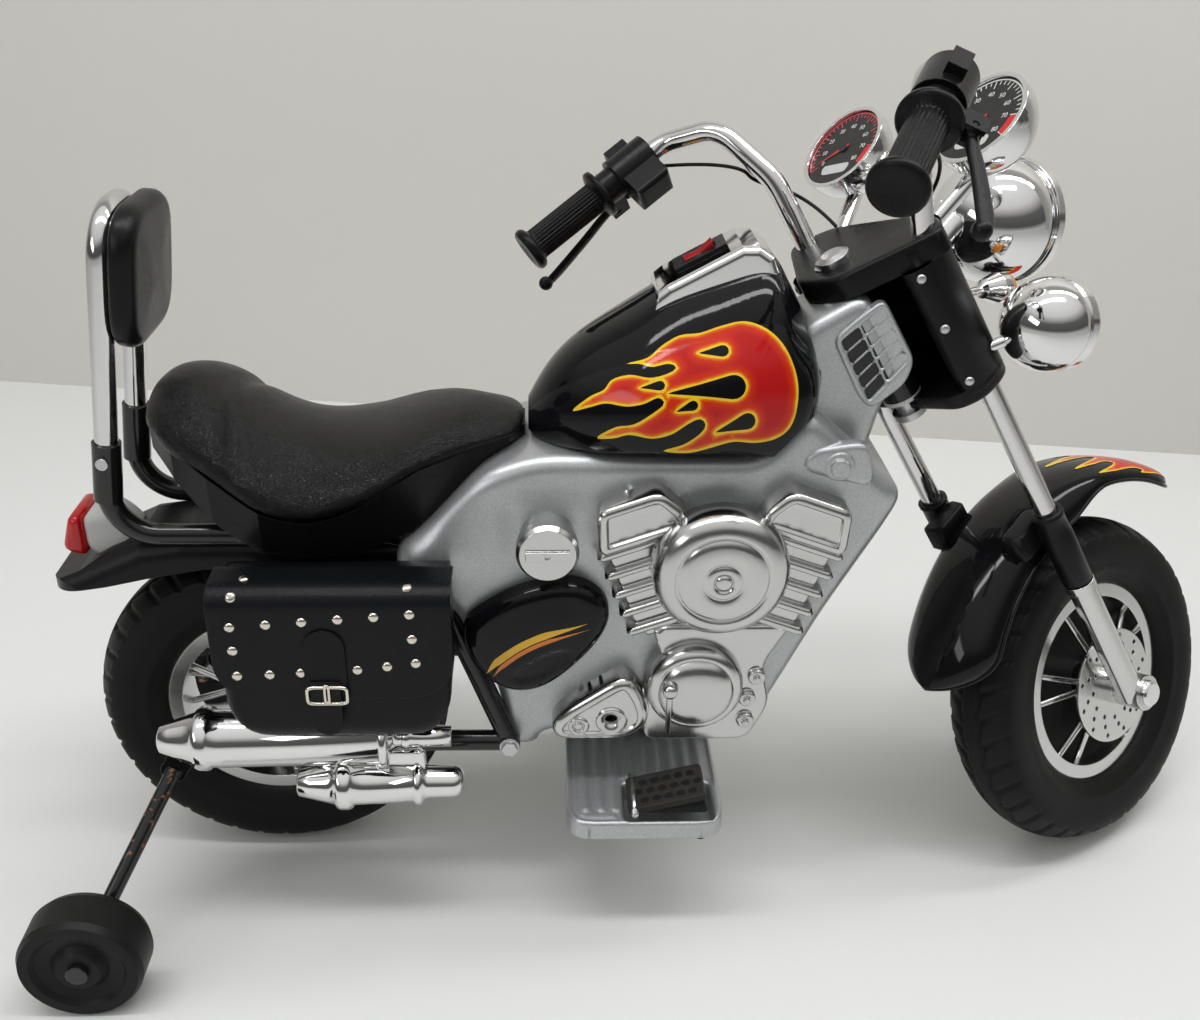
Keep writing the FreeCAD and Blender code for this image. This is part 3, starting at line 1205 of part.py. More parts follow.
def yoke():
    """Box that clamps the fork legs and the handlebars and turns about the body's nose."""
    half = float(S.yoke_width) / 2
    front = float(S.yoke_front)
    floor, top = -float(S.yoke_floor), float(S.yoke_top)
    under = top - float(S.yoke_plate)
    plate = flat(both_sides([(front + 2, 66), (40, 84), (32, 84), (-28, 22)]), under, top)
    plan = both_sides([(front, half - 16), (front - 14, half), (15, half), (-5, half - 16)])
    walls = flat(plan, floor, under)
    hub = Part.makeCylinder(24, float(S.yoke_base), vec(0, 0, floor))
    box = walls.fuse([plate, hub])
    box = box.cut(Part.makeCylinder(float(S.yoke_bore), under - floor - float(S.yoke_base),
                                    vec(0, 0, floor + float(S.yoke_base))))
    stem = Part.makeCylinder(float(S.stem_radius) + 0.05, top - floor + 2, vec(0, 0, floor - 1))
    box = box.cut(stem)
    for side in (-1, 1):
        leg = vec(S.leg_lead, side * float(S.leg_spread), floor - 1)
        box = box.cut(Part.makeCylinder(float(S.leg_radius) + 0.1, under - floor - 3, leg))
    bar = bar_shape(0.1)
    box = box.cut(bar).cut(bar.mirror(ORIGIN, ACROSS)).removeSplitter()
    piece(shaped("fork_yoke", box), "fork_yoke", FORK)


def fork():
    """Stanchions in the yoke and lower legs with the axle's bosses."""
    high = float(S.yoke_top) - float(S.yoke_plate) - 6
    slider_top = -float(S.slider_top)
    deep = slider_top - 62
    x, y = float(S.leg_lead), -float(S.leg_spread)
    leg = rod_shape(vec(x, y, deep + 4), vec(x, y, high), S.leg_radius)
    pair("fork_stanchions", shaped("stanchion_right", leg), FORK)
    axle = vec(S.axle_lead, y, -AXLE_DROP)
    slider = rod_shape(vec(x, y, -AXLE_DROP), vec(x, y, slider_top), S.slider_radius)
    collar = rod_shape(vec(x, y, slider_top - 9), vec(x, y, slider_top), float(S.slider_radius) + 1.5)
    width = float(S.slider_radius) + 0.6
    boss = rod_shape(axle - ACROSS * width, axle + ACROSS * width, 17)
    slider = slider.fuse([collar, boss])
    slider = slider.cut(rod_shape(vec(x, y, deep), vec(x, y, slider_top + 1), float(S.leg_radius) + 0.1))
    slider = slider.cut(rod_shape(axle - ACROSS * 30, axle + ACROSS * 30, float(S.axle_radius) + 0.1))
    pair("fork_lowers", shaped("fork_lower_right", slider.removeSplitter()), FORK)


def front_wheel():
    where = in_fork(S.axle_lead, 0, -AXLE_DROP)
    hub_half = S.leg_spread - S.slider_radius - 1.0
    tyre("front_tyre", where)
    rim("front_rim", hub_half * 2, where)
    disc_in = S.leg_spread - S.slider_radius - 10
    plate = sleeve("brake_disc_plate", S.hub_radius, S.disc_radius, -disc_in, -disc_in + S.disc_thickness)
    holes = []
    for ring, radius in enumerate((0.58, 0.74, 0.89)):
        for k in range(12):
            angle = 30 * k + 8 * ring
            reach = radius * float(S.disc_radius)
            at = vec(reach * cosine(angle), -float(disc_in) - 1, reach * sine(angle))
            holes.append(Part.makeCylinder(2.4, float(S.disc_thickness) + 2, at, ACROSS))
    drill = shaped("brake_disc_holes", Part.makeCompound(holes))
    piece(cut("brake_disc_drilled", plate, drill), "brake_disc", where)
    outer = S.leg_spread + S.slider_radius + 0.6
    cap = 12.5
    axle = turned("front_axle", [(0, -outer - 6), (cap - 2, -outer - 6), (cap, -outer - 4),
                                 (cap, -outer - 0.1), (S.axle_radius, -outer - 0.1),
                                 (S.axle_radius, outer + 0.1), (cap, outer + 0.1), (cap, outer + 4),
                                 (cap - 2, outer + 6), (0, outer + 6)])
    piece(axle, "front_axle", where)


def front_fender():
    """Fender round the front wheel with rounded ends and sleeves that clamp the stanchions."""
    crown, edge = 222.0, 188.0
    half, wall = 48.0, 3.0
    first, last = 26.0, 138.0
    section = [(edge, -half), (crown - 9, -half + 4), (crown, -half + 17), (crown, half - 17),
               (crown - 9, half - 4), (edge, half), (edge, half - wall), (crown - 10, half - wall - 3.5),
               (crown - wall, half - 18.5), (crown - wall, -half + 18.5), (crown - 10, -half + wall + 3.5),
               (edge, -half + wall)]
    corners = [vec(r, y, 0) for r, y in section]
    face = Part.Face(Part.makePolygon(corners + corners[:1]))
    rounding = math.degrees(half / crown)

    def arc(start, finish):
        part = face.revolve(ORIGIN, ACROSS, start - finish)
        part.rotate(ORIGIN, ACROSS, -start)
        return part

    parts = []
    for inner, outer in ((first + rounding, first), (last - rounding, last)):
        out = vec(cosine(inner), 0, sine(inner))
        plan = Part.makeCylinder(half + 0.5, 140, out * 140, out)
        parts.append(arc(min(inner, outer), max(inner, outer)).common(plan))
    arch = arc(first + rounding, last - rounding).fuse(parts).removeSplitter()
    front_edge = Part.makeCylinder(203, 2 * half + 2, vec(0, -half - 1, 0), ACROSS)
    arch = arch.cut(front_edge.common(slab(vec(70, -60, -100), vec(300, 60, 300))))
    arch.translate(vec(S.axle_lead, 0, -AXLE_DROP))
    leg = vec(S.leg_lead, -float(S.leg_spread), 0)
    low, high = -float(S.slider_top) + 1, -236.0
    extra = []
    for side in (-1, 1):
        at = vec(leg.x, side * float(S.leg_spread), low)
        extra.append(Part.makeCylinder(13.5, high - low, at))
        inner = float(S.leg_spread) - 12
        y0, y1 = sorted((side * (half - 12), side * inner))
        extra.append(slab(vec(leg.x - 34, y0, high - 30), vec(leg.x + 10, y1, high - 8)))
    fender = arch.fuse(extra)
    for side in (-1, 1):
        at = vec(leg.x, side * float(S.leg_spread), low - 1)
        fender = fender.cut(Part.makeCylinder(float(S.leg_radius) + 0.1, high - low + 2, at))
    piece(shaped("front_fender", fender.removeSplitter()), "front_fender", FORK)


def grip_axis():
    """Outer end of the right handlebar and the direction back along it."""
    points = [vec(x, -y, z) for x, y, z in BAR_POINTS]
    return points[-1], (points[-2] - points[-1]).normalize()


def along_bar():
    """Placement whose Y axis runs inwards along the right grip from the bar's end, with the lever below."""
    end, inwards = grip_axis()
    straight = Rotation(ACROSS, inwards)
    down = straight.inverted().multVec(vec(0.30, -0.58, -0.76))
    turn = math.degrees(math.atan2(-down.x, -down.z))
    return Placement(end, straight.multiply(Rotation(ACROSS, turn)))


def handlebars():
    """Bent bars with grips, control housings with a clamp for the lever, and the levers."""
    cap = 4.0
    left = bar_shape(0.0, cap + 0.5)
    pair("handlebars", shaped("handlebar_right", left.mirror(ORIGIN, ACROSS)), FORK)
    size, length = S.grip_radius, S.grip_length
    bore = S.tube_radius + 0.1
    outline = [(0, 0), (size + 4, 0), (size + 6, 2), (size + 6.5, 6), (size + 4, 9), (size, 11),
               (size, length - 7), (size + 9, length - 5), (size + 9, length), (bore, length),
               (bore, cap + 0.2), (0, cap + 0.2)]
    grip = turned("hand_grip_right", outline)
    grip.Placement = along_bar()
    pair("hand_grips", grip, FORK)
    start = float(length) + 0.4
    collar = rod_shape(ACROSS * start, ACROSS * (start + 16), 15)
    barrel = rod_shape(ACROSS * (start + 16), ACROSS * (start + 55), 19.5)
    box = slab(vec(-36, start + 19, -14), vec(-10, start + 53, 14))
    box = box.makeFillet(4, [e for e in box.Edges if e.BoundBox.XMax < -35])
    tab = slab(vec(15, start + 24, -7), vec(27, start + 46, 7))
    knuckle = slab(vec(-8, start, -35), vec(8, start + 17, -9))
    slot = slab(vec(-4.4, start - 5, -40), vec(4.4, start + 11.8, -20.4))
    pivot = vec(0, start + 5, -27)
    hole = rod_shape(pivot - AHEAD * 12, pivot + AHEAD * 12, 2.5 + float(S.running_fit))
    housing = collar.fuse([barrel, box, tab, knuckle]).cut(slot).cut(hole)
    housing = housing.cut(rod_shape(ACROSS * (start - 1), ACROSS * (start + 60), float(S.tube_radius) + 0.1))
    right = shaped("control_housing_right", housing.removeSplitter())
    right.Placement = along_bar()
    pair("control_housings", right, FORK)
    ball = vec(0, 2, -56)
    blade = bent_tube([pivot, vec(0, start - 30, -39), ball], [60], 4.0)
    eye = rod_shape(pivot - AHEAD * 4, pivot + AHEAD * 4, 6)
    pin = rod_shape(pivot - AHEAD * 7.6, pivot + AHEAD * 7.6, 2.5)
    lever = blade.fuse([eye, pin, Part.makeSphere(6.5, ball)]).removeSplitter()
    lever.Placement = along_bar()
    other = lever.mirror(ORIGIN, ACROSS)
    for label, shape in (("brake_lever_right", lever), ("brake_lever_left", other)):
        placed = shape.copy()
        placed.Placement = FORK.multiply(placed.Placement)
        piece(shaped(label, placed), label)


def dome(reach, rise):
    """Radius of a dome of that reach and rise whose pole lies on its axis."""
    return (as_size(reach) * reach + as_size(rise) * rise) / (as_size(rise) * 2)


def lamps():
    """Headlight on a neck, two passing lamps and two bullet indicators on stems, and their lenses."""
    forward = Rotation(ACROSS, LEVEL_AHEAD)
    size = S.headlight_radius
    rim_centre = vec(206, 0, -42)
    wide, back, brim, skin = size * 0.95, 84, 12, 4
    outline = [(0, -back, dome(wide, back - brim)), (wide, -brim), (wide, -8), (size, -8), (size, 0),
               (size - 6, 0), (size - 6, -brim - 2, -dome(size - 6, back - skin - brim - 2)),
               (0, skin - back)]
    bowl = turned("headlight_shell", outline)
    bowl.Placement = Placement(rim_centre, forward)
    front = float(S.yoke_front)
    half = float(S.yoke_width) / 2
    neck = rod_shape(vec(front + 0.1, 0, -6), rim_centre - LEVEL_AHEAD * (back - 1), 13)
    neck = neck.cut(slab(vec(-50, -50, -100), vec(front + 0.1, 50, 100)))
    shell = fused("headlight_with_neck", bowl, shaped("headlight_neck", neck))
    piece(shell, "headlight_bowl", FORK)
    lens = turned("headlight_glass", [(0, 4), (size * 0.55, 1), (size - 6.2, -4), (size - 6.2, -7), (0, -3)])
    lens.Placement = Placement(rim_centre, forward)
    ball = S.lamp_radius
    centre = vec(86, -97, -76)
    outline = [(0, -ball, ball), (ball, 0), (ball * 0.97, ball * 0.16), (ball, ball * 0.18),
               (ball, ball * 0.40), (ball - 4, ball * 0.40), (ball - 4, ball * 0.10), (0, ball * 0.10)]
    round_shell = turned("passing_lamp_ball", outline)
    round_shell.Placement = Placement(centre, forward)
    wall = vec(front - 20, -half + 4, -66)
    box = flat(both_sides([(front, half - 16), (front - 14, half), (15, half), (-5, half - 16)]), -200, 60)
    stem = rod_shape(wall, centre, 5).cut(box)
    lamp = fused("passing_lamp_right", round_shell, shaped("passing_lamp_stem", stem.Solids[0]))
    pointer = turned("indicator_shell", [(0, -22), (8, -16), (13, 0), (13, 10), (0, 10)])
    tip = vec(front + 34, -52, -44)
    pointer.Placement = Placement(tip, forward)
    arm = rod_shape(vec(front - 10, -52, -21), tip, 4).cut(box)
    bullet = fused("indicator_right", pointer, shaped("indicator_stem", arm.Solids[0]))
    both = doc.addObject("Part::Compound", "lamp_and_indicator")
    both.Links = [lamp, bullet]
    pair("passing_lamps", both, FORK)
    outline = [(0, ball * 0.54), (ball * 0.5, ball * 0.48), (ball - 4.2, ball * 0.34),
               (ball - 4.2, ball * 0.12), (0, ball * 0.12)]
    glass = turned("passing_lamp_glass", outline)
    glass.Placement = Placement(centre, forward)
    glasses = doc.addObject("Part::Compound", "lens_set")
    glasses.Links = [lens, glass, mirrored("passing_lamp_glass_left", glass)]
    piece(glasses, "lamp_lenses", FORK)
    amber = turned("indicator_lens_right", [(0, 10.1), (12, 10.1), (11, 15), (6, 19), (0, 20)])
    amber.Placement = Placement(tip, forward)
    pair("indicator_lenses", amber, FORK)


def gauges():
    """Two round gauges in chrome bowls that face up to the rider, on necks from the yoke."""
    size = S.gauge_radius
    normal = vec(-cosine(67.4), 0, sine(67.4))
    facing = Rotation(ACROSS, normal)
    centre = vec(132, -76, 90)
    deep = 44
    outline = [(0, -deep, dome(size, deep - 2)), (size, -2), (size, 4), (size - 4, 4), (size - 4, -3),
               (0, -3)]
    bowl = turned("gauge_bowl_shell", outline)
    bowl.Placement = Placement(centre, facing)
    plate_front = float(S.yoke_front) + 2
    neck = rod_shape(vec(plate_front - 4, -52, float(S.yoke_top) - 10), centre - normal * 30, 7)
    neck = neck.cut(slab(vec(-50, -100, -100), vec(plate_front + 0.1, 100, 200)))
    right = fused("gauge_bowl_right", bowl, shaped("gauge_neck", neck.Solids[0]))
    pair("gauge_bowls", right, FORK)
    face = turned("gauge_face_right", [(0, -2.9), (size - 4.2, -2.9), (size - 4.2, 1), (0, 1)])
    face.Placement = Placement(centre, facing)
    pair("gauge_faces", face, FORK)


WIRE_ROUTE = ((12.8, 167.1, 161.4), (26, 135, 151), (37.5, 96.5, 133), (44, 100.5, 116.5), (60, 90, 98),
              (66, 74, 78), (62, 56, 62), (58.5, 47.2, 53.5))


def wires():
    """Thin wire from each control housing down beside its handlebar into the yoke's top plate."""
    points = [vec(*p) for p in WIRE_ROUTE]
    bends = []
    for k in range(1, len(points) - 1):
        back, onward = points[k - 1] - points[k], points[k + 1] - points[k]
        turn = math.pi - back.getAngle(onward)
        bends.append(0.45 * min(back.Length, onward.Length) / math.tan(turn / 2))
    left = bent_tube(points, bends, S.wire_radius)
    right = left.mirror(ORIGIN, ACROSS)
    piece(shaped("control_wire_right", right), "control_wire_right", FORK)
    piece(shaped("control_wire_left", left), "control_wire_left", FORK)


def build():
    rear_wheel()
    drive()
    rear_axle()
    stabilisers()
    frame()
    sissy_bar()
    backrest()
    seat()
    tank_outer = tank()
    body_shells(tank_outer)
    console(tank_outer)
    rear_fender()
    engine()
    side_covers()
    platforms()
    exhaust()
    saddlebags()
    battery()
    bolts()
    headset()
    yoke()
    fork()
    front_wheel()
    front_fender()
    handlebars()
    lamps()
    gauges()
    wires()


def check_and_write():
    doc.recompute()
    faults = [o.Label for o in doc.Objects if "Invalid" in o.State or "Error" in o.State]
    for obj, label in PIECES:
        if obj.Shape.isNull() or not obj.Shape.isValid() or not obj.Shape.Solids:
            faults.append(label)
    if faults:
        raise RuntimeError("failed: " + ", ".join(faults))
    os.makedirs("parts", exist_ok=True)
    for obj, label in PIECES:
        obj.Shape.exportStep(f"parts/{label}.step")
        print(label, "solids", len(obj.Shape.Solids), "volume", round(obj.Shape.Volume / 1000, 1), "cm3")
    print(len(PIECES), "pieces")


build()
check_and_write()
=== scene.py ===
# %% [markdown]
# # Child's electric motorbike
# The solids of the bike come packed as one fixed frame, in metres, and everything here is dressed on them.
# Tubes, rims, bolts and the inner pieces keep their solid and get a finish. Soft, treaded, moulded or
# printed pieces are made new, as surfaces worked out with numpy, and stand in their solid's place.

import math

import bmesh
import bpy
import numpy as np
from mathutils import Matrix, Vector
from mathutils.geometry import delaunay_2d_cdt


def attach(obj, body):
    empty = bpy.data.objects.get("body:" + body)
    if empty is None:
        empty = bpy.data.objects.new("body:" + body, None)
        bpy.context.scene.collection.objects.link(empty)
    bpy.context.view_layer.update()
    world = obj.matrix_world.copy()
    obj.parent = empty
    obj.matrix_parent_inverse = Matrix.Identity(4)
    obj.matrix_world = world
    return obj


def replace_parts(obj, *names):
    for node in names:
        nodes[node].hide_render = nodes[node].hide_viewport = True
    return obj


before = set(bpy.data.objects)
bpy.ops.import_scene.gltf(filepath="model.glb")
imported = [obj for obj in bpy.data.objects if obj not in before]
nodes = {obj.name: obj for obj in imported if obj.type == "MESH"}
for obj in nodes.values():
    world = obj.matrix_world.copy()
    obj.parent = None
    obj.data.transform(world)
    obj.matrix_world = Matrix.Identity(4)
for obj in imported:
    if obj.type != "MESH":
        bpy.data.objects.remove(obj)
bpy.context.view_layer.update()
scene = bpy.context.scene
MM = 0.001

# %% [markdown]
# ## Camera
# The photograph was taken from the bike's right, a little above the handlebars, looking down at 27 degrees.
# A camera could be turned by hand until the picture fits. Here its three axes are written as vectors,
# because the same vectors later lay the printed flames on the tank.

# %% Camera
IMAGE_WIDTH, IMAGE_HEIGHT, FOCAL_PIXELS, SENSOR = 1200, 1020, 1236.85, 36.0
yaw, pitch, roll = np.radians([3.04, 27.41, -1.34])
sight = np.array([math.sin(yaw) * math.cos(pitch), math.cos(yaw) * math.cos(pitch), -math.sin(pitch)])
level = np.array([math.cos(yaw), -math.sin(yaw), 0.0])
under = np.cross(sight, level)
rightwards = math.cos(roll) * level + math.sin(roll) * under
upwards = math.sin(roll) * level - math.cos(roll) * under
EYE = np.array([0.2513, -0.9843, 0.8681])


def frame_matrix(right, up, back, origin):
    """Matrix whose columns are three axes and an origin."""
    matrix = np.eye(4)
    matrix[:3, 0], matrix[:3, 1], matrix[:3, 2], matrix[:3, 3] = right, up, back, origin
    return Matrix(matrix.tolist())


lens = bpy.data.cameras.new("photo_camera")
lens.sensor_fit = "HORIZONTAL"
lens.sensor_width = SENSOR
lens.lens = SENSOR * FOCAL_PIXELS / IMAGE_WIDTH
lens.clip_start = 0.02
camera = bpy.data.objects.new("photo_camera", lens)
scene.collection.objects.link(camera)
camera.matrix_world = frame_matrix(rightwards, upwards, -sight, EYE)
scene.camera = camera
print("camera lens", round(lens.lens, 2), "mm")

# %% [markdown]
# ## Mesh helpers
# A piece is a grid of points, a function of two parameters. One helper turns such an array into a mesh,
# and closes it where a direction runs round. Faces are index arrays too, so no loop visits a vertex.


# %% Surfaces from arrays
def new_piece(name, points, faces, body, material):
    """Mesh object at the origin from an (n, 3) array in metres and an (m, 3 or 4) array of corners."""
    mesh = bpy.data.meshes.new(name)
    mesh.from_pydata(np.asarray(points, float).tolist(), [], np.asarray(faces).tolist())
    mesh.update()
    mesh.polygons.foreach_set("use_smooth", np.ones(len(mesh.polygons), bool))
    piece = bpy.data.objects.new(name, mesh)
    scene.collection.objects.link(piece)
    mesh.materials.append(material)
    if body:
        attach(piece, body)
    return piece


def grid_faces(rows, columns, round_rows=False, round_columns=False):
    """Corner indices of the quads of a grid that is stored row by row, closed where it runs round."""
    i, j = np.meshgrid(np.arange(rows if round_rows else rows - 1),
                       np.arange(columns if round_columns else columns - 1), indexing="ij")
    k, l = (i + 1) % rows, (j + 1) % columns
    return np.stack([i * columns + j, k * columns + j, k * columns + l, i * columns + l], -1).reshape(-1, 4)


def surface(name, grid, body, material, round_rows=False, round_columns=False):
    """Piece from an array of shape (rows, columns, 3), with doubled points merged and normals outwards."""
    rows, columns = grid.shape[:2]
    faces = grid_faces(rows, columns, round_rows, round_columns)
    piece = new_piece(name, grid.reshape(-1, 3), faces, body, material)
    tidy_normals(piece)
    return piece


def tidy_normals(piece):
    """Merges doubled points and turns the faces outwards."""
    work = bmesh.new()
    work.from_mesh(piece.data)
    bmesh.ops.remove_doubles(work, verts=work.verts, dist=1e-6)
    bmesh.ops.dissolve_degenerate(work, edges=work.edges, dist=1e-7)
    bmesh.ops.recalc_face_normals(work, faces=work.faces)
    work.to_mesh(piece.data)
    work.free()


print("surface helpers ready")


# %% Modifiers
def modified(piece, kind, **settings):
    """Piece with one more modifier."""
    modifier = piece.modifiers.new(kind.lower(), kind)
    for key, value in settings.items():
        setattr(modifier, key, value)
    return piece


def applied(piece):
    """Piece whose modifiers are worked into its mesh."""
    bpy.context.view_layer.update()
    graph = bpy.context.evaluated_depsgraph_get()
    mesh = bpy.data.meshes.new_from_object(piece.evaluated_get(graph))
    piece.modifiers.clear()
    old, piece.data = piece.data, mesh
    bpy.data.meshes.remove(old)
    return piece


print("modifier helpers ready")


# %% Curves and waves
def curve_through(points, count, closed=False):
    """Points along a Catmull-Rom curve: each run is the cubic that leaves its ends along the chords there."""
    p = np.asarray(points, float)
    if closed:
        a, b, c, d = np.roll(p, 1, 0), p, np.roll(p, -1, 0), np.roll(p, -2, 0)
    else:
        ends = np.vstack([2 * p[0] - p[1], p, 2 * p[-1] - p[-2]])
        a, b, c, d = ends[:-3], ends[1:-2], ends[2:-1], ends[3:]
    t = np.linspace(0, 1, count, endpoint=False)[None, :, None]
    a, b, c, d = (q[:, None, :] for q in (a, b, c, d))
    runs = 0.5 * (2 * b + (c - a) * t + (2 * a - 5 * b + 4 * c - d) * t ** 2
                  + (3 * b - a - 3 * c + d) * t ** 3)
    runs = runs.reshape(-1, p.shape[1])
    return runs if closed else np.vstack([runs, p[-1:]])


def smooth_step(value, low, high):
    """Smooth change from nought to one between two values."""
    t = np.clip((value - low) / (high - low), 0, 1)
    return t * t * (3 - 2 * t)


def unit(vectors):
    """Vectors scaled to a length of one."""
    return vectors / np.linalg.norm(vectors, axis=-1, keepdims=True)


def round_turn(steps):
    """Even bearings once round."""
    return np.linspace(0, 2 * np.pi, steps, endpoint=False)


def squared(wave, power):
    """Wave drawn towards a square one, with its sign kept."""
    return np.sign(wave) * np.abs(wave) ** power


print("curve helpers ready")


# %% Points and twins
def coordinates(mesh, what="co"):
    """Vertex positions, or normals, as an (n, 3) array."""
    flat = np.empty(3 * len(mesh.vertices))
    mesh.vertices.foreach_get(what, flat)
    return flat.reshape(-1, 3)


def mirrored(name, piece, body):
    """The same piece on the bike's other side: Y turned round, and the faces with it."""
    twin = piece.copy()
    twin.data = piece.data.copy()
    twin.name = name
    twin.parent = None
    scene.collection.objects.link(twin)
    twin.data.transform(Matrix.Diagonal((1, -1, 1, 1)))
    twin.data.flip_normals()
    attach(twin, body)
    return twin


def paired(piece, node=None, body="chassis"):
    """Gives a right-hand piece its left twin, and stands both in for a solid where one is named."""
    pieces = [piece, mirrored(piece.name.replace("right", "left"), piece, body)]
    for part in pieces if node else []:
        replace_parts(part, node)


print("twin helpers ready")

# %% [markdown]
# ## The steered fork
# In the photograph the handlebars stand on the left lock. Pieces on the fork are written in its own axes:
# ahead, to the left and up along the steering axis, in millimetres from the steering head.

# %% Axes of the fork
RAKE, LOCK = math.radians(31.4), math.radians(37.0)
HEAD = np.array([519.3, 0.0, 541.1])
straight_ahead = np.array([math.cos(RAKE), 0.0, math.sin(RAKE)])
straight_left = np.array([0.0, 1.0, 0.0])
fork_up = np.array([-math.sin(RAKE), 0.0, math.cos(RAKE)])
fork_ahead = math.cos(LOCK) * straight_ahead + math.sin(LOCK) * straight_left
fork_left = -math.sin(LOCK) * straight_ahead + math.cos(LOCK) * straight_left
FORK_AXES = np.stack([fork_ahead, fork_left, fork_up])
FRONT_AXLE = np.array([36.5, 0.0, -468.79])


def in_fork(points):
    """Metres in the bike's frame of points given in millimetres along the fork's axes."""
    return (HEAD + np.asarray(points, float) @ FORK_AXES) * MM


print("front axle at", np.round(in_fork(FRONT_AXLE), 4))

# %% [markdown]
# ## Control wires
# A thin black wire leaves each control housing, hangs beside the handlebar and goes into the yoke's top.
# A bevelled curve is enough for it: the wire is a NURBS line, so it bends as smoothly as a real sheath.

# %% Control wires
WIRE_ROUTE = np.array([(12.8, 167.1, 161.4), (26, 135, 151), (37.5, 96.5, 133), (44, 100.5, 116.5),
                       (60, 90, 98), (66, 74, 78), (62, 56, 62), (58.5, 47.2, 53.5)])
WIRE_DIAMETER = 3.2 * MM
wires = []
for side, name in ((-1, "right"), (1, "left")):
    curve = bpy.data.curves.new(f"wire_{name}", "CURVE")
    curve.dimensions = "3D"
    spline = curve.splines.new("NURBS")
    route = in_fork(WIRE_ROUTE * [1, side, 1])
    spline.points.add(len(route) - 1)
    spline.points.foreach_set("co", np.hstack([route, np.ones((len(route), 1))]).ravel())
    spline.points.foreach_set("radius", np.full(len(route), WIRE_DIAMETER / 2))
    spline.order_u = 3
    spline.use_endpoint_u = True
    spline.resolution_u = 12
    wire = bpy.data.objects.new(f"wire_{name}", curve)
    scene.collection.objects.link(wire)
    bare = bpy.data.meshes.new_from_object(wire)
    length = float(np.linalg.norm(np.diff(coordinates(bare), axis=0), axis=1).sum())
    bpy.data.meshes.remove(bare)
    curve.bevel_depth = 1.0  # each point's radius sets the thickness
    curve.bevel_resolution = 3
    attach(wire, "steering")
    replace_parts(wire, f"control_wire_{name}")
    wires.append(wire)
    print(wire.name, "length", round(length, 4))

# %% [markdown]
# ## Shader helpers
# Every finish is built from nodes. Two short helpers add a node and its links. An effect that several
# finishes share, such as softened edges, handling marks or leather grain, is one node group, placed in
# each finish with its own values.


# %% Node helpers
def add(tree, kind, props=None, **inputs):
    """A shader node with its properties set and its inputs given a value or linked to a socket."""
    node = tree.nodes.new("ShaderNode" + kind)
    for key, value in (props or {}).items():
        setattr(node, key, value)
    for key, value in inputs.items():
        socket = node.inputs[int(key[1:])] if key[0] == "_" else node.inputs[key.replace("_", " ")]
        if isinstance(value, bpy.types.NodeSocket):
            tree.links.new(value, socket)
        else:
            socket.default_value = value
    return node


def calc(tree, operation, first, second):
    """Output of a Math node."""
    return add(tree, "Math", dict(operation=operation), _0=first, _1=second).outputs[0]


def ranged(tree, value, low, high, to_low, to_high):
    """Value moved from one range to another and kept inside it."""
    return add(tree, "MapRange", None, Value=value, From_Min=low, From_Max=high, To_Min=to_low,
               To_Max=to_high).outputs[0]


def blended(tree, share, first, second):
    """Mix of two colours, each a socket or three numbers."""
    ends = [end if isinstance(end, bpy.types.NodeSocket) else (*end, 1.0) for end in (first, second)]
    return add(tree, "Mix", dict(data_type="RGBA"), _0=share, _6=ends[0], _7=ends[1]).outputs[2]


def spot(tree):
    """Object coordinates."""
    return add(tree, "TexCoord").outputs["Object"]


def effect(name, inputs, outputs):
    """An empty node group with named number inputs and named outputs; returns the tree and its ends."""
    tree = bpy.data.node_groups.new(name, "ShaderNodeTree")
    for label, value in inputs.items():
        socket = tree.interface.new_socket(label, in_out="INPUT", socket_type="NodeSocketFloat")
        socket.default_value = value
    for label in outputs:
        kind = "NodeSocketVector" if label == "Normal" else "NodeSocketFloat"
        tree.interface.new_socket(label, in_out="OUTPUT", socket_type=kind)
    print("effect", name)
    return tree, tree.nodes.new("NodeGroupInput").outputs, tree.nodes.new("NodeGroupOutput").inputs


def use(tree, group, **inputs):
    """Outputs of a shared effect placed in a finish."""
    node = tree.nodes.new("ShaderNodeGroup")
    node.node_tree = group
    for key, value in inputs.items():
        node.inputs[key.replace("_", " ")].default_value = value
    return node.outputs


print("node helpers ready")

# %% [markdown]
# ## Shared effects
# Mouldings never have knife edges. The first effect rounds the light at every edge and gives a mask there,
# which finishes use to paint a highlight on edges. The others vary gloss where hands have been, mask upward
# faces for dust with a painted sheen, and give leather its pebbles, paint its flakes, and worn paint its
# chips.

# %% Softened edges
soft_edge, given, out = effect("softened_edge", {"Radius": 0.001}, ["Normal", "Edge"])
rounded = add(soft_edge, "Bevel", dict(samples=6), Radius=given["Radius"]).outputs[0]
flat_normal = add(soft_edge, "NewGeometry").outputs["Normal"]
agree = add(soft_edge, "VectorMath", dict(operation="DOT_PRODUCT"), _0=rounded, _1=flat_normal)
soft_edge.links.new(rounded, out["Normal"])
soft_edge.links.new(ranged(soft_edge, agree.outputs["Value"], 1.0, 0.86, 0.0, 1.0), out["Edge"])

# %% Handling marks
handled, given, out = effect("handling_marks", {"Scale": 12.0, "Least": 0.1, "Most": 0.3}, ["Gloss"])
broad = add(handled, "TexNoise", None, Vector=spot(handled), Scale=given["Scale"], Detail=5.0,
            Roughness=0.62, Distortion=0.4).outputs[0]
handled.links.new(ranged(handled, broad, 0.32, 0.72, given["Least"], given["Most"]), out["Gloss"])

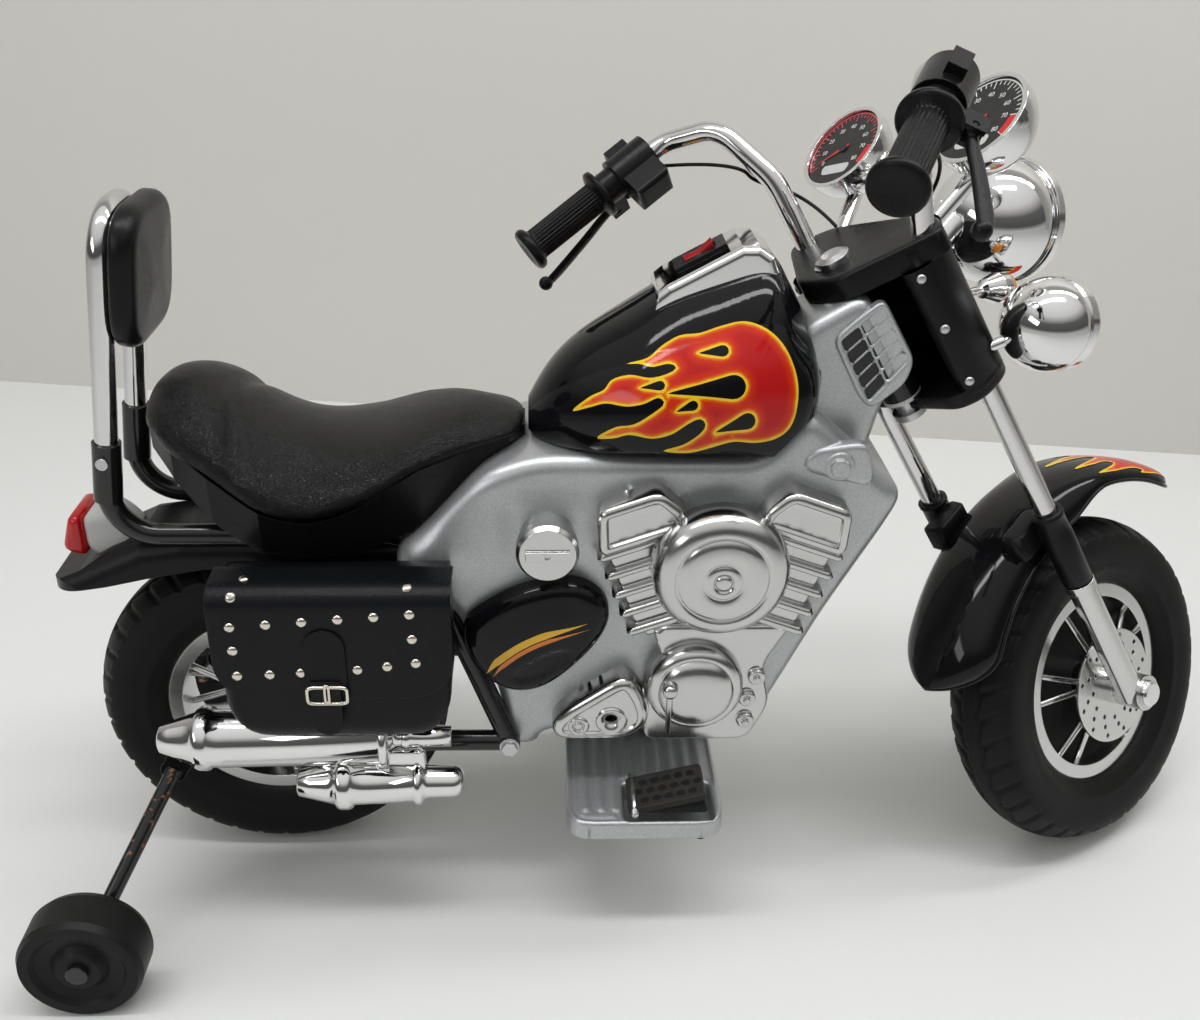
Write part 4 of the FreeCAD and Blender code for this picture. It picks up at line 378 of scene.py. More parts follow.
# %% Pebbled grain
pebble, given, out = effect("pebbled_grain", {"Scale": 500.0, "Creases": 40.0}, ["Height", "Valley"])
here = spot(pebble)
wander = add(pebble, "TexNoise", None, Vector=here, Scale=given["Creases"], Detail=3.0).outputs[0]
cells = add(pebble, "TexVoronoi", dict(feature="DISTANCE_TO_EDGE"), Vector=here, Scale=given["Scale"])
pebbles = ranged(pebble, cells.outputs[0], 0.0, 0.28, 0.0, 1.0)
pebble.links.new(calc(pebble, "ADD", pebbles, calc(pebble, "MULTIPLY", wander, 1.4)), out["Height"])
pebble.links.new(calc(pebble, "SUBTRACT", 1.0, pebbles), out["Valley"])

# %% Paint flakes
flakes, given, out = effect("paint_flakes", {"Scale": 2200.0}, ["Shade"])
specks = add(flakes, "TexVoronoi", None, Vector=spot(flakes), Scale=given["Scale"]).outputs["Color"]
flakes.links.new(add(flakes, "SeparateColor", None, Color=specks).outputs[0], out["Shade"])

# %% Settled dust and painted sheen
dust_and_sheen, given, out = effect("dust_and_painted_sheen", {"Scale": 30.0, "Amount": 0.3}, ["Mask"])
# Upward faces get paler: settled dust, and a painted sheen of the light from above.
facing = add(dust_and_sheen, "SeparateXYZ", None, Vector=add(dust_and_sheen, "NewGeometry").outputs["Normal"]).outputs["Z"]
lying = calc(dust_and_sheen, "POWER", ranged(dust_and_sheen, facing, 0.1, 1.0, 0.0, 1.0), 1.6)
speckle = add(dust_and_sheen, "TexNoise", None, Vector=spot(dust_and_sheen), Scale=given["Scale"], Detail=8.0, Roughness=0.7)
clumps = ranged(dust_and_sheen, speckle.outputs[0], 0.35, 0.75, 0.2, 1.0)
dust_and_sheen.links.new(calc(dust_and_sheen, "MULTIPLY", calc(dust_and_sheen, "MULTIPLY", lying, clumps), given["Amount"]), out["Mask"])

# %% Chipped patches
chips, given, out = effect("chipped_patches", {"Scale": 60.0, "Level": 0.62}, ["Mask"])
blots = add(chips, "TexNoise", None, Vector=spot(chips), Scale=given["Scale"], Detail=9.0, Roughness=0.7)
upper = calc(chips, "ADD", given["Level"], 0.03)
chips.links.new(ranged(chips, blots.outputs[0], given["Level"], upper, 0.0, 1.0), out["Mask"])
print("effects:", len(bpy.data.node_groups))

# %% [markdown]
# ## Finishes
# Each finish starts from plain numbers on the shader itself, and nodes then vary what varies on the real
# surface: gloss, a little colour, and the relief.


# %% Finish maker
def finish(name, colour, roughness=0.5, metallic=0.0, **sockets):
    """A material with a Principled shader and its plain values set; returns it with its tree and shader."""
    material = bpy.data.materials.new(name)
    material.use_nodes = True
    tree = material.node_tree
    shader = tree.nodes["Principled BSDF"]
    shader.inputs["Base Color"].default_value = (*colour, 1.0)
    shader.inputs["Roughness"].default_value = roughness
    shader.inputs["Metallic"].default_value = metallic
    for key, value in sockets.items():
        shader.inputs[key.replace("_", " ")].default_value = value
    return material, tree, shader


def relief(tree, shader, height, strength, distance, edge=0.0008):
    """Bump from a height, laid over softened edges; returns the mask of the edges."""
    ends = use(tree, soft_edge, Radius=edge)
    bump = add(tree, "Bump", None, Strength=strength, Distance=distance, Height=height,
               Normal=ends["Normal"])
    tree.links.new(bump.outputs[0], shader.inputs["Normal"])
    return ends["Edge"]


def noise(tree, scale, detail=2.0):
    """Soft noise on object coordinates."""
    return add(tree, "TexNoise", None, Vector=spot(tree), Scale=scale, Detail=detail).outputs[0]


def gloss(tree, shader, scale, least, most):
    """Roughness that varies between two values as handling leaves it."""
    marks = use(tree, handled, Scale=scale, Least=least, Most=most)
    tree.links.new(marks["Gloss"], shader.inputs["Roughness"])


def tint(tree, shader, share, first, second):
    """Base colour mixed from two colours."""
    tree.links.new(blended(tree, share, first, second), shader.inputs["Base Color"])


def faint(tree, mask, strength):
    """A mask at part of its strength."""
    return calc(tree, "MULTIPLY", mask, strength)


def scaled(colour, factor, rise=0.0):
    """A colour made paler or darker."""
    return tuple(min(1.0, factor * c + rise) for c in colour)


print("finish helpers ready")


# %% Gloss black mouldings
def black_moulding(name, colour, least, most, coat, grain, dust_and_sheen_amount):
    """Black plastic: gloss by handling, a faint mould texture, edges paler from rubbing and a painted
    highlight, and dust with a painted sheen on top.
    """
    material, tree, shader = finish(name, colour, Coat_Weight=coat, Coat_Roughness=0.04, IOR=1.42,
                                    Specular_IOR_Level=0.24)
    gloss(tree, shader, 9.0, least, most)
    edge = relief(tree, shader, noise(tree, grain), 0.06 if coat else 0.25, 0.0004, 0.0012)
    # Paler edges are rubbing and a painted highlight; paler upward faces are dust and a painted sheen.
    rubbed_and_highlit = blended(tree, faint(tree, edge, 0.3), colour, (0.035, 0.035, 0.036))
    tint(tree, shader, use(tree, dust_and_sheen, Scale=26.0, Amount=dust_and_sheen_amount)["Mask"], rubbed_and_highlit, (0.30, 0.28, 0.25))
    return material


gloss_black = black_moulding("gloss_black", (0.004, 0.004, 0.005), 0.05, 0.12, 0.12, 260.0, 0.012)
satin_black = black_moulding("satin_black", (0.005, 0.005, 0.006), 0.22, 0.36, 0.0, 1400.0, 0.02)
soft_black = black_moulding("soft_black", (0.010, 0.010, 0.011), 0.36, 0.50, 0.0, 900.0, 0.03)
print("black finishes made")

# %% Silver paint
silver, tree, shader = finish("silver_paint", (0.42, 0.43, 0.44), 0.36, 0.7)
gloss(tree, shader, 7.0, 0.30, 0.44)
shade = use(tree, flakes, Scale=1800.0)["Shade"]
skin = calc(tree, "ADD", faint(tree, shade, 0.35), noise(tree, 130.0))
edge = relief(tree, shader, skin, 0.12, 0.0005, 0.0022)
body_tone = blended(tree, shade, (0.39, 0.40, 0.41), (0.54, 0.55, 0.56))
# Paler edges here are a painted highlight.
tint(tree, shader, faint(tree, edge, 0.45), body_tone, (0.62, 0.63, 0.64))
print("silver paint made")


# %% Plated plastic and plated tube
def plating(name, colour, least, most, wave, ripple):
    """Bright plating: a metal shader whose skin waves a little, as plated plastic and bent tube do."""
    material, tree, shader = finish(name, colour, 0.06, 1.0)
    gloss(tree, shader, 10.0, least, most)
    edge = relief(tree, shader, noise(tree, wave, 3.0), ripple, 0.002, 0.0012)
    tone = blended(tree, noise(tree, 5.0, 4.0), colour, scaled(colour, 0.94))
    # Near-white edges are a painted highlight.
    tint(tree, shader, faint(tree, edge, 0.5), tone, (0.95, 0.95, 0.95))
    return material


plated = plating("plated_plastic", (0.80, 0.80, 0.80), 0.03, 0.10, 22.0, 0.06)
plated_satin = plating("plated_satin", (0.66, 0.66, 0.65), 0.12, 0.24, 18.0, 0.08)
engine_plating = plating("engine_plating", (0.60, 0.60, 0.59), 0.13, 0.27, 26.0, 0.16)
plated_tube = plating("plated_tube", (0.70, 0.69, 0.69), 0.04, 0.12, 40.0, 0.03)
bare_steel = plating("zinc_steel", (0.55, 0.55, 0.56), 0.24, 0.40, 300.0, 0.10)
nickel = plating("nickel_studs", (0.74, 0.69, 0.60), 0.10, 0.22, 200.0, 0.05)
print("plated finishes made")


# %% Frame paint and rusted arm
def steel_paint(name, chip_level):
    """Black gloss paint on steel, with rust where it has chipped."""
    material, tree, shader = finish(name, (0.009, 0.009, 0.009), IOR=1.5)
    chip = use(tree, chips, Scale=26.0, Level=chip_level)["Mask"]
    rust = blended(tree, noise(tree, 90.0, 6.0), (0.20, 0.065, 0.02), (0.42, 0.17, 0.06))
    edge = relief(tree, shader, calc(tree, "SUBTRACT", noise(tree, 160.0), chip), 0.10, 0.0005, 0.0015)
    # The coat is paler at its edges: a painted highlight.
    coat = blended(tree, faint(tree, edge, 0.3), (0.009, 0.009, 0.009), (0.05, 0.05, 0.05))
    tint(tree, shader, chip, coat, rust)
    tree.links.new(ranged(tree, chip, 0.0, 1.0, 0.14, 0.75), shader.inputs["Roughness"])
    return material


frame_paint = steel_paint("frame_paint", 0.95)
rusted_paint = steel_paint("rusted_paint", 0.56)
print("steel paints made")


# %% Rubbers
def rubber(name, colour, least, most, grain, dust_and_sheen_amount):
    """Black rubber: dull, finely grained, greyer on upward faces from dust and a painted sheen, and at edges
    from rubbing and a painted highlight.
    """
    material, tree, shader = finish(name, colour, 0.6, IOR=1.42, Specular_IOR_Level=0.18)
    gloss(tree, shader, 16.0, least, most)
    edge = relief(tree, shader, noise(tree, grain, 5.0), 0.3, 0.0004)
    grey = blended(tree, faint(tree, noise(tree, 14.0, 6.0), 0.6), colour, (0.013, 0.013, 0.013))
    # Greyer edges are rubbing and a painted highlight; greyer upward faces are dust and a painted sheen.
    rubbed_and_highlit = blended(tree, faint(tree, edge, 0.4), grey, (0.028, 0.027, 0.026))
    tint(tree, shader, use(tree, dust_and_sheen, Scale=40.0, Amount=dust_and_sheen_amount)["Mask"], rubbed_and_highlit, (0.22, 0.21, 0.19))
    return material


tyre_rubber = rubber("tyre_rubber", (0.006, 0.006, 0.006), 0.42, 0.58, 700.0, 0.03)
grip_rubber = rubber("grip_rubber", (0.004, 0.004, 0.005), 0.24, 0.36, 900.0, 0.012)
wheel_plastic = rubber("wheel_plastic", (0.008, 0.008, 0.008), 0.36, 0.50, 500.0, 0.05)
print("rubbers made")


# %% Vinyl and leather
def hide(name, colour, scale, depth, least, most, creases):
    """Grained leather or vinyl: rounded pebbles, darker in their valleys, glossier where it is sat on."""
    material, tree, shader = finish(name, colour, 0.4, IOR=1.46, Specular_IOR_Level=0.20)
    gloss(tree, shader, 11.0, least, most)
    grain = use(tree, pebble, Scale=scale, Creases=creases)
    relief(tree, shader, grain["Height"], depth, 0.0007)
    wear = ranged(tree, noise(tree, 7.0, 4.0), 0.42, 0.75, 0.0, 0.3)
    worn = blended(tree, wear, colour, scaled(colour, 1.8, 0.001))
    tint(tree, shader, faint(tree, grain["Valley"], 0.5), worn, (0.003, 0.003, 0.003))
    return material


seat_vinyl = hide("seat_vinyl", (0.004, 0.004, 0.0045), 620.0, 0.42, 0.20, 0.30, 34.0)
bag_leather = hide("bag_leather", (0.004, 0.0045, 0.006), 1100.0, 0.20, 0.22, 0.36, 26.0)
strap_leather = hide("strap_leather", (0.004, 0.004, 0.0045), 1000.0, 0.30, 0.28, 0.40, 60.0)
print("vinyl and leathers made")

# %% Lamps, lenses and prints
red_lens, tree, shader = finish("red_lens", (0.60, 0.008, 0.012), 0.12, Transmission_Weight=0.35, IOR=1.49)
ribs = add(tree, "TexWave", None, Vector=spot(tree), Scale=60.0, Distortion=0.2).outputs[1]
relief(tree, shader, ribs, 0.15, 0.0008)
red_rocker, tree, shader = finish("red_rocker", (0.42, 0.012, 0.020), 0.14, Transmission_Weight=0.25,
                                  IOR=1.49)
gloss(tree, shader, 30.0, 0.10, 0.24)
relief(tree, shader, noise(tree, 260.0), 0.08, 0.0004, 0.0012)
amber_lens, tree, shader = finish("amber_lens", (0.90, 0.30, 0.015), 0.14, Transmission_Weight=0.3, IOR=1.49)
relief(tree, shader, noise(tree, 420.0), 0.2, 0.0006)
clear_lens, tree, shader = finish("clear_lens", (0.96, 0.97, 0.97), 0.03, Transmission_Weight=1.0, IOR=1.46)
flutes = add(tree, "TexWave", None, Vector=spot(tree), Scale=45.0).outputs[1]
relief(tree, shader, flutes, 0.25, 0.001)
nylon, tree, shader = finish("white_nylon", (0.74, 0.73, 0.69), 0.45, IOR=1.5)
relief(tree, shader, noise(tree, 300.0), 0.1, 0.0004)
gloss(tree, shader, 20.0, 0.36, 0.55)
dial_black, tree, shader = finish("dial_black", (0.012, 0.012, 0.013), 0.5)
gloss(tree, shader, 40.0, 0.3, 0.5)
relief(tree, shader, noise(tree, 600.0), 0.05, 0.0003)


def ink(name, colour):
    """A printed colour: its tone varies a little, as ink on plastic does."""
    material, tree, shader = finish(name, colour, 0.35, IOR=1.5)
    gloss(tree, shader, 30.0, 0.27, 0.43)
    tint(tree, shader, noise(tree, 120.0, 5.0), scaled(colour, 0.9), scaled(colour, 1.06))
    return material


white_ink = ink("white_ink", (0.80, 0.80, 0.78))
rose_ink = ink("rose_ink", (0.72, 0.10, 0.12))
red_ink = ink("red_ink", (0.60, 0.012, 0.015))
plate_ink = ink("plate_ink", (0.52, 0.53, 0.52))
print("finishes:", len(bpy.data.materials))

# %% [markdown]
# ## Finishes on the solids
# Every solid gets its finish here. Those that later cells stand new surfaces in for are hidden then.

# %% Dress the solids
DRESS = {
    gloss_black: ["fuel_tank", "front_fender", "side_covers"],
    satin_black: ["fork_yoke", "control_housings", "brake_lever_right", "brake_lever_left", "switch_bezel",
                  "rear_fender", "backrest_pad", "seat_base"],
    soft_black: ["gearbox_case", "battery", "accelerator_pedal"],
    silver: ["body_shell_right", "body_shell_left", "foot_platform_right", "foot_platform_left"],
    plated: ["tank_console", "exhaust", "headlight_bowl", "passing_lamps", "gauge_bowls", "front_axle",
             "tail_lamp_housing"],
    engine_plating: ["engine_covers", "air_cleaners", "ignition_caps"],
    plated_satin: ["rear_rim", "front_rim", "brake_disc", "fork_lowers"],
    plated_tube: ["sissy_bar", "fork_stanchions", "handlebars"],
    bare_steel: ["rear_axle", "steering_stem", "chassis_bolts", "drive_motor", "drive_pinion"],
    frame_paint: ["main_frame"],
    rusted_paint: ["stabiliser_arms"],
    tyre_rubber: ["rear_tyre", "front_tyre"],
    wheel_plastic: ["stabiliser_wheel_right", "stabiliser_wheel_left"],
    grip_rubber: ["hand_grips", "control_wire_right", "control_wire_left"],
    seat_vinyl: ["seat_cushion"],
    bag_leather: ["saddlebags", "bag_flap_right", "bag_flap_left"],
    red_lens: ["tail_lamp_lens"],
    red_rocker: ["rocker_switch"],
    amber_lens: ["indicator_lenses"],
    clear_lens: ["lamp_lenses"],
    nylon: ["drive_gear", "headset_bushes"],
    dial_black: ["gauge_faces"],
}
for material, names in DRESS.items():
    for name in names:
        nodes[name].data.materials.clear()
        nodes[name].data.materials.append(material)
for wire in wires:
    wire.data.materials.append(grip_rubber)
undressed = set(nodes) - {name for names in DRESS.values() for name in names}
print("dressed", len(nodes) - len(undressed), "solids, left:", sorted(undressed))

# %% [markdown]
# ## Seat cushion
# The cushion is foam under a stretched cover. A tube is lofted through its stations first, then filled like
# a balloon with a short cloth simulation, so that the cover rounds out as foam pushes it. The seam across
# the seat, where the hump begins, is pulled in afterwards.

# %% Lofted cushion
SEAT_REAR, SEAT_LENGTH, SEAT_HALF, SEAT_LOW, SEAT_RISE = -73.0, 310.0, 106.0, 388.0, 110.0
SEAT_STATIONS = np.array([(0.0, 0.40, 0.62, 0.82), (0.07, 0.67, 0.48, 0.95), (0.17, 0.88, 0.33, 0.90),
                          (0.30, 0.98, 0.08, 0.60), (0.43, 1.0, 0.0, 0.47), (0.57, 0.97, 0.13, 0.475),
                          (0.72, 0.80, 0.36, 0.59), (0.86, 0.60, 0.46, 0.67), (0.96, 0.42, 0.53, 0.655),
                          (1.0, 0.26, 0.55, 0.61)])
SEAT_SECTION = np.array([(0, 0), (0.5, 0), (0.84, 0.01), (0.96, 0.12), (1, 0.31), (0.92, 0.54), (0.75, 0.72),
                         (0.4, 0.93), (0, 1), (-0.4, 0.93), (-0.75, 0.72), (-0.92, 0.54), (-1, 0.31),
                         (-0.96, 0.12), (-0.84, 0.01), (-0.5, 0)])


def lofted_seat(runs, steps, tight):
    """Sections set along the seat: each is the cushion outline times the half width and the rise there,
    and the first and last section shrink to a point so that the tube is closed."""
    along, wide, low, high = curve_through(SEAT_STATIONS, runs).T
    ring = curve_through(SEAT_SECTION, steps, closed=True)
    x = SEAT_REAR + along * SEAT_LENGTH
    bottom = SEAT_LOW + low * SEAT_RISE
    rise = (high - low) * SEAT_RISE
    grid = np.empty((len(x), len(ring), 3))
    grid[..., 0] = x[:, None]
    grid[..., 1] = tight * SEAT_HALF * wide[:, None] * ring[None, :, 0]
    grid[..., 2] = (bottom + rise / 2)[:, None] + tight * rise[:, None] * (ring[None, :, 1] - 0.5)
    ends = [np.broadcast_to(grid[k].mean(0), grid[k].shape)[None] for k in (0, -1)]
    return np.concatenate([ends[0], grid, ends[1]]) * MM


print("seat stations", len(SEAT_STATIONS))


# %% Filled cushion
def filled(piece, voxel, pressure, most):
    """Cushion blown up as cloth for twenty frames without gravity, each point moved at most a given way."""
    applied(modified(piece, "REMESH", mode="VOXEL", voxel_size=voxel, use_smooth_shade=True))
    before = coordinates(piece.data)
    cloth = piece.modifiers.new("fill", "CLOTH")
    cloth.settings.quality = 5
    cloth.settings.use_pressure = True
    cloth.settings.uniform_pressure_force = pressure
    cloth.settings.effector_weights.gravity = 0.0
    cloth.point_cache.frame_start, cloth.point_cache.frame_end = 1, 20
    for step in range(1, 21):
        scene.frame_set(step)
    graph = bpy.context.evaluated_depsgraph_get()
    blown = bpy.data.meshes.new_from_object(piece.evaluated_get(graph))
    move = coordinates(blown) - before
    bpy.data.meshes.remove(blown)
    piece.modifiers.remove(cloth)
    scene.frame_set(1)
    far = np.linalg.norm(move, axis=1, keepdims=True)
    move *= np.minimum(1.0, most / np.maximum(far, 1e-9))
    piece.data.vertices.foreach_set("co", (before + move).ravel())
    piece.data.update()
    print(piece.name, "moved at most", round(float(far.max() / MM), 1), "mm by its filling")
    return piece


seat = surface("seat", lofted_seat(8, 6, 0.95), "chassis", seat_vinyl, round_columns=True)
filled(seat, 0.005, 4.0, 0.003)
applied(modified(seat, "SMOOTH", factor=0.5, iterations=12))
print("cushion", len(seat.data.vertices), "points")

# %% Seam of the seat
SEAM_X, SEAM_BOW, SEAM_FOOT, SEAM_FADE = -0.004, 0.020, 0.425, 0.03
CREASE_REACH, CREASE_DEPTH, PUFF_REACH, PUFF_RISE = 0.007, 0.0048, 0.026, 0.0014
spots = coordinates(seat.data)
outward = coordinates(seat.data, "normal")
across = spots[:, 1] / (SEAT_HALF * MM)
away = spots[:, 0] - (SEAM_X + SEAM_BOW * across ** 2)
upper_part = np.clip((spots[:, 2] - SEAM_FOOT) / SEAM_FADE, 0, 1)
crease = np.exp(-(away / CREASE_REACH) ** 2) * upper_part
puff = np.exp(-(away / PUFF_REACH) ** 2) * upper_part
shift = PUFF_RISE * puff - CREASE_DEPTH * crease
seat.data.vertices.foreach_set("co", (spots + outward * shift[:, None]).ravel())
modified(seat, "SUBSURF", levels=1, render_levels=1)
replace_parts(seat, "seat_cushion")
print("seat", len(seat.data.vertices), "points")

# %% [markdown]
# ## Saddlebags
# Each bag is a pouch of stiff leather with rounded lower corners, open at the top under its flap. A pouch
# could be cut and stitched from panels. As a surface it is a stack of rounded rectangles that shrink
# towards the floor, and Solidify gives the leather its thickness.

# %% Pouches
BAG_MIDDLE, BAG_HALF_LENGTH, BAG_BACK, BAG_DEPTH = 84.0, 94.0, 80.0, 70.0
BAG_FLOOR, BAG_TOP, BAG_SAG, BAG_POWER = 227.0, 360.5, 16.0, 0.24
BAG_CORNER, BAG_EDGE, LEATHER_HALF = 42.0, 20.0, 1.2
ROOF_BACK, ROOF_WIDTH, ROOF_LOW, ROOF_RISE, ROOF_ARCH = 81.5, 31.5, 350.5, 8.6, 1.2


def floor_corner(up, r):
    """How far a wall stands back at a height above the floor, along a quarter circle of radius r."""
    return r - np.sqrt(np.clip(r ** 2 - np.clip(r - up, 0, r) ** 2, 0, None))


def pouch(rows, columns):
    """Stack of superellipses: the half length and half depth follow quarter circles near the floor, the
    front bulges a little, and the height of the brim drops towards the back."""
    turn = round_turn(columns)
    rise = np.linspace(0, 1, rows) ** 1.4
    up = rise * (BAG_TOP - BAG_FLOOR)
    long_half = BAG_HALF_LENGTH - LEATHER_HALF - floor_corner(up, BAG_CORNER)
    deep_half = BAG_DEPTH / 2 - LEATHER_HALF - floor_corner(up, BAG_EDGE)
    bulge = 0.64 * np.sin(np.pi * rise) ** 2
    x = BAG_MIDDLE + long_half[:, None] * squared(np.cos(turn), BAG_POWER)
    y = BAG_BACK + BAG_DEPTH / 2 + (deep_half + bulge)[:, None] * squared(np.sin(turn), BAG_POWER)
    brim = BAG_TOP - np.clip(112 - y, 0, 32) * 10 / 32
    floor = BAG_FLOOR - BAG_SAG * smooth_step(y, 127, 142)
    z = floor + 1.3 + rise[:, None] * (brim - floor - 2.5)
    grid = np.stack([x, -y, z], -1)
    pole = np.broadcast_to([BAG_MIDDLE, -BAG_BACK - BAG_DEPTH / 2, BAG_FLOOR + 1.3], grid[0].shape)
    inner = 0.5 * (grid[0] + pole)
    return np.concatenate([pole[None], inner[None], grid]) * MM


def roof(rows, columns):
    """Fixed strip of the bag's top: straight from the back edge up to the flap's hem, a little arched."""
    s, t = np.meshgrid(np.linspace(0, 1, rows), np.linspace(-1, 1, columns), indexing="ij")
    x = BAG_MIDDLE + t * (BAG_HALF_LENGTH - 3)
    y = ROOF_BACK + s * ROOF_WIDTH
    z = ROOF_LOW + s * ROOF_RISE + ROOF_ARCH * np.sin(np.pi * s)
    return np.stack([x, -y, z], -1) * MM


bag = surface("saddlebag_right", pouch(26, 96), "chassis", bag_leather, round_columns=True)
modified(bag, "SOLIDIFY", thickness=0.0025, offset=-1.0)
bag_roof = surface("saddlebag_roof_right", roof(8, 24), "chassis", bag_leather)
modified(bag_roof, "SOLIDIFY", thickness=0.0024, offset=0.0)
for part in (bag, bag_roof):
    applied(part)
    tidy_normals(part)
    paired(part, "saddlebags")
print("pouch", len(bag.data.vertices), "points")

# %% [markdown]
# ## Flaps
# The flap is one sheet that lies over the top, bends over the front edge and hangs with rounded corners.
# Rows of nickel studs, a strap patch and a buckle dress it, and they all swing with it.

# %% Flap sheets
FLAP_OVER, FLAP_BEND, FLAP_DROP, FLAP_HALF, FLAP_CORNER = 34.0, 14.0, 84.5, 95.5, 34.0
FLAP_TOP, FLAP_HINGE, FLAP_FRONT = 363.0, 112.4, 152.9
FLAP_TURNED = FLAP_OVER + FLAP_BEND * np.pi / 2


def flap_point(x, s, lift=0.0):
    """Point of the right flap, in metres, lifted off its face by some millimetres. Along its cross line, s
    millimetres from the hinge, it is level over the top, a quarter circle over the edge, then hangs."""
    angle = np.clip((s - FLAP_OVER) / FLAP_BEND, 0, np.pi / 2)
    level = np.clip(s, 0, FLAP_OVER) * (FLAP_FRONT - FLAP_BEND - FLAP_HINGE) / FLAP_OVER
    y = FLAP_HINGE + level + FLAP_BEND * np.sin(angle)
    z = FLAP_TOP - FLAP_BEND * (1 - np.cos(angle)) - np.clip(s - FLAP_TURNED, 0, None)
    return np.stack([x + 0 * s, -y - lift * np.sin(angle), z + lift * np.cos(angle)], -1) * MM


def flap_grid(rows, columns):
    """Sheet over the flap's cross line, whose half length shrinks along a quarter circle near its hem."""
    total = FLAP_TURNED + FLAP_DROP
    s = total * (1 - (1 - np.linspace(0, 1, rows)) ** 1.5)
    reach = np.clip(s - total + FLAP_CORNER, 0, FLAP_CORNER)
    half = FLAP_HALF - FLAP_CORNER + np.sqrt(FLAP_CORNER ** 2 - reach ** 2)
    t = np.linspace(-1, 1, columns)
    return flap_point(BAG_MIDDLE + half[:, None] * t, s[:, None] + 0 * t)


flap = surface("saddle_flap_right", flap_grid(40, 60), "bag_flap_right", bag_leather)
modified(flap, "SOLIDIFY", thickness=0.0028, offset=0.0)
modified(flap, "BEVEL", width=0.0008, segments=2, limit_method="ANGLE")
applied(flap)
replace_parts(flap, "bag_flap_right")
flap_left = mirrored("saddle_flap_left", flap, "bag_flap_left")
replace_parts(flap_left, "bag_flap_left")
print("flap", len(flap.data.vertices), "points")


# %% Studs
def domes(centres, axes, radius, height):
    """Spherical caps on given centres: rings shrink with the cosine while they rise with the sine."""
    rings, steps = 5, 14
    centres, axes = np.atleast_2d(centres), np.atleast_2d(axes)
    helper = np.where(np.abs(axes[:, :1]) > 0.8, [[0, 1, 0]], [[1, 0, 0]])
    first = unit(np.cross(axes, helper))
    second = np.cross(axes, first)
    rise = np.linspace(0, np.pi / 2, rings)
    turn = round_turn(steps)
    ring_x = np.cos(rise)[:, None] * np.cos(turn) * radius
    ring_y = np.cos(rise)[:, None] * np.sin(turn) * radius
    ring_z = np.sin(rise)[:, None] * np.ones(steps) * height
    points = (centres[:, None, None, :] + ring_x[None, ..., None] * first[:, None, None, :]
              + ring_y[None, ..., None] * second[:, None, None, :]
              + ring_z[None, ..., None] * axes[:, None, None, :])
    one = grid_faces(rings, steps, round_columns=True)
    faces = (one[None] + (np.arange(len(centres)) * rings * steps)[:, None, None]).reshape(-1, 4)
    return points.reshape(-1, 3), faces


def studs(name, places, body):
    """One mesh of nickel studs on the right flap at (x, s) places."""
    x, s = np.array(places, float).T
    foot_points = flap_point(x, s, 1.2)
    axes = unit(flap_point(x, s, 2.2) - foot_points)
    points, faces = domes(foot_points, axes, 4.3 * MM, 1.9 * MM)
    piece = new_piece(name, points, faces, body, nickel)
    tidy_normals(piece)
    return piece


def flap_run(z):
    """Length along the flap's cross line at a height on its hanging part."""
    return FLAP_TURNED + (FLAP_TOP - FLAP_BEND - z)


UPPER_STUDS = np.stack([np.linspace(6, 147, 6), np.linspace(333, 344, 6)], -1)
LOWER_STUDS = [(7, 287), (33, 288), (58, 289.5), (103, 292), (127, 295), (150, 298)]
SINGLE_STUDS = [(6, 311), (148, 321), (9, 359), (145, 366)]
stud_places = [(x, flap_run(z)) for x, z in (*UPPER_STUDS, *LOWER_STUDS, *SINGLE_STUDS)] + [(16, 24)]
paired(studs("flap_studs_right", stud_places, "bag_flap_right"), body="bag_flap_left")
print("studs", len(stud_places), "on each flap")


# %% Strap, buckle and tail
def strap(name, outline, lift, thick, body, material):
    """Leather strap on the flap: a straight run whose half width follows its end's round."""
    s0, s1, half, middle = outline
    s = np.linspace(s0, s1, 28)
    near = np.clip(half - np.abs(s - s0), 0, half)
    width = np.sqrt(np.clip(half ** 2 - near ** 2, 0.6, None))
    t = np.linspace(-1, 1, 9)
    grid = flap_point(middle + width[:, None] * t, s[:, None] + 0 * t, lift)
    piece = surface(name, grid, body, material)
    modified(piece, "SOLIDIFY", thickness=thick * MM, offset=1.0)
    modified(piece, "BEVEL", width=0.0006, segments=2, limit_method="ANGLE")
    return applied(piece)


def loop_frame(name, middle, s, half, tall, bar, lift, body, material):
    """Buckle: a round bar swept along a rounded rectangle on the flap's face."""
    turn, spin = round_turn(48), round_turn(10)
    px = squared(np.cos(turn), 0.35) * half
    ps = squared(np.sin(turn), 0.35) * tall
    grow = bar * np.cos(spin)
    grid_x = middle + px[:, None] * (1 + grow[None] / half)
    grid_s = s + ps[:, None] * (1 + grow[None] / tall)
    raised = lift + bar * np.sin(spin)[None] + 0 * px[:, None]
    grid = flap_point(grid_x, grid_s, raised)
    return surface(name, grid, body, material, round_rows=True, round_columns=True)


PATCH_LINE = (flap_run(331), flap_run(277), 16.5, 78.0)
TAIL_LINE = (flap_run(263) + 33, flap_run(283), 12.0, 77.0)
patch = strap("flap_patch_right", PATCH_LINE, 1.3, 2.2, "bag_flap_right", strap_leather)
tail = strap("flap_tail_right", TAIL_LINE, 2.6, 2.4, "bag_flap_right", strap_leather)
buckle = loop_frame("flap_buckle_right", 78.0, flap_run(270), 16.0, 8.0, 1.5, 5.0, "bag_flap_right", nickel)
prong = loop_frame("flap_prong_right", 78.0, flap_run(272), 1.6, 8.0, 1.2, 6.2, "bag_flap_right", nickel)
for part in (patch, tail, buckle, prong):
    paired(part, body="bag_flap_left")
print("straps and buckles on both flaps")

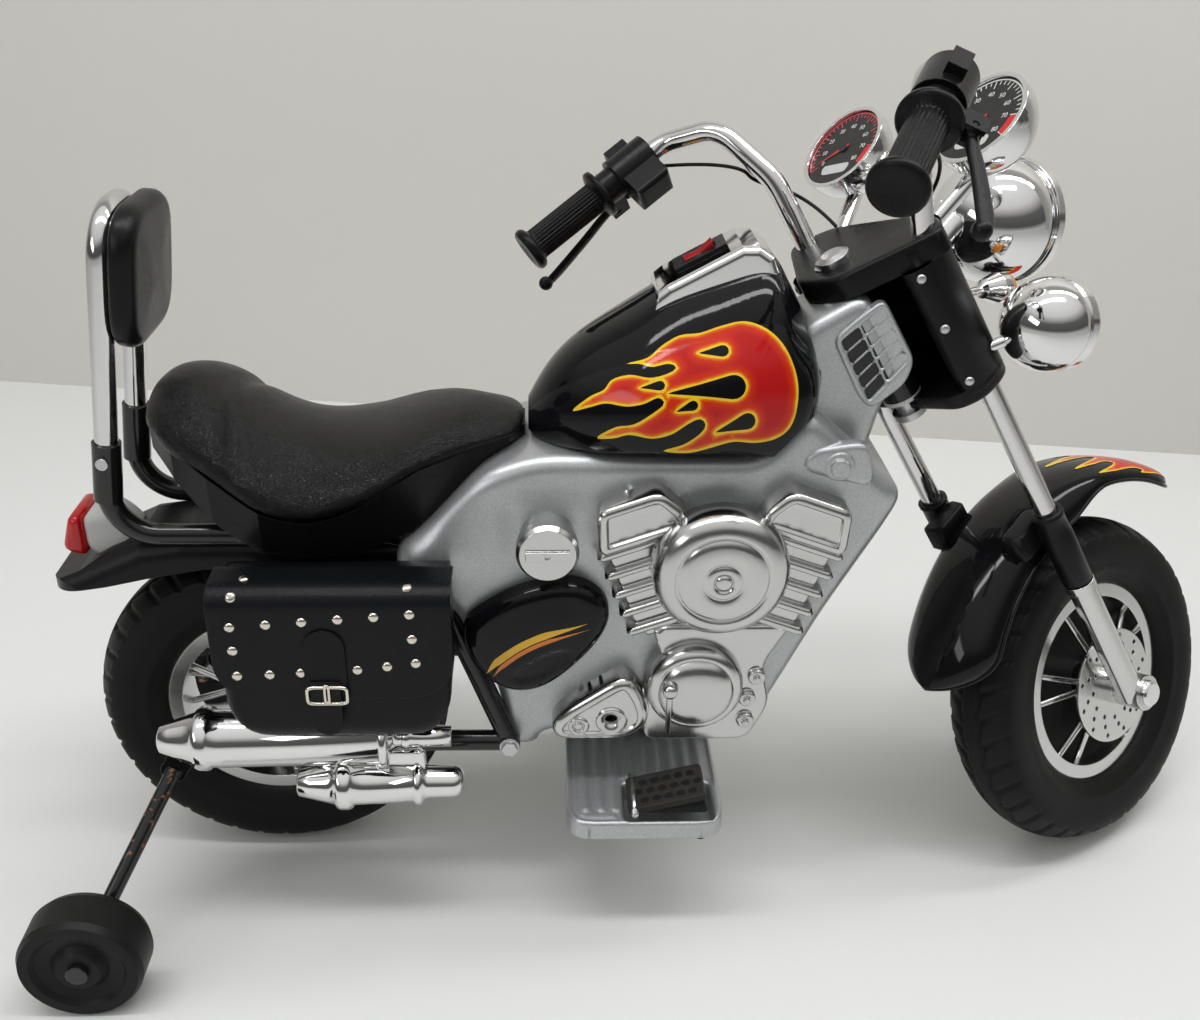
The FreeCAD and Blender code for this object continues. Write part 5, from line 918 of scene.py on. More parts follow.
# %% [markdown]
# ## Tyres
# A tyre is one profile turned about the axle. Its tread is cut into that surface: staggered shoulder blocks
# with slanted slots, and two zigzag grooves beside a middle rib.

# %% Tyres
TREAD_BLOCKS, TYRE_RADIUS, GROOVE_DEPTH = 38, 162.0, 2.6
ARC_MIDDLE, ARC_RADIUS, ARC_HALF = 116.0, 46.0, 31.0
SIDE = [(98, 22), (101, 26.5), (107, 30), (112, 32), (114, 33.6), (117, 33.4), (126, 34.9), (134, 35.4),
        (141, 35.1), (146.2, 33.9), (149.6, 32.2)]


def tread_cut(turn, across):
    """Depth of the tread's grooves: a slanted slot between shoulder blocks, a zigzag line on each side."""
    blocks = turn * TREAD_BLOCKS / (2 * np.pi)
    side = np.where(across > 0, 0.5, 0.0)
    slot = np.abs((blocks + side + np.abs(across) / 55) % 1 - 0.5)
    cross = smooth_step(slot, 0.36, 0.43) * smooth_step(np.abs(across), 9.0, 11.0)
    wave = np.abs((blocks + side) % 1 - 0.5) * 2
    zigzag = np.abs(np.abs(across) - 8.0 - 3.0 * wave)
    return np.maximum(cross, 1 - smooth_step(zigzag, 1.0, 2.0)) * GROOVE_DEPTH


def turned_tyre(steps):
    """Profile turned about the axle: bead, bulging sidewall with a ridge, and the tread's arc of 46 mm."""
    arc = np.linspace(-ARC_HALF, ARC_HALF, 40)
    tread = np.stack([ARC_MIDDLE + np.sqrt(ARC_RADIUS ** 2 - arc ** 2), arc], -1)
    side = np.array(SIDE, float)
    profile = np.vstack([side * [1, -1], tread, side[::-1]])
    turn = round_turn(steps)
    radius, across = profile[:, 0], profile[:, 1]
    cut = tread_cut(turn[:, None], across[None]) * (np.abs(across) < 33)[None] * (radius > 149)[None]
    reach, turn = radius[None] - cut, turn[:, None]
    return np.stack([reach * np.cos(turn), across[None] + 0 * reach, reach * np.sin(turn)], -1)


wheel_shape = turned_tyre(TREAD_BLOCKS * 11)
rear_tyre = surface("rear_tyre_rubber", (wheel_shape + [0, 0, TYRE_RADIUS]) * MM, "rear_wheel", tyre_rubber,
                    round_rows=True, round_columns=True)
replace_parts(rear_tyre, "rear_tyre")
front_shape = in_fork(wheel_shape + FRONT_AXLE)
front_tyre = surface("front_tyre_rubber", front_shape, "front_wheel", tyre_rubber, round_rows=True,
                     round_columns=True)
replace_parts(front_tyre, "front_tyre")
print("tyre", len(rear_tyre.data.vertices), "points")

# %% [markdown]
# ## Moulded panels
# The covers of this bike are plates with rounded shoulders, so the height of a point depends on how far it
# is from the plate's edge. An outline could be extruded and bevelled. Here a net of triangles is laid over
# it, with rows of points near the edge, and a curve turns the distance from the edge into height. One helper
# then makes bosses, rims, recesses and pillows alike.


# %% Outlines
def round_corners(points, reach, steps=6):
    """Closed outline whose corners give way to parabolic arcs that begin a given reach from the corner."""
    corner = np.asarray(points, float)
    ends = []
    for other in (np.roll(corner, 1, 0), np.roll(corner, -1, 0)):
        far = np.linalg.norm(other - corner, axis=1, keepdims=True)
        ends.append(corner + (other - corner) / far * np.minimum(reach, 0.48 * far))
    t = np.linspace(0, 1, steps)[None, :, None]
    arcs = (1 - t) ** 2 * ends[0][:, None] + 2 * t * (1 - t) * corner[:, None] + t ** 2 * ends[1][:, None]
    return arcs.reshape(-1, 2)


def even_steps(outline, step):
    """Points at even steps along a closed outline."""
    closed = np.vstack([outline, outline[:1]])
    run = np.concatenate([[0], np.cumsum(np.linalg.norm(np.diff(closed, axis=0), axis=1))])
    at = np.linspace(0, run[-1], max(16, int(run[-1] / step)), endpoint=False)
    return np.stack([np.interp(at, run, closed[:, k]) for k in (0, 1)], -1)


def within(points, outlines):
    """Even-odd rule: a point is inside if a level ray from it crosses the outlines an odd number of times."""
    odd = np.zeros(len(points), bool)
    for a in outlines:
        b = np.roll(a, -1, 0)
        spans = (a[:, 1] > points[:, 1:]) != (b[:, 1] > points[:, 1:])
        rise = np.where(b[:, 1] == a[:, 1], 1.0, b[:, 1] - a[:, 1])
        crossing = a[:, 0] + (points[:, 1:] - a[:, 1]) * (b[:, 0] - a[:, 0]) / rise
        odd ^= np.sum(spans & (points[:, :1] < crossing), axis=1) % 2 == 1
    return odd


def edge_gap(points, outlines):
    """Distance of each point from the nearest run of the outlines."""
    gap = np.full(len(points), np.inf)
    for a in outlines:
        run = np.roll(a, -1, 0) - a
        away = points[:, None] - a
        share = np.clip((away * run).sum(-1) / np.maximum((run * run).sum(-1), 1e-12), 0, 1)
        gap = np.minimum(gap, np.linalg.norm(away - share[..., None] * run, axis=-1).min(1))
    return gap


print("outline helpers ready")


# %% Nets
def net(outlines, step, rows=()):
    """Triangles over an outline with holes: points along it, rows of points at given distances inside it, and
    an even grid further in; returns the flat points, the corners and each point's distance from the edge."""
    lines = [even_steps(np.asarray(line, float), step) for line in outlines]
    parts = []
    for row in rows:
        for line in lines:
            run = np.roll(line, -1, 0) - np.roll(line, 1, 0)
            across = np.stack([-run[:, 1], run[:, 0]], -1) / np.linalg.norm(run, axis=1, keepdims=True)
            beside = np.vstack([line + row * across, line - row * across])
            parts.append(beside[within(beside, lines) & (edge_gap(beside, lines) > 0.93 * row)])
    every = np.vstack(lines)
    low, high = every.min(0), every.max(0)
    grid = np.stack(np.meshgrid(np.arange(low[0], high[0], step), np.arange(low[1], high[1], step)), -1)
    grid = grid.reshape(-1, 2)
    deep = (max(rows) if len(rows) else 0.0) + 0.5 * step
    parts.append(grid[within(grid, lines) & (edge_gap(grid, lines) > deep)])
    points = np.vstack([every] + parts)
    starts = np.cumsum([0] + [len(line) for line in lines])
    rims = [np.stack([np.arange(len(line)), (np.arange(len(line)) + 1) % len(line)], -1) + start
            for line, start in zip(lines, starts)]
    made = delaunay_2d_cdt(list(map(Vector, points.tolist())), np.vstack(rims).tolist(), [], 0, 1e-5)
    flat, corners = np.array(list(map(tuple, made[0]))), np.array(made[2])
    corners = corners[within(flat[corners].mean(1), lines)]
    return flat, corners, edge_gap(flat, lines)


print("net helper ready")


# %% Plates
def shoulder(gap, radius, height):
    """Height above the base: a wall at the edge, a quarter round of a given radius, then level."""
    inset = np.clip(gap / radius, 0, 1)
    return np.where(gap > 1e-3, height - radius + radius * np.sqrt(1 - (1 - inset) ** 2), 0.0)


def shoulder_rows(radius):
    """Distances from the edge at even turns of the quarter round."""
    return radius * (1 - np.cos(np.radians([12, 32, 52, 72, 90])))


def on_flank(flat, rise, base):
    """Points of the right flank in metres: the outline lies in X and Z, height goes outwards from a base."""
    return np.stack([flat[:, 0], -(base + rise), flat[:, 1]], -1) * MM


def boss(outline, base, height, radius, step, holes=(), shape=None, place_on=on_flank, rows=()):
    """Plate with a rounded shoulder, on the right flank or where another function puts it; a further function
    of the points and the distance from the edge may add to its height."""
    flat, corners, gap = net([outline, *holes], step, np.append(shoulder_rows(radius), rows))
    rise = shoulder(gap, radius, height)
    if shape:
        rise = rise + np.where(gap > 1e-3, shape(flat, gap), 0.0)
    return place_on(flat, rise, base), corners


def disc(middle, radius, steps=28):
    """Round outline."""
    turn = round_turn(steps)
    return np.asarray(middle) + radius * np.stack([np.cos(turn), np.sin(turn)], -1)


def joined(name, parts, body, material):
    """One piece from several (points, corners) pairs."""
    shifts = np.cumsum([0] + [len(points) for points, _ in parts])
    halves = [np.vstack([c[:, [0, 1, 2]], c[:, [0, 2, 3]]]) if c.shape[1] == 4 else c for _, c in parts]
    corners = np.vstack([half + shift for half, shift in zip(halves, shifts)])
    return new_piece(name, np.vstack([points for points, _ in parts]), corners, body, material)


print("plate helpers ready")

# %% [markdown]
# ## Body shells
# The silver body is blow moulded, so nothing on it is sharp: the flank is a pillow with broad shoulders, it
# swells under the seat's edge, and a raised pad carries an imitation bolt. The nose beside the steering head
# is a narrower pillow.

# %% Body shells
BODY_LINE = [(150, 373), (175, 398.6), (201.4, 425.6), (246, 441.1), (432, 441.1), (468, 484), (530, 428),
             (558, 408), (544, 376), (500, 290), (455, 188), (440, 163), (252, 163), (247, 146), (214, 146),
             (214, 205), (173, 296), (140, 314), (126, 336), (130, 358)]
NOSE_LINE = [(452, 452), (461, 541.5), (512, 572.4), (545, 522), (551, 502), (537, 478), (526, 422)]
BODY_HALF, NOSE_HALF = 72.0, 41.0


def flank_swell(flat, gap):
    """Soft swellings of the flank: a bell under the seat's edge, and a squarer pad under the tank."""
    x, z = flat.T
    bell = 7.0 * np.exp(-((x - 165) / 34) ** 2 - ((z - 346) / 24) ** 2)
    pad = 5.0 * np.exp(-((x - 258) / 36) ** 4 - ((z - 374) / 34) ** 4)
    return (bell + pad) * smooth_step(gap, 0, 16)


def hexagon(middle, across):
    """Outline of a hexagon by its width across flats."""
    return disc(middle, across / np.sqrt(3), 6)


pad_line = round_corners([(470, 450), (520, 458), (529, 414), (464, 432)], 14)
PAD_BOLT = (496.0, 436.0)
body_parts = [boss(round_corners(BODY_LINE, 18), 0.0, BODY_HALF, 15.0, 6.0, shape=flank_swell),
              boss(round_corners(NOSE_LINE, 16), 0.0, NOSE_HALF, 12.0, 5.0),
              boss(pad_line, BODY_HALF - 8, 11.5, 5.0, 5.0),
              boss(disc(PAD_BOLT, 12.5), BODY_HALF, 5.2, 1.2, 2.5),
              boss(round_corners(hexagon(PAD_BOLT, 16.0), 1.0, 3), BODY_HALF, 9.5, 1.6, 2.0)]
shell_right = joined("body_moulding_right", body_parts, "chassis", silver)
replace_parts(shell_right, "body_shell_right")
shell_left = mirrored("body_moulding_left", shell_right, "chassis")
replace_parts(shell_left, "body_shell_left")
print("body", len(shell_right.data.polygons), "faces each side")

# %% [markdown]
# ## Nose grille
# A grille with five rows of slots wraps the nose's front corner. Its slats and one upright bar are silver
# like the body; a black floor behind the rear slots is painted shade, and a sloping silver floor lies behind
# the front ones.

# %% Nose grille
nose_ahead, nose_up = straight_ahead[[0, 2]], fork_up[[0, 2]]


def on_nose(points):
    """Side view of points given ahead of and above the steering head along the straight fork's axes."""
    ahead, up = np.split(np.asarray(points, float), 2, axis=1)
    return HEAD[[0, 2]] + ahead * nose_ahead + up * nose_up


FRAME_LINE = [(-32, 11), (-8, 17), (19, 21), (19, -40), (4, -55), (-30, -61), (-35, -48)]
GRILLE_LEFT, GRILLE_RIGHT = np.array([(-26.5, 7.0), (-29.0, -54.0)]), np.array([(14.0, 15.5), (14.0, -37.0)])
GRILLE_ROWS, SLAT_HALF = 5, 0.075


def grille_cell(row, start, finish):
    """Corners of one slot between two slats, from shares of the way across the grille."""
    shares = np.array([(row + SLAT_HALF) / GRILLE_ROWS, (row + 1 - SLAT_HALF) / GRILLE_ROWS])
    left = GRILLE_LEFT[0] + shares[:, None] * (GRILLE_LEFT[1] - GRILLE_LEFT[0])
    right = GRILLE_RIGHT[0] + shares[:, None] * (GRILLE_RIGHT[1] - GRILLE_RIGHT[0])
    ends = [left + share * (right - left) for share in (start, finish)]
    return round_corners(on_nose([ends[0][0], ends[1][0], ends[1][1], ends[0][1]]), 2.2)


wells = [grille_cell(row, *span) for row in range(GRILLE_ROWS) for span in ((0.0, 0.43), (0.48, 1.0))]
frame_part = boss(round_corners(on_nose(FRAME_LINE), 9), NOSE_HALF - 6, 9.4, 3.0, 2.0, holes=wells)
grille = joined("nose_grille_right", [frame_part], "chassis", silver)


def well_floor(name, corners_at, lift, material):
    """Sloping floor behind one half of the grille's slots."""
    flat, corners, _ = net([on_nose(corners_at)], 6.0)
    share = ((flat - HEAD[[0, 2]]) @ nose_ahead - corners_at[0][0]) / (corners_at[1][0] - corners_at[0][0])
    points = on_flank(flat, lift[0] + share * (lift[1] - lift[0]), NOSE_HALF)
    return new_piece(name, points, corners, "chassis", material)


WELLS_AT = [(-30, 9), (-6, 13), (-6, -50), (-31, -57)]
LOUVRES_AT = [(-8.5, 12), (16, 16), (16, -39), (-8.5, -49)]
# The black floor behind the rear slots is painted shade.
painted_shade_wells = well_floor("nose_wells_right", WELLS_AT, (0.4, 0.4), dial_black)
louvre_floor = well_floor("nose_louvres_right", LOUVRES_AT, (-2.5, 2.6), silver)
for part in (grille, painted_shade_wells, louvre_floor):
    paired(part)
print("grille slots", len(wells))

# %% [markdown]
# ## Engine
# The engine is one plated moulding that imitates two leaning finned cylinders with their rocker boxes, a
# crankcase, a long primary cover and a round timing cover. Each is a plate with its own shoulder.

# %% Cylinder banks
ENGINE, BANK_TILT = np.array([402.0, 232.0]), math.radians(20.0)
FIN_COUNT, FIN_FIRST, FIN_PITCH, ENGINE_BASE = 5, 70.0, 19.5, BODY_HALF - 4


def on_bank(lean, points):
    """Side view of points given across and along a cylinder's axis, which leans ahead or back."""
    across, along = np.asarray(points, float).T
    tilt = BANK_TILT * lean
    x = ENGINE[0] + lean * across * math.cos(tilt) + along * math.sin(tilt)
    z = ENGINE[1] - lean * across * math.sin(tilt) + along * math.cos(tilt)
    return np.stack([x, z], -1)


def rocker_face(flat, gap):
    """Face of a rocker box: sunk inside a bright rim."""
    return -3.4 * smooth_step(gap, 7.0, 9.6)


engine_parts = []
for lean in (-1, 1):
    block = [(-19, 60), (47, 60), (47, 160), (-19, 160)]
    engine_parts.append(boss(round_corners(on_bank(lean, block), 6), ENGINE_BASE, 13.0, 3.0, 7.0))
    for k in range(FIN_COUNT):
        low = FIN_FIRST + k * FIN_PITCH
        blade = [(-23, low - 1.6), (56, low - 1.6), (56, low + 6.2), (-23, low + 6.2)]
        engine_parts.append(boss(round_corners(on_bank(lean, blade), 3.6), ENGINE_BASE, 20.0, 3.6, 3.0))
    box = [(54, 155), (41, 197), (-14, 197), (-28, 173), (-28, 155)]
    box_outline = round_corners(on_bank(lean, box), 9)
    engine_parts.append(boss(box_outline, ENGINE_BASE, 28.0, 6.0, 4.0, shape=rocker_face,
                             rows=(7.0, 7.9, 8.8, 9.7)))
print("banks", len(engine_parts), "plates")

# %% Turned profiles
SPIN_START = np.array([0.31, 0.22, 0.93])


def turned_profile(profile, origin, axis, steps, flutes=0, depth=0.0, span=(0.0, 0.0)):
    """Profile of (radius, way along) turned about an axis; inside a span its radius dips in even flutes."""
    radius, along = np.asarray(profile, float).T
    axis = unit(np.asarray(axis, float))
    first = unit(np.cross(axis, SPIN_START))
    second = np.cross(axis, first)
    turn = round_turn(steps)
    inside = smooth_step(along, span[0], span[0] + 2) * (1 - smooth_step(along, span[1] - 2, span[1]))
    dip = depth * inside[:, None] * np.abs(np.sin(flutes * turn / 2)) ** 3
    reach = radius[:, None] - dip
    return (np.asarray(origin, float) + along[:, None, None] * axis + reach[..., None]
            * (np.cos(turn)[:, None] * first + np.sin(turn)[:, None] * second))


def flank_turned(name, profile, middle, base, body, material, steps=64):
    """Profile turned about an axis that leaves the right flank at a point."""
    origin = np.array([middle[0], -base, middle[1]])
    grid = turned_profile(profile, origin, (0, -1, 0), steps) * MM
    return surface(name, grid, body, material, round_columns=True)


print("turned profiles ready")

# %% Crankcase and covers
CASE_LINE = [(345, 290), (358, 246), (342, 238), (342, 165), (438, 165), (456, 205), (446, 246), (470, 290)]
PRIMARY_LINE = [(258, 186), (268, 203), (320, 240), (333, 235), (346, 208), (346, 186), (326, 172),
                (266, 172)]
TIMING, CLEANER = np.array([386.0, 229.0]), np.array([400.0, 352.0])
PRIMARY_BOLT, PRIMARY_HOLE = (284.0, 188.5), (313.0, 194.0)
CASE_LUGS = [(441.0, 237.0), (434.0, 214.0), (434.0, 190.0)]


def primary_face(flat, gap):
    """Face of the primary cover: a step inside its rim."""
    return -2.4 * smooth_step(gap, 8.5, 10.5)


engine_parts.append(boss(round_corners(CASE_LINE, 12), ENGINE_BASE, 19.0, 6.0, 6.0))
engine_parts.append(boss(round_corners(PRIMARY_LINE, 16), ENGINE_BASE, 28.0, 8.0, 4.0, shape=primary_face,
                         rows=(8.6, 9.3, 10.0, 10.7), holes=[disc(PRIMARY_HOLE, 4.2, 20)]))
bolt_hole = disc(PRIMARY_BOLT, 5.0, 20)
engine_parts.append(boss(disc(PRIMARY_BOLT, 9.5), BODY_HALF, 23.6, 2.0, 2.2, holes=[bolt_hole]))
engine_parts.append(boss(disc(PRIMARY_BOLT, 4.2), BODY_HALF, 23.2, 1.8, 1.6))
for lug in CASE_LUGS:
    engine_parts.append(boss(disc(lug, 8.0), BODY_HALF, 20.0, 2.4, 2.4))
    engine_parts.append(boss(hexagon(lug, 7.0), BODY_HALF, 23.0, 0.8, 1.4))
neck = [(CLEANER[0] - 13, 300), (CLEANER[0] + 13, 300), (CLEANER[0] + 16, 345), (CLEANER[0] - 16, 345)]
engine_parts.append(boss(round_corners(neck, 6), ENGINE_BASE, 23.0, 4.0, 4.0))
engine_right = joined("engine_moulding_right", engine_parts, "chassis", engine_plating)
TIMING_PROFILE = [(0, 0), (43, 0), (43, 20), (42.3, 23.5), (40, 27), (37, 29), (34.5, 29.8), (33.6, 29.4),
                  (33, 30.2), (31.5, 32.6), (28, 35), (22, 37), (14, 38.4), (6, 39), (0, 39)]
timing = flank_turned("timing_cover_right", TIMING_PROFILE, TIMING, BODY_HALF, "chassis", engine_plating)
for part in (engine_right, timing):
    paired(part, "engine_covers")
print("engine", len(engine_right.data.polygons), "faces each side")

# %% Air cleaner
CLEANER_PROFILE = [(0, 0), (58, 0), (58, 12), (57.4, 17), (55.5, 22), (52, 26.5), (47.5, 29.3),
                   (43, 30.6), (40.6, 30.8), (39.6, 29.6), (38.6, 29.2), (37.6, 30.0), (36, 31.4),
                   (32, 32.8), (26, 33.6), (18.5, 33.9), (17.4, 33.0), (16.2, 32.6), (15.2, 33.2),
                   (14, 34.2), (11, 34.6), (8.6, 34.4), (8.2, 32.6), (7, 32.6), (6.6, 34.2), (4, 34.9),
                   (0, 35.0)]
CLEANER_BASE = BODY_HALF + 16.05
cleaner = flank_turned("air_cleaner_dome_right", CLEANER_PROFILE, CLEANER, CLEANER_BASE, "chassis",
                       engine_plating, 96)
paired(cleaner, "air_cleaners")
print("air cleaner", len(cleaner.data.vertices), "points")

# %% [markdown]
# ## Side covers
# The gloss black cover behind the engine is a soft drop shape with an oval recess. Two bright lines, yellow
# and orange, follow its lower edge in an arc.

# %% Side covers
COVER_LINE = [(184, 286), (206, 309), (242, 327), (278, 332), (303, 317), (309, 294), (296, 266), (266, 234),
              (240, 221), (214, 226), (191, 250)]
COVER_DEPTH, RECESS, RECESS_TURN = 24.0, np.array([252.0, 252.0]), math.radians(30.0)
cover_outline = curve_through(COVER_LINE, 8, closed=True)


def cover_rise(flat):
    """Height of the cover: a crowned shoulder, less an oval recess turned by thirty degrees."""
    gap = edge_gap(flat, [cover_outline])
    crown = shoulder(gap, 12.0, COVER_DEPTH - 4) + 4.0 * smooth_step(gap, 6, 40)
    x, z = (flat - RECESS).T
    u = x * math.cos(RECESS_TURN) + z * math.sin(RECESS_TURN)
    v = z * math.cos(RECESS_TURN) - x * math.sin(RECESS_TURN)
    oval = np.sqrt((u / 31) ** 2 + (v / 11) ** 2)
    return crown - 2.6 * (1 - smooth_step(oval, 0.82, 1.0))


flat, corners, gap = net([cover_outline], 3.0, shoulder_rows(12.0))
rise = np.where(gap > 1e-3, cover_rise(flat), 0.0)
cover = new_piece("side_cover_drop_right", on_flank(flat, rise, BODY_HALF), corners, "chassis", gloss_black)
paired(cover, "side_covers")
print("side cover", len(corners), "faces")

# %% Arced stripes on the covers
yellow_ink = ink("yellow_ink", (0.80, 0.46, 0.03))
orange_ink = ink("orange_ink", (0.72, 0.20, 0.02))
STRIPE_ARC = curve_through([(203, 244), (213, 258), (230, 273), (255, 286), (290, 296)], 14)


def cover_ribbon(name, shift, half, material):
    """Ribbon on the side cover: an arc widened across its own direction and tapered to its ends."""
    run = np.gradient(STRIPE_ARC, axis=0)
    across = np.stack([-run[:, 1], run[:, 0]], -1) / np.linalg.norm(run, axis=1, keepdims=True)
    share = np.linspace(0, 1, len(STRIPE_ARC))
    width = half * np.clip(4 * np.minimum(share, 1 - share), 0.05, 1)
    t = np.linspace(-1, 1, 5)
    flat = STRIPE_ARC[:, None] + across[:, None] * (shift + width[:, None] * t)[..., None]
    points = on_flank(flat.reshape(-1, 2), cover_rise(flat.reshape(-1, 2)) + 0.35, BODY_HALF)
    ribbon = surface(name, points.reshape(*flat.shape[:2], 3), "chassis", material)
    face_outwards(ribbon, (0, -1, 0))
    return ribbon


def face_outwards(piece, way):
    """Turns a thin print's faces so that they look a given way on the whole."""
    normals = np.empty(3 * len(piece.data.polygons))
    piece.data.polygons.foreach_get("normal", normals)
    if (normals.reshape(-1, 3) @ np.asarray(way, float)).sum() < 0:
        piece.data.flip_normals()


for part in (cover_ribbon("cover_stripe_upper_right", 0.0, 3.4, yellow_ink),
             cover_ribbon("cover_stripe_lower_right", -6.4, 2.0, orange_ink)):
    paired(part)
print("side covers striped")

# %% [markdown]
# ## Flames
# The tank and the front fender carry hot-rod flames: tongues that sweep back, red inside a yellow border.
# They could be painted with a mask. A thin print with its own outline keeps the border crisp: its distance
# from the edge is stored on each point, and the ink reads its colour from that.

# %% Flame ink
flame_ink, tree, shader = finish("flame_ink", (0.7, 0.1, 0.02), 0.16, IOR=1.42, Specular_IOR_Level=0.35)
rim = add(tree, "Attribute", dict(attribute_name="rim")).outputs["Fac"]
wavering = calc(tree, "ADD", rim, ranged(tree, noise(tree, 90.0, 3.0), 0.3, 0.7, -0.5, 0.5))
ramp = add(tree, "ValToRGB", None, Fac=ranged(tree, wavering, 0.0, 10.0, 0.0, 1.0))
FLAME_STOPS = [(0.0, (0.80, 0.56, 0.03)), (0.17, (0.80, 0.48, 0.02)), (0.22, (0.72, 0.16, 0.010)),
               (0.42, (0.58, 0.035, 0.008)), (1.0, (0.46, 0.010, 0.010))]
while len(ramp.color_ramp.elements) < len(FLAME_STOPS):
    ramp.color_ramp.elements.new(0.5)
for stop, (position, colour) in zip(ramp.color_ramp.elements, FLAME_STOPS):
    stop.position, stop.color = position, (*colour, 1)
tree.links.new(ramp.outputs[0], shader.inputs["Base Color"])
gloss(tree, shader, 9.0, 0.10, 0.20)
print("flame ink with", len(FLAME_STOPS), "tones")


def print_rim(piece, gap):
    """Stores each point's distance from the print's edge, in millimetres."""
    piece.data.attributes.new("rim", "FLOAT", "POINT").data.foreach_set("value", gap)


# %% Tank flames
PRINT_DEPTH, PRINT_LIFT = 0.972, 0.12
TONGUES = [(627, 362), (648, 357), (662, 345), (680, 335), (700, 333), (722, 326), (745, 322), (768, 331),
           (786, 350), (797, 376), (799, 400), (794, 424), (780, 437), (758, 442), (735, 441), (712, 447),
           (690, 452), (664, 450), (684, 444), (700, 434), (706, 425), (700, 419), (688, 424), (672, 434),
           (652, 438), (630, 434), (614, 437), (596, 436), (616, 426), (634, 424), (652, 414), (664, 404),
           (658, 398), (644, 404), (626, 406), (606, 402), (590, 405), (571, 408), (590, 394), (604, 388),
           (612, 378), (630, 374), (650, 378), (668, 374), (676, 368), (668, 364), (652, 367), (640, 363)]
DROPS = [((698, 354), (722, 352), 6), ((668, 394), (733, 388), 12), ((640, 388), (660, 386), 5),
         ((716, 432), (748, 421), 8), ((676, 412), (693, 406), 5)]


def drop_outline(tip, middle, radius):
    """Teardrop: a circle whose points lean towards a tip as they turn to it."""
    tip, middle = np.asarray(tip, float), np.asarray(middle, float)
    turn = round_turn(32)
    ahead = unit(tip - middle)
    across = np.array([-ahead[1], ahead[0]])
    lean = np.clip(np.cos(turn), 0, 1) ** 3
    out = np.cos(turn) * radius * (1 - lean) + np.linalg.norm(tip - middle) * lean
    return middle + out[:, None] * ahead + (np.sin(turn) * radius * (1 - 0.6 * lean))[:, None] * across


def facing_print(flat):
    """Points of the picture plane, in pixels, on a sheet square to the sight line, just before the tank."""
    across, down = ((flat - [IMAGE_WIDTH / 2, IMAGE_HEIGHT / 2]) * PRINT_DEPTH / FOCAL_PIXELS).T
    middle = EYE + PRINT_DEPTH * sight - PRINT_LIFT * sight
    return middle + across[:, None] * rightwards - down[:, None] * upwards


PIXEL = PRINT_DEPTH / FOCAL_PIXELS / MM
flame_outlines = [curve_through(TONGUES, 4, closed=True), *[drop_outline(*drop) for drop in DROPS]]
flat, corners, gap = net(flame_outlines, 4.0, np.array([1.6, 3.4, 5.6]))
tank_print = new_piece("tank_flames_right", facing_print(flat), corners, "chassis", flame_ink)
face_outwards(tank_print, -sight)
print_rim(tank_print, gap * PIXEL)
modified(tank_print, "SHRINKWRAP", target=nodes["fuel_tank"], wrap_method="PROJECT",
         use_negative_direction=True, use_positive_direction=True, offset=0.0004)
applied(tank_print)
paired(tank_print)
print("tank flames", len(tank_print.data.polygons), "faces")

# %% [markdown]
# ## Gauges
# Each dial is printed: a ring of ticks with plain numbers, a red end of the scale, a pale plate below and a
# needle. They lie a fraction of a millimetre above the black face.

# %% Shapes on a dial
DIAL_TILT, DIAL_FACE, DIAL_SWEEP = math.radians(67.4), 1.0, 125
DIAL_AHEAD, DIAL_SPREAD, DIAL_HEIGHT = 132.0, 76.0, 90.0
dial_normal = np.array([-math.cos(DIAL_TILT), 0.0, math.sin(DIAL_TILT)])
dial_up = np.array([math.sin(DIAL_TILT), 0.0, math.cos(DIAL_TILT)])
dial_right = np.array([0.0, -1.0, 0.0])


def on_dial(side, flat, lift):
    """Points of a dial given to its right and up, in millimetres, lifted off its face."""
    centre = np.array([DIAL_AHEAD, DIAL_SPREAD * side, DIAL_HEIGHT]) + (DIAL_FACE + lift) * dial_normal
    return in_fork(centre + flat[:, :1] * dial_right + flat[:, 1:] * dial_up)


def dial_arc(inner, outer, start, finish, steps=24):
    """Outline of a ring's sector between two bearings, clockwise from the top."""
    turn = np.radians(np.linspace(start, finish, steps))
    ring = np.stack([np.sin(turn), np.cos(turn)], -1)
    return np.vstack([ring * outer, ring[::-1] * inner])


def dial_print(name, side, outlines, lift, material):
    """Flat printed shapes on a dial."""
    parts = []
    for outline in outlines:
        flat, corners, _ = net([outline], 3.0)
        parts.append((on_dial(side, flat, lift), corners))
    piece = joined(name, parts, "steering", material)
    face_outwards(piece, dial_normal @ FORK_AXES)
    return piece


def dial_ticks(count, start, finish, outer, long_every):
    """Thin sectors at even bearings, longer at every few."""
    bearings = np.linspace(start, finish, count)
    return [dial_arc(outer - (7.0 if k % long_every == 0 else 3.6), outer, b - 0.8, b + 0.8, 3)
            for k, b in enumerate(bearings)]


print("dial helpers ready")


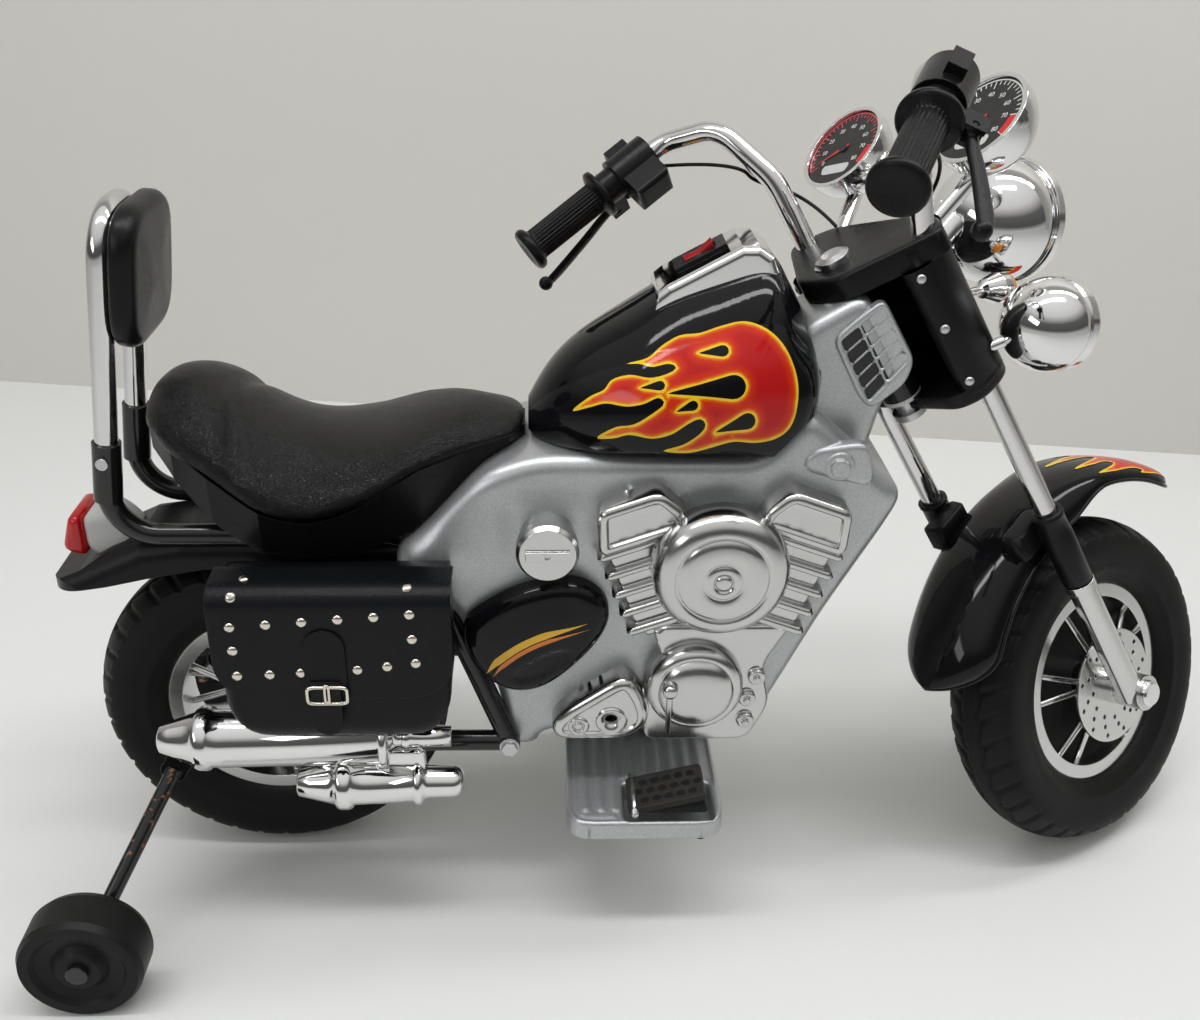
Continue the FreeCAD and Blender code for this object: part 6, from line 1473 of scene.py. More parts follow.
# %% Numbers and needles
def numerals(name, side, texts, start, finish, reach, size, material):
    """Plain numbers at even bearings: letters made a mesh first, then laid on the dial."""
    parts = []
    for text, bearing in zip(texts, np.radians(np.linspace(start, finish, len(texts)))):
        letters = bpy.data.curves.new(name, "FONT")
        letters.body, letters.size, letters.align_x, letters.align_y = text, size, "CENTER", "CENTER"
        letters.resolution_u = 3
        carrier = bpy.data.objects.new(name, letters)
        mesh = bpy.data.meshes.new_from_object(carrier)
        mesh.calc_loop_triangles()
        corners = np.empty(3 * len(mesh.loop_triangles), int)
        mesh.loop_triangles.foreach_get("vertices", corners)
        flat = coordinates(mesh)[:, :2] + reach * np.array([math.sin(bearing), math.cos(bearing)])
        parts.append((on_dial(side, flat, 0.3), corners.reshape(-1, 3)))
        bpy.data.objects.remove(carrier)
        bpy.data.meshes.remove(mesh)
        bpy.data.curves.remove(letters)
    piece = joined(name, parts, "steering", material)
    face_outwards(piece, dial_normal @ FORK_AXES)


def needle(bearing, reach, tail, half):
    """Tapered needle outline."""
    ahead = np.array([math.sin(math.radians(bearing)), math.cos(math.radians(bearing))])
    across = np.array([ahead[1], -ahead[0]])
    tip, butt = 0.3 * across, half * across
    return np.stack([-tail * ahead + butt, reach * ahead + tip, reach * ahead - tip, -tail * ahead - butt])


print("number helpers ready")

# %% Print the dials
PLATE_LINE = round_corners([(-15, -27), (15, -27), (17, -17), (-17, -17)], 4)
for side, name in ((-1, "right"), (1, "left")):
    tick_ink = white_ink if side < 0 else rose_ink
    dial_print(f"dial_ticks_{name}", side, dial_ticks(33, -DIAL_SWEEP, DIAL_SWEEP, 36.0, 4), 0.2, tick_ink)
    dial_print(f"dial_band_{name}", side, [dial_arc(36.6, 37.9, -DIAL_SWEEP, DIAL_SWEEP, 48)], 0.2, tick_ink)
    dial_print(f"dial_limit_{name}", side, [dial_arc(29.0, 36.0, 96, DIAL_SWEEP, 10)], 0.25, red_ink)
    dial_print(f"dial_plate_{name}", side, [PLATE_LINE], 0.25, plate_ink)
    tens = [str(10 * k) for k in range(9)]
    numerals(f"dial_numbers_{name}", side, tens, -DIAL_SWEEP, DIAL_SWEEP, 23.5, 6.2, white_ink)
    dial_print(f"dial_needle_{name}", side, [needle(-118, 30, 6, 1.5)], 1.0, red_ink)
    dial_print(f"dial_hub_{name}", side, [disc((0, 0), 4.2)], 1.4, dial_black)
print("dials printed")

# %% [markdown]
# ## Grips
# The soft grips have rounded ribs along them, a knob at the end and a flange at the housing: one profile,
# turned about the bar, whose radius dips between the ribs.

# %% Grips
GRIP_PROFILE = [(0, 2.2), (6, 2.1), (11, 1.2), (14.5, 0.1), (17.5, 0.3), (19.5, 2), (20.2, 5), (19.4, 7.6),
                (17, 9.6), (14.6, 10.6), *[(14.2, y) for y in (12, 14, 30, 45, 60, 76, 78)], (15.5, 79.6),
                (20.5, 80.8), (22.3, 82), (22.5, 84), (22.3, 86), (14, 86)]
BAR_END, BAR_KNEE = np.array([-121.0, -219.0, 165.0]), np.array([26.0, -166.0, 176.0])
for side, name in ((1, "right"), (-1, "left")):
    ring = turned_profile(GRIP_PROFILE, BAR_END, BAR_KNEE - BAR_END, 112, flutes=28, depth=1.5,
                          span=(10.6, 79.0))
    placed = in_fork(ring * [1, side, 1])
    grip = surface(f"grip_{name}", placed, "steering", grip_rubber, round_columns=True)
    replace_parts(grip, "hand_grips")
print("grips", len(grip.data.vertices), "points each")

# %% [markdown]
# ## Foot platforms
# Each platform is a moulded tray: a double bead runs round its rim, ridges with round ends cross its top, and
# the right one has a well that the pedal sinks into.

# %% Foot platforms
TREAD_REAR, TREAD_LENGTH, TREAD_REACH, TREAD_TOP, TREAD_THICK = 273.0, 140.0, 150.0, 125.0, 18.0
RIDGE_FIRST, RIDGE_PITCH, RIDGE_COUNT, RIDGE_HALF = 289.5, 13.5, 9, 3.1
PEDAL_WELL = [(324, -145), (404, -145), (404, -97), (324, -97)]


def on_top(flat, rise, base):
    """Points above a level base, in metres: the outline lies in X and Y."""
    return np.stack([flat[:, 0], flat[:, 1], base + rise], -1) * MM


def tread_relief(flat, gap):
    """Relief of the platform: a groove beside the rim's bead, and ridges that end in half circles."""
    x, y = flat.T
    groove = -1.3 * np.exp(-((gap - 6.0) / 1.5) ** 2)
    ridge = np.clip(np.round((x - RIDGE_FIRST) / RIDGE_PITCH), 0, RIDGE_COUNT - 1)
    nearest = ridge * RIDGE_PITCH + RIDGE_FIRST
    beyond = np.clip(-TREAD_REACH + 19.0 - y, 0, None)
    away = np.hypot(x - nearest, beyond)
    return groove + 1.5 * (1 - smooth_step(away, RIDGE_HALF - 0.9, RIDGE_HALF + 0.9))


TREAD_FRONT = TREAD_REAR + TREAD_LENGTH
TREAD_LINE = round_corners([(TREAD_REAR, -0.3), (TREAD_REAR, -TREAD_REACH), (TREAD_FRONT, -TREAD_REACH),
                            (TREAD_FRONT, -0.3)], 24)
FOOT_PROFILE = [(0, 0), (5.5, 0), (6.5, 1.5), (6.5, 9.5), (0, 9.5)]
under_flat, under_corners, under_gap = net([TREAD_LINE], 12.0)
underside = on_top(under_flat, 0 * under_gap, TREAD_TOP - TREAD_THICK), under_corners[:, ::-1]
for name, wells in (("right", [round_corners(PEDAL_WELL, 5)]), ("left", [])):
    part = boss(TREAD_LINE, TREAD_TOP - TREAD_THICK, TREAD_THICK, 4.0, 1.9, wells, tread_relief, on_top)
    tread = joined(f"foot_tread_{name}", [part, underside], "chassis", silver)
    if name == "left":
        tread.data.transform(Matrix.Diagonal((1, -1, 1, 1)))
        tread.data.flip_normals()
    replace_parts(tread, f"foot_platform_{name}")
    foot_at = (TREAD_FRONT - 20, -136.0 if name == "right" else 136.0, 98)
    rubber_foot = turned_profile(FOOT_PROFILE, foot_at, (0, 0, 1), 24)
    surface(f"tread_foot_{name}", rubber_foot * MM, "chassis", grip_rubber, round_columns=True)
print("platform", len(tread.data.polygons), "faces")

# %% [markdown]
# ## Accelerator pedal
# The pedal is a hollow black wedge on a hinge at its rear. Its plate has three rows of round dimples, with
# black discs in them as painted shade, and a skirt below it closes the gap to the platform.

# %% Accelerator pedal
PEDAL_PIVOT, PEDAL_TILT, PEDAL_HALF = np.array([333.0, -121.0, 132.0]), math.radians(14.0), 22.0
DIMPLE_FIRST, DIMPLE_PITCH, DIMPLE_ROW, DIMPLE_SHIFT = 10.0, 10.8, 12.0, 5.0
pedal_ahead = np.array([math.cos(PEDAL_TILT), 0.0, math.sin(PEDAL_TILT)])
pedal_up = np.array([-math.sin(PEDAL_TILT), 0.0, math.cos(PEDAL_TILT)])


def on_pedal(flat, rise, base):
    """Points of the pedal, given ahead of its hinge and to the left, above its plate."""
    points = (PEDAL_PIVOT + flat[:, :1] * pedal_ahead + flat[:, 1:] * [0.0, 1.0, 0.0]
              + (base + rise)[:, None] * pedal_up)
    return points * MM


def pedal_dimples(flat, gap):
    """Round dimples in three staggered rows, sunk inside the plate's rim."""
    x, y = flat.T
    row = np.clip(np.round(y / DIMPLE_ROW), -1, 1)
    start = DIMPLE_FIRST - np.where(row == 0, DIMPLE_SHIFT, 0.0)
    count = np.where(row == 0, 5, 4)
    column = np.clip(np.round((x - start) / DIMPLE_PITCH), 0, count)
    away = np.hypot(x - start - DIMPLE_PITCH * column, y - DIMPLE_ROW * row)
    return -1.6 * (1 - smooth_step(away, 3.0, 4.4)) - 0.5 * smooth_step(gap, 2.4, 3.4)


PEDAL_LINE = round_corners([(-6, -PEDAL_HALF), (64, -PEDAL_HALF), (64, PEDAL_HALF), (-6, PEDAL_HALF)], 5)
SKIRT_LINE = round_corners([(2, -20.5), (62.5, -20.5), (62.5, 20.5), (2, 20.5)], 4)
plate = boss(PEDAL_LINE, -3.0, 6.0, 1.6, 1.5, (), pedal_dimples, on_pedal)
skirt_flat, skirt_corners, skirt_gap = net([SKIRT_LINE], 3.0, np.array([0.6]))
drop = np.where(skirt_gap > 1e-3, 2.0, -np.clip(0.25 * skirt_flat[:, 0] + 3.0, 3.0, 19.0))
pedal_rubber = rubber("pedal_rubber", (0.030, 0.028, 0.026), 0.40, 0.55, 500.0, 0.08)
pedal = joined("pedal_plate", [plate], "accelerator_pedal", pedal_rubber)
skirt_part = on_pedal(skirt_flat, drop, 0.0), skirt_corners
skirt = joined("pedal_skirt", [skirt_part], "accelerator_pedal", soft_black)
dimple_at = [(DIMPLE_FIRST + DIMPLE_PITCH * k - (DIMPLE_SHIFT if row == 0 else 0.0), DIMPLE_ROW * row)
             for row in (-1, 0, 1) for k in range(6 if row == 0 else 5)]
# Black discs in the dimples are painted shade.
dimple_shade_parts = []
for dimple in dimple_at:
    flat, corners, gap = net([disc(dimple, 3.7, 16)], 3.0)
    dimple_shade_parts.append((on_pedal(flat, 0 * gap, 1.3), corners))
joined("pedal_dimples", dimple_shade_parts, "accelerator_pedal", soft_black)
for part in (pedal, skirt):
    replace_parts(part, "accelerator_pedal")
pin = turned_profile([(0, -27.5), (3, -27.5), (3, 27.5), (0, 27.5)], PEDAL_PIVOT, (0, 1, 0), 20)
surface("pedal_pin", pin * MM, "accelerator_pedal", bare_steel, round_columns=True)
print("pedal", len(pedal.data.polygons), "faces")

# %% [markdown]
# ## Yoke
# The steered box is a black moulding with soft corners: a top plate that clamps the bars, walls that wrap the
# nose, and a floor. Three screws close it on each side, and a hexagon head sits in the plate.

# %% Yoke
YOKE_TOP, YOKE_UNDER, YOKE_FLOOR, YOKE_BORE = 52.0, 32.0, -98.0, 56.0


def both_sides(half_outline):
    """Closed outline from its left half, listed from front to rear."""
    half = np.asarray(half_outline, float)
    return np.vstack([half, half[::-1] * [1, -1]])


def on_yoke(flat, rise, base):
    """Points of the yoke in metres, above a height on the steering axis."""
    return in_fork(np.stack([flat[:, 0], flat[:, 1], base + rise], -1))


def under_yoke(flat, rise, base):
    """Points of the yoke in metres, below a height on the steering axis."""
    return on_yoke(flat, -rise, base)


def turned_over(part):
    """Plate that was made downwards, with its faces turned the right way."""
    return part[0], part[1][:, ::-1]


bore_turn = np.linspace(1.50, -1.50, 40)
bore_arc = YOKE_BORE * np.stack([np.cos(bore_turn), np.sin(bore_turn)], -1)
wall_half = np.array([(63.5, 48), (56, 69), (40, 76.5), (14, 76.5), (2.5, 66)])
yoke_walls = round_corners(np.vstack([wall_half, bore_arc, wall_half[::-1] * [1, -1]]), 11)
plate_line = round_corners(both_sides([(64, 50), (56, 68), (40, 84), (30, 84), (-28, 22)]), 12)
floor_line = round_corners(both_sides([(63.5, 48), (56, 69), (40, 76.5), (14, 76.5), (-5, 60)]), 11)
yoke_parts = [boss(plate_line, YOKE_UNDER, YOKE_TOP - YOKE_UNDER, 4.5, 5.0, place_on=on_yoke),
              turned_over(boss(plate_line, YOKE_UNDER, 1.0, 0.8, 9.0, place_on=under_yoke)),
              turned_over(boss(yoke_walls, YOKE_UNDER, 122.0, 3.0, 5.0, place_on=under_yoke)),
              turned_over(boss(floor_line, YOKE_FLOOR + 14, 14.0, 5.0, 5.0, place_on=under_yoke)),
              boss(floor_line, YOKE_FLOOR + 12, 2.4, 1.0, 8.0, place_on=on_yoke)]
yoke = joined("yoke_moulding", yoke_parts, "steering", satin_black)
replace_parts(yoke, "fork_yoke")
print("yoke", len(yoke.data.polygons), "faces")

# %% Screws of the yoke
SCREW_PLACES = [(8.2, 71.0, 24.0), (8.2, 71.0, -24.0), (8.2, 71.0, -76.0)]
SCREW_LEAN = np.array([-0.67, 0.74])
screw_at = np.array([(a, side * l, h) for side in (-1, 1) for a, l, h in SCREW_PLACES])
screw_axes = np.array([[SCREW_LEAN[0], side * SCREW_LEAN[1], 0.0] for side in (-1, 1) for _ in SCREW_PLACES])
screw_axes = screw_axes @ FORK_AXES
points, faces = domes(in_fork(screw_at), screw_axes, 4.0 * MM, 1.8 * MM)
yoke_screws = new_piece("yoke_screws", points, faces, "steering", bare_steel)
tidy_normals(yoke_screws)
NUT_AT = (-4.0, 9.0)
nut_line = round_corners(hexagon(NUT_AT, 13.0), 0.8, 3)
nut_parts = [boss(nut_line, YOKE_TOP - 1, 6.5, 1.2, 2.0, place_on=on_yoke),
             boss(disc(NUT_AT, 9.5), YOKE_TOP - 1, 2.4, 0.8, 2.4, place_on=on_yoke)]
joined("yoke_nut", nut_parts, "steering", bare_steel)
print("yoke screws", len(screw_at))

# %% [markdown]
# ## Brake levers
# A lever is a broad flat blade that runs beside the grip and ends in a ball. The blade is a flat oval carried
# along a bent line, in axes that follow the bar.

# %% Brake levers
LEVER_LINE = [(91.4, -27), (74, -31.5), (56, -38.5), (30, -47.5), (8, -54.5), (3, -56)]
LEVER_LEAN, LEVER_INNER = np.array([0.30, -0.58, -0.76]), 3.6
LEVER_PIVOT = (0, 91.4, -27)
bar_in = unit(BAR_KNEE - BAR_END)
lever_up = unit(-(LEVER_LEAN - (LEVER_LEAN @ bar_in) * bar_in))
lever_out = np.cross(bar_in, lever_up)


def beside_bar(points):
    """Fork points of places given across, along and above the right grip."""
    points = np.asarray(points, float)
    return BAR_END + points[..., :1] * lever_out + points[..., 1:2] * bar_in + points[..., 2:] * lever_up


def lever_blade(steps):
    """Flat oval carried along the lever's line, widest before its ball and widened away from the grip only,
    closed at both ends."""
    line = curve_through(LEVER_LINE, 8)
    run = unit(np.gradient(line, axis=0))
    across = np.stack([-run[:, 1], run[:, 0]], -1)
    share = np.linspace(0, 1, len(line))
    wide = np.interp(share, [0, 0.25, 0.7, 1], [4.2, 5.4, 6.2, 4.8])
    thick = np.interp(share, [0, 0.25, 0.7, 1], [3.6, 2.9, 2.6, 3.0])
    wide[[0, -1]], thick[[0, -1]] = 0.0, 0.0
    turn = round_turn(steps)
    grid = np.empty((len(line), steps, 3))
    grid[..., 0] = thick[:, None] * np.cos(turn)
    shift = wide[:, None] * np.sin(turn) + np.clip(wide - LEVER_INNER, 0, None)[:, None]
    grid[..., 1] = line[:, :1] + shift * across[:, :1]
    grid[..., 2] = line[:, 1:] + shift * across[:, 1:]
    return beside_bar(grid)


def plain_pin(radius, half):
    """Profile of a pin by its radius and half its length."""
    return [(0, -half), (radius, -half), (radius, half), (0, half)]


BALL = [(6.6 * math.sin(t), -6.6 * math.cos(t)) for t in np.linspace(0, math.pi, 13)]
for side, name in ((1, "right"), (-1, "left")):
    forms = [lever_blade(24), turned_profile(BALL, beside_bar((0, 2, -56)), bar_in, 24),
             turned_profile(plain_pin(6, 4.2), beside_bar(LEVER_PIVOT), lever_out, 24),
             turned_profile(plain_pin(2.5, 7.6), beside_bar(LEVER_PIVOT), lever_out, 16)]
    parts = [(in_fork(form * [1, side, 1]).reshape(-1, 3), grid_faces(*form.shape[:2], round_columns=True))
             for form in forms]
    lever = joined(f"brake_blade_{name}", parts, f"brake_lever_{name}", satin_black)
    tidy_normals(lever)
    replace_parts(lever, f"brake_lever_{name}")
print("lever", len(lever.data.vertices), "points")

# %% [markdown]
# ## Backrest
# The backrest is a hard pad with a softly crowned face and broad rounded edges, ahead of the sissy bar.

# %% Backrest
SISSY_X, SISSY_Z, REST_Z, REST_AHEAD, REST_LEAN = -116.0, 356.0, 522.0, 9.8, math.radians(7.0)
REST_FOOT = np.array([SISSY_X + (REST_Z - SISSY_Z) * math.tan(REST_LEAN), 0.0, REST_Z])
rest_ahead = np.array([math.cos(REST_LEAN), 0.0, -math.sin(REST_LEAN)])
rest_up = np.array([math.sin(REST_LEAN), 0.0, math.cos(REST_LEAN)])
REST_LINE = round_corners([(-59, 0), (59, 0), (59, 115), (-59, 115)], 40, 9)


def on_rest(flat, rise, base):
    """Points of the backrest in metres: to the left, up its lean, and ahead of the sissy bar."""
    ahead = (REST_AHEAD + base + rise)[:, None] * rest_ahead
    return (REST_FOOT + flat[:, :1] * [0, 1, 0] + flat[:, 1:] * rest_up + ahead) * MM


def behind_rest(flat, rise, base):
    """Points of the backrest's rear face."""
    return on_rest(flat, -rise, base)


def rest_crown(flat, gap):
    """Crown of the face: a little fuller towards the middle."""
    return 2.5 * smooth_step(gap, 4, 50) - 2.5


rest_parts = [boss(REST_LINE, 9.0, 14.0, 10.0, 5.0, shape=rest_crown, place_on=on_rest),
              turned_over(boss(REST_LINE, 9.0, 9.0, 6.0, 6.0, place_on=behind_rest))]
rest = joined("backrest_moulding", rest_parts, "chassis", satin_black)
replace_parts(rest, "backrest_pad")
print("backrest", len(rest.data.polygons), "faces")

# %% [markdown]
# ## Front fender
# The fender is one blown shell: a round section carried about the axle, deeper behind the fork than ahead of
# it, with both ends rounded in plan and a rolled bead along its edge. Black sleeves clamp it to the fork.

# %% Front fender
FENDER_CROWN, FENDER_WIDE = 222.0, 48.0
FENDER_FIRST, FENDER_LAST = math.radians(26.0), math.radians(138.0)


def fender_point(turn, sweep, lift=0.0):
    """Point of the fender's skin, in metres: a turn about the axle, and a sweep from one edge to the other
    that goes round a flattened half ellipse."""
    ends = np.minimum(turn - FENDER_FIRST, FENDER_LAST - turn) * FENDER_CROWN
    plan = FENDER_WIDE * np.sqrt(np.clip(1 - (1 - np.clip(ends / FENDER_WIDE, 0, 1)) ** 2, 0, 1))
    behind = smooth_step(turn, math.radians(62), math.radians(80))
    deep = (20.0 + 15.0 * behind) * np.clip(plan / FENDER_WIDE, 0, 1)
    angle = sweep * np.pi / 2
    across = squared(np.sin(angle), 0.85)
    radius = FENDER_CROWN + lift - deep * (1 - np.abs(np.cos(angle)) ** 0.85)
    y = (plan + 0.6 * lift) * across
    return in_fork(FRONT_AXLE + np.stack([radius * np.cos(turn), y, radius * np.sin(turn)], -1))


turns = FENDER_FIRST + (FENDER_LAST - FENDER_FIRST) * (1 - np.cos(np.linspace(0, np.pi, 72))) / 2
turn_grid, sweep_grid = np.meshgrid(turns, np.linspace(-1, 1, 41), indexing="ij")
fender = surface("fender_shell", fender_point(turn_grid, sweep_grid), "steering", gloss_black)
face_outwards(fender, fork_up)
modified(fender, "SOLIDIFY", thickness=0.0026, offset=-1.0)
applied(fender)
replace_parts(fender, "front_fender")
print("fender", len(fender.data.polygons), "faces")


# %% Bead along the fender's edge
def bead(name, route, radius, body, material):
    """Round bead along a closed line: circles square to the line, in axes turned with it."""
    run = unit(np.roll(route, -1, 0) - np.roll(route, 1, 0))
    first = unit(np.cross(run, fork_left))
    second = np.cross(run, first)
    turn = round_turn(10)[:, None]
    grid = route[:, None] + radius * (np.cos(turn) * first[:, None] + np.sin(turn) * second[:, None])
    return surface(name, grid, body, material, round_rows=True, round_columns=True)


back = turns[-2:0:-1]
edge_route = np.vstack([fender_point(turns, 0 * turns + 1.0), fender_point(back, 0 * back - 1.0)])
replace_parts(bead("fender_bead", edge_route, 0.0019, "steering", gloss_black), "front_fender")
print("bead of", len(edge_route), "circles")

# %% Sleeves on the fork
LEG_AHEAD, LEG_SPREAD = 30.0, 65.0
SLEEVE = [(10, -317), (13, -317), (14, -315), (14, -262), (13.2, -258), (13.2, -242), (14.2, -240),
          (14.2, -236), (10, -236)]
sleeve_parts = []
for side in (-1, 1):
    form = turned_profile(SLEEVE, (LEG_AHEAD, side * LEG_SPREAD, 0), (0, 0, 1), 32)
    sleeve_parts.append((in_fork(form).reshape(-1, 3), grid_faces(*form.shape[:2], round_columns=True)))
    tab = np.array([(-6, 34), (38, 34), (40, 54), (-6, 56)]) * [1, side]
    tab_line = round_corners(tab[::side], 6)
    sleeve_parts.append(boss(tab_line, -266.0, 24.0, 4.0, 4.0, place_on=on_yoke))
    sleeve_parts.append(turned_over(boss(tab_line, -265.0, 3.0, 2.0, 6.0, place_on=under_yoke)))
sleeves = joined("fender_sleeves", sleeve_parts, "steering", satin_black)
tidy_normals(sleeves)
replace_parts(sleeves, "front_fender")
print("sleeves", len(sleeves.data.polygons), "faces")

# %% Fender flames
FENDER_HALF = [(4, 0), (5, 14), (10, 27), (20, 37), (34, 43), (50, 46), (64, 50), (82, 52), (76, 46),
               (88, 43), (106, 45), (124, 46), (146, 42), (128, 38), (114, 33), (110, 28), (118, 24),
               (136, 25), (160, 21), (136, 17), (118, 13), (110, 9), (116, 5), (140, 3), (168, 0)]
fender_line = np.vstack([FENDER_HALF, np.array(FENDER_HALF[-2:0:-1]) * [1, -1]])
flat, corners, gap = net([curve_through(fender_line, 4, closed=True)], 4.0, np.array([1.5, 3.2]))
print_turn = FENDER_FIRST + flat[:, 0] / FENDER_CROWN
plan_here = np.interp(flat[:, 0], [0, 6, 14, 26, 48], [2, 28, 40, 50, 58])
print_sweep = np.clip(flat[:, 1] / plan_here, -1, 1) * 0.92
print_points = fender_point(print_turn, print_sweep, 0.5)
fender_print = new_piece("fender_flames", print_points, corners, "steering", flame_ink)
face_outwards(fender_print, fork_up)
print_rim(fender_print, gap)
print("fender flames", len(fender_print.data.polygons), "faces")

# %% [markdown]
# ## Wheel cores, mufflers and tail lamp
# Behind the bright spokes of the front wheel is a black core. The mufflers are plated tubes with tapered
# ends, each a turned profile. The tail lamp is a red lens on a pale housing.

# %% Wheel core
CORE_PROFILE = [(14, -6), (92, -6), (97, -12), (97, 12), (92, 6), (14, 6), (14, -6)]
core = turned_profile(CORE_PROFILE, FRONT_AXLE, (0, 1, 0), 72)
surface("front_wheel_core", in_fork(core), "front_wheel", soft_black, round_columns=True)
print("wheel core made")

# %% Mufflers
UPPER_PIPE = [(-80, 0), (-80, 10.5), (-78.5, 12.6), (-70, 15.4), (-56, 21), (-50, 23.6), (-48, 25),
              (-46, 27.3), (-43, 28.2), (-37, 28.2), (-34, 27.2), (-32.5, 25.4), (-20, 25.2), (110, 24.6),
              (111, 26.4), (113, 27), (116, 27), (118, 25.6), (119.5, 20), (122, 13), (126, 10.4),
              (129, 10.2), (131, 12), (135, 12), (137, 10.2), (150, 9.6), (172, 9.2), (172, 0)]
LOWER_PIPE = [(38, 0), (38, 10), (39.5, 11.8), (50, 14), (66, 17.8), (71, 19.4), (73, 22.4), (76, 23.6),
              (83, 23.6), (86, 22.2), (88, 19.4), (100, 19), (139, 18.2), (140.5, 20), (143, 20.6), (146, 20),
              (148, 16), (152, 14.2), (174, 13.6), (179, 12), (182.5, 8), (183, 0)]
MUFFLER_Y, MUFFLER_Z = 108.0, 190.0
UPPER_AXIS = np.array([0.0, -MUFFLER_Y, MUFFLER_Z])
LOWER_AXIS = np.array([0.0, -MUFFLER_Y - 14.0, MUFFLER_Z - 39.0])
for name, line, axis in (("upper", UPPER_PIPE, UPPER_AXIS), ("lower", LOWER_PIPE, LOWER_AXIS)):
    profile = np.array(line, float)[:, ::-1]
    shape = turned_profile(profile, axis, (1, 0, 0), 56) * MM
    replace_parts(surface(f"muffler_{name}", shape, "chassis", plated, round_columns=True), "exhaust")
strap_line = round_corners([(60, LOWER_AXIS[2] + 6), (150, LOWER_AXIS[2] + 6), (150, UPPER_AXIS[2] - 6),
                            (60, UPPER_AXIS[2] - 6)], 4)
bracket = [boss(strap_line, MUFFLER_Y + 8.0, 8.0, 1.5, 8.0)]
bracket += [boss(disc((x, 171), 4.5), MUFFLER_Y + 14.0, 4.4, 1.6, 2.0) for x in (112, 76)]
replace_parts(joined("muffler_bracket", bracket, "chassis", plated), "exhaust")
print("mufflers turned")

# %% Tail lamp
LENS_LINE = round_corners([(-145, 323), (-167, 330), (-157, 364), (-145, 363)], 8)
LAMP_BACK = round_corners([(-100, 336), (-112, 353), (-128, 365), (-146, 363), (-146, 329), (-126, 318)], 9)
lamp_grey = black_moulding("lamp_grey", (0.46, 0.46, 0.45), 0.25, 0.38, 0.0, 500.0, 0.05)
for name, line, half, round_edge, material, node in (
        ("tail_lens", LENS_LINE, 27.0, 8.0, red_lens, "tail_lamp_lens"),
        ("tail_housing", LAMP_BACK, 24.0, 7.0, lamp_grey, "tail_lamp_housing")):
    right_half = joined(f"{name}_right", [boss(line, 0.0, half, round_edge, 3.0)], "chassis", material)
    paired(right_half, node)
print("tail lamp made")

# %% Small fittings of the engine
KNOB_PROFILE = [(0, 24), (6, 24), (6.6, 26), (6.6, 41), (5.6, 43.5), (3, 44.6), (0, 44.8)]
ROD_PROFILE = [(0, 0), (2.4, 0.4), (2.6, 2), (2.6, 46), (0, 46.4)]
knob = flank_turned("timing_knob_right", KNOB_PROFILE, (362, 238), BODY_HALF, "chassis", engine_plating, 28)
rod_shape = turned_profile(ROD_PROFILE, (362, -BODY_HALF - 38, 240), (0, 0, -1), 16)
rod = surface("timing_rod_right", rod_shape * MM, "chassis", engine_plating, round_columns=True)
for part in (knob, rod):
    paired(part)
print("fittings added")

# %% [markdown]
# ## Stage and light
# The bike stands on a pale floor in front of a plain wall. The wall shows only from its front, so that it
# never hides the bike from behind. Two long soft lamps overhead and a weaker one from the side light it,
# and the sky is darker near the horizon, which gives plated parts their dark bands.


# %% Floor and wall
def stage_finish(name, colour, one_sided):
    """Matt stage paint, seen from its front only where that is asked."""
    material, tree, shader = finish(name, colour, 0.6)
    tint(tree, shader, noise(tree, 1.2, 3.0), colour, scaled(colour, 0.97))
    if one_sided:
        clear = add(tree, "BsdfTransparent").outputs[0]
        behind = add(tree, "NewGeometry").outputs["Backfacing"]
        mixed = add(tree, "MixShader", None, _0=behind, _1=shader.outputs[0], _2=clear).outputs[0]
        tree.links.new(mixed, tree.nodes["Material Output"].inputs["Surface"])
    return material


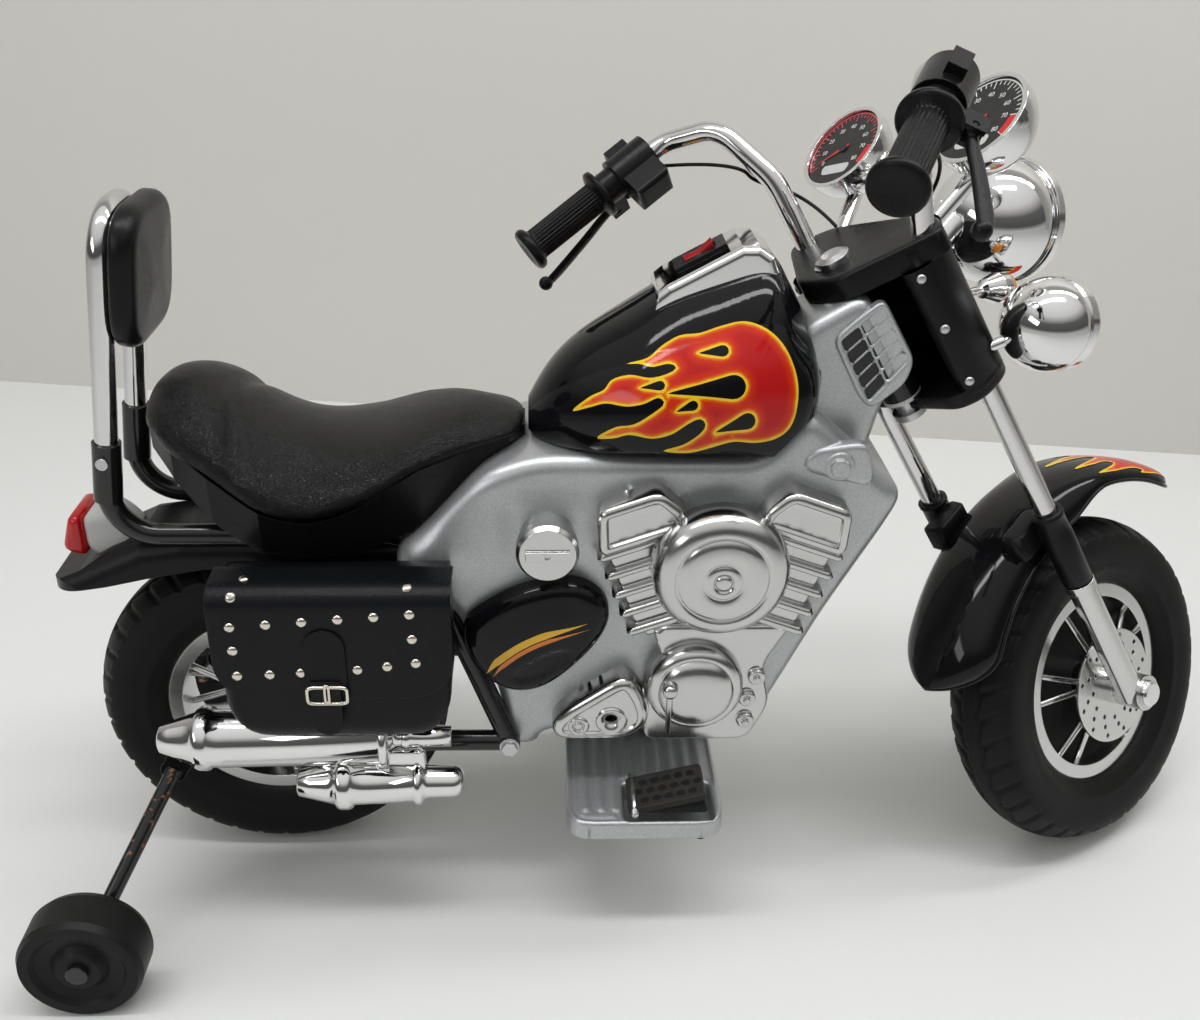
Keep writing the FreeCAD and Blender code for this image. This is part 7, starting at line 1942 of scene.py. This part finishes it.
floor_paint = stage_finish("floor_paint", (0.74, 0.75, 0.74), False)
wall_paint = stage_finish("wall_paint", (0.70, 0.685, 0.645), True)
STAGE_HALF, WALL_HEIGHT, WALL_FOOT = 9.0, np.array([0.0, 0.0, 4.0]), np.array([0.3, 1.051, 0.0])
floor_corners = STAGE_HALF * np.array([(-1, -1, 0), (1, -1, 0), (1, 1, 0), (-1, 1, 0)], float)
along_wall = STAGE_HALF * unit(np.array([2.125, -0.3215, 0.0]))
wall_ends = np.stack([WALL_FOOT - along_wall, WALL_FOOT + along_wall])
wall_corners = np.vstack([wall_ends, wall_ends[::-1] + WALL_HEIGHT])
new_piece("floor", floor_corners, [[0, 1, 2, 3]], None, floor_paint)
new_piece("wall", wall_corners, [[0, 1, 2, 3]], None, wall_paint)
print("floor and wall set")


# %% Lamps and sky
def lamp(name, place_at, towards, size, watts):
    """Rectangular soft lamp at a point, aimed at another."""
    light = bpy.data.lights.new(name, "AREA")
    light.shape = "RECTANGLE"
    light.size, light.size_y = size
    light.energy = watts
    obj = bpy.data.objects.new(name, light)
    scene.collection.objects.link(obj)
    back = unit(np.array(place_at, float) - np.array(towards, float))
    right = unit(np.cross([0, 1, 0.001], back))
    obj.matrix_world = frame_matrix(right, np.cross(back, right), back, place_at)


lamp("ceiling", (0.2, -0.4, 2.3), (0.3, 0.0, 0.3), (2.4, 0.22), 23)
lamp("ceiling_far", (1.4, 0.3, 2.3), (0.5, 0.0, 0.3), (1.8, 0.2), 12)
lamp("side", (-1.7, -1.6, 1.5), (0.3, 0.0, 0.4), (0.5, 1.4), 9)
world = bpy.data.worlds.new("studio")
scene.world = world
world.use_nodes = True
sky = world.node_tree
height = add(sky, "SeparateXYZ", None, Vector=add(sky, "TexCoord").outputs["Generated"]).outputs["Z"]
ramp = add(sky, "ValToRGB", None, Fac=ranged(sky, height, -1.0, 1.0, 0.0, 1.0))
stops = ramp.color_ramp.elements
stops[0].position, stops[0].color = 0.0, (0.72, 0.72, 0.70, 1)
stops[1].position, stops[1].color = 1.0, (1.0, 1.0, 1.0, 1)
for position, tone in ((0.46, 0.50), (0.52, 0.09), (0.66, 0.13), (0.80, 0.75)):
    stop = stops.new(position)
    stop.color = (tone, tone * 0.99, tone * 0.97, 1)
sky.links.new(ramp.outputs[0], sky.nodes["Background"].inputs["Color"])
sky.nodes["Background"].inputs["Strength"].default_value = 0.9
scene.view_settings.view_transform = "Standard"
print("lamps and sky ready")

# %% [markdown]
# ## Last update
# The view layer is brought up to date once every piece stands. The dressed bike has to
# fill the same box as its solids.

# %% Update the view layer
bpy.context.view_layer.update()
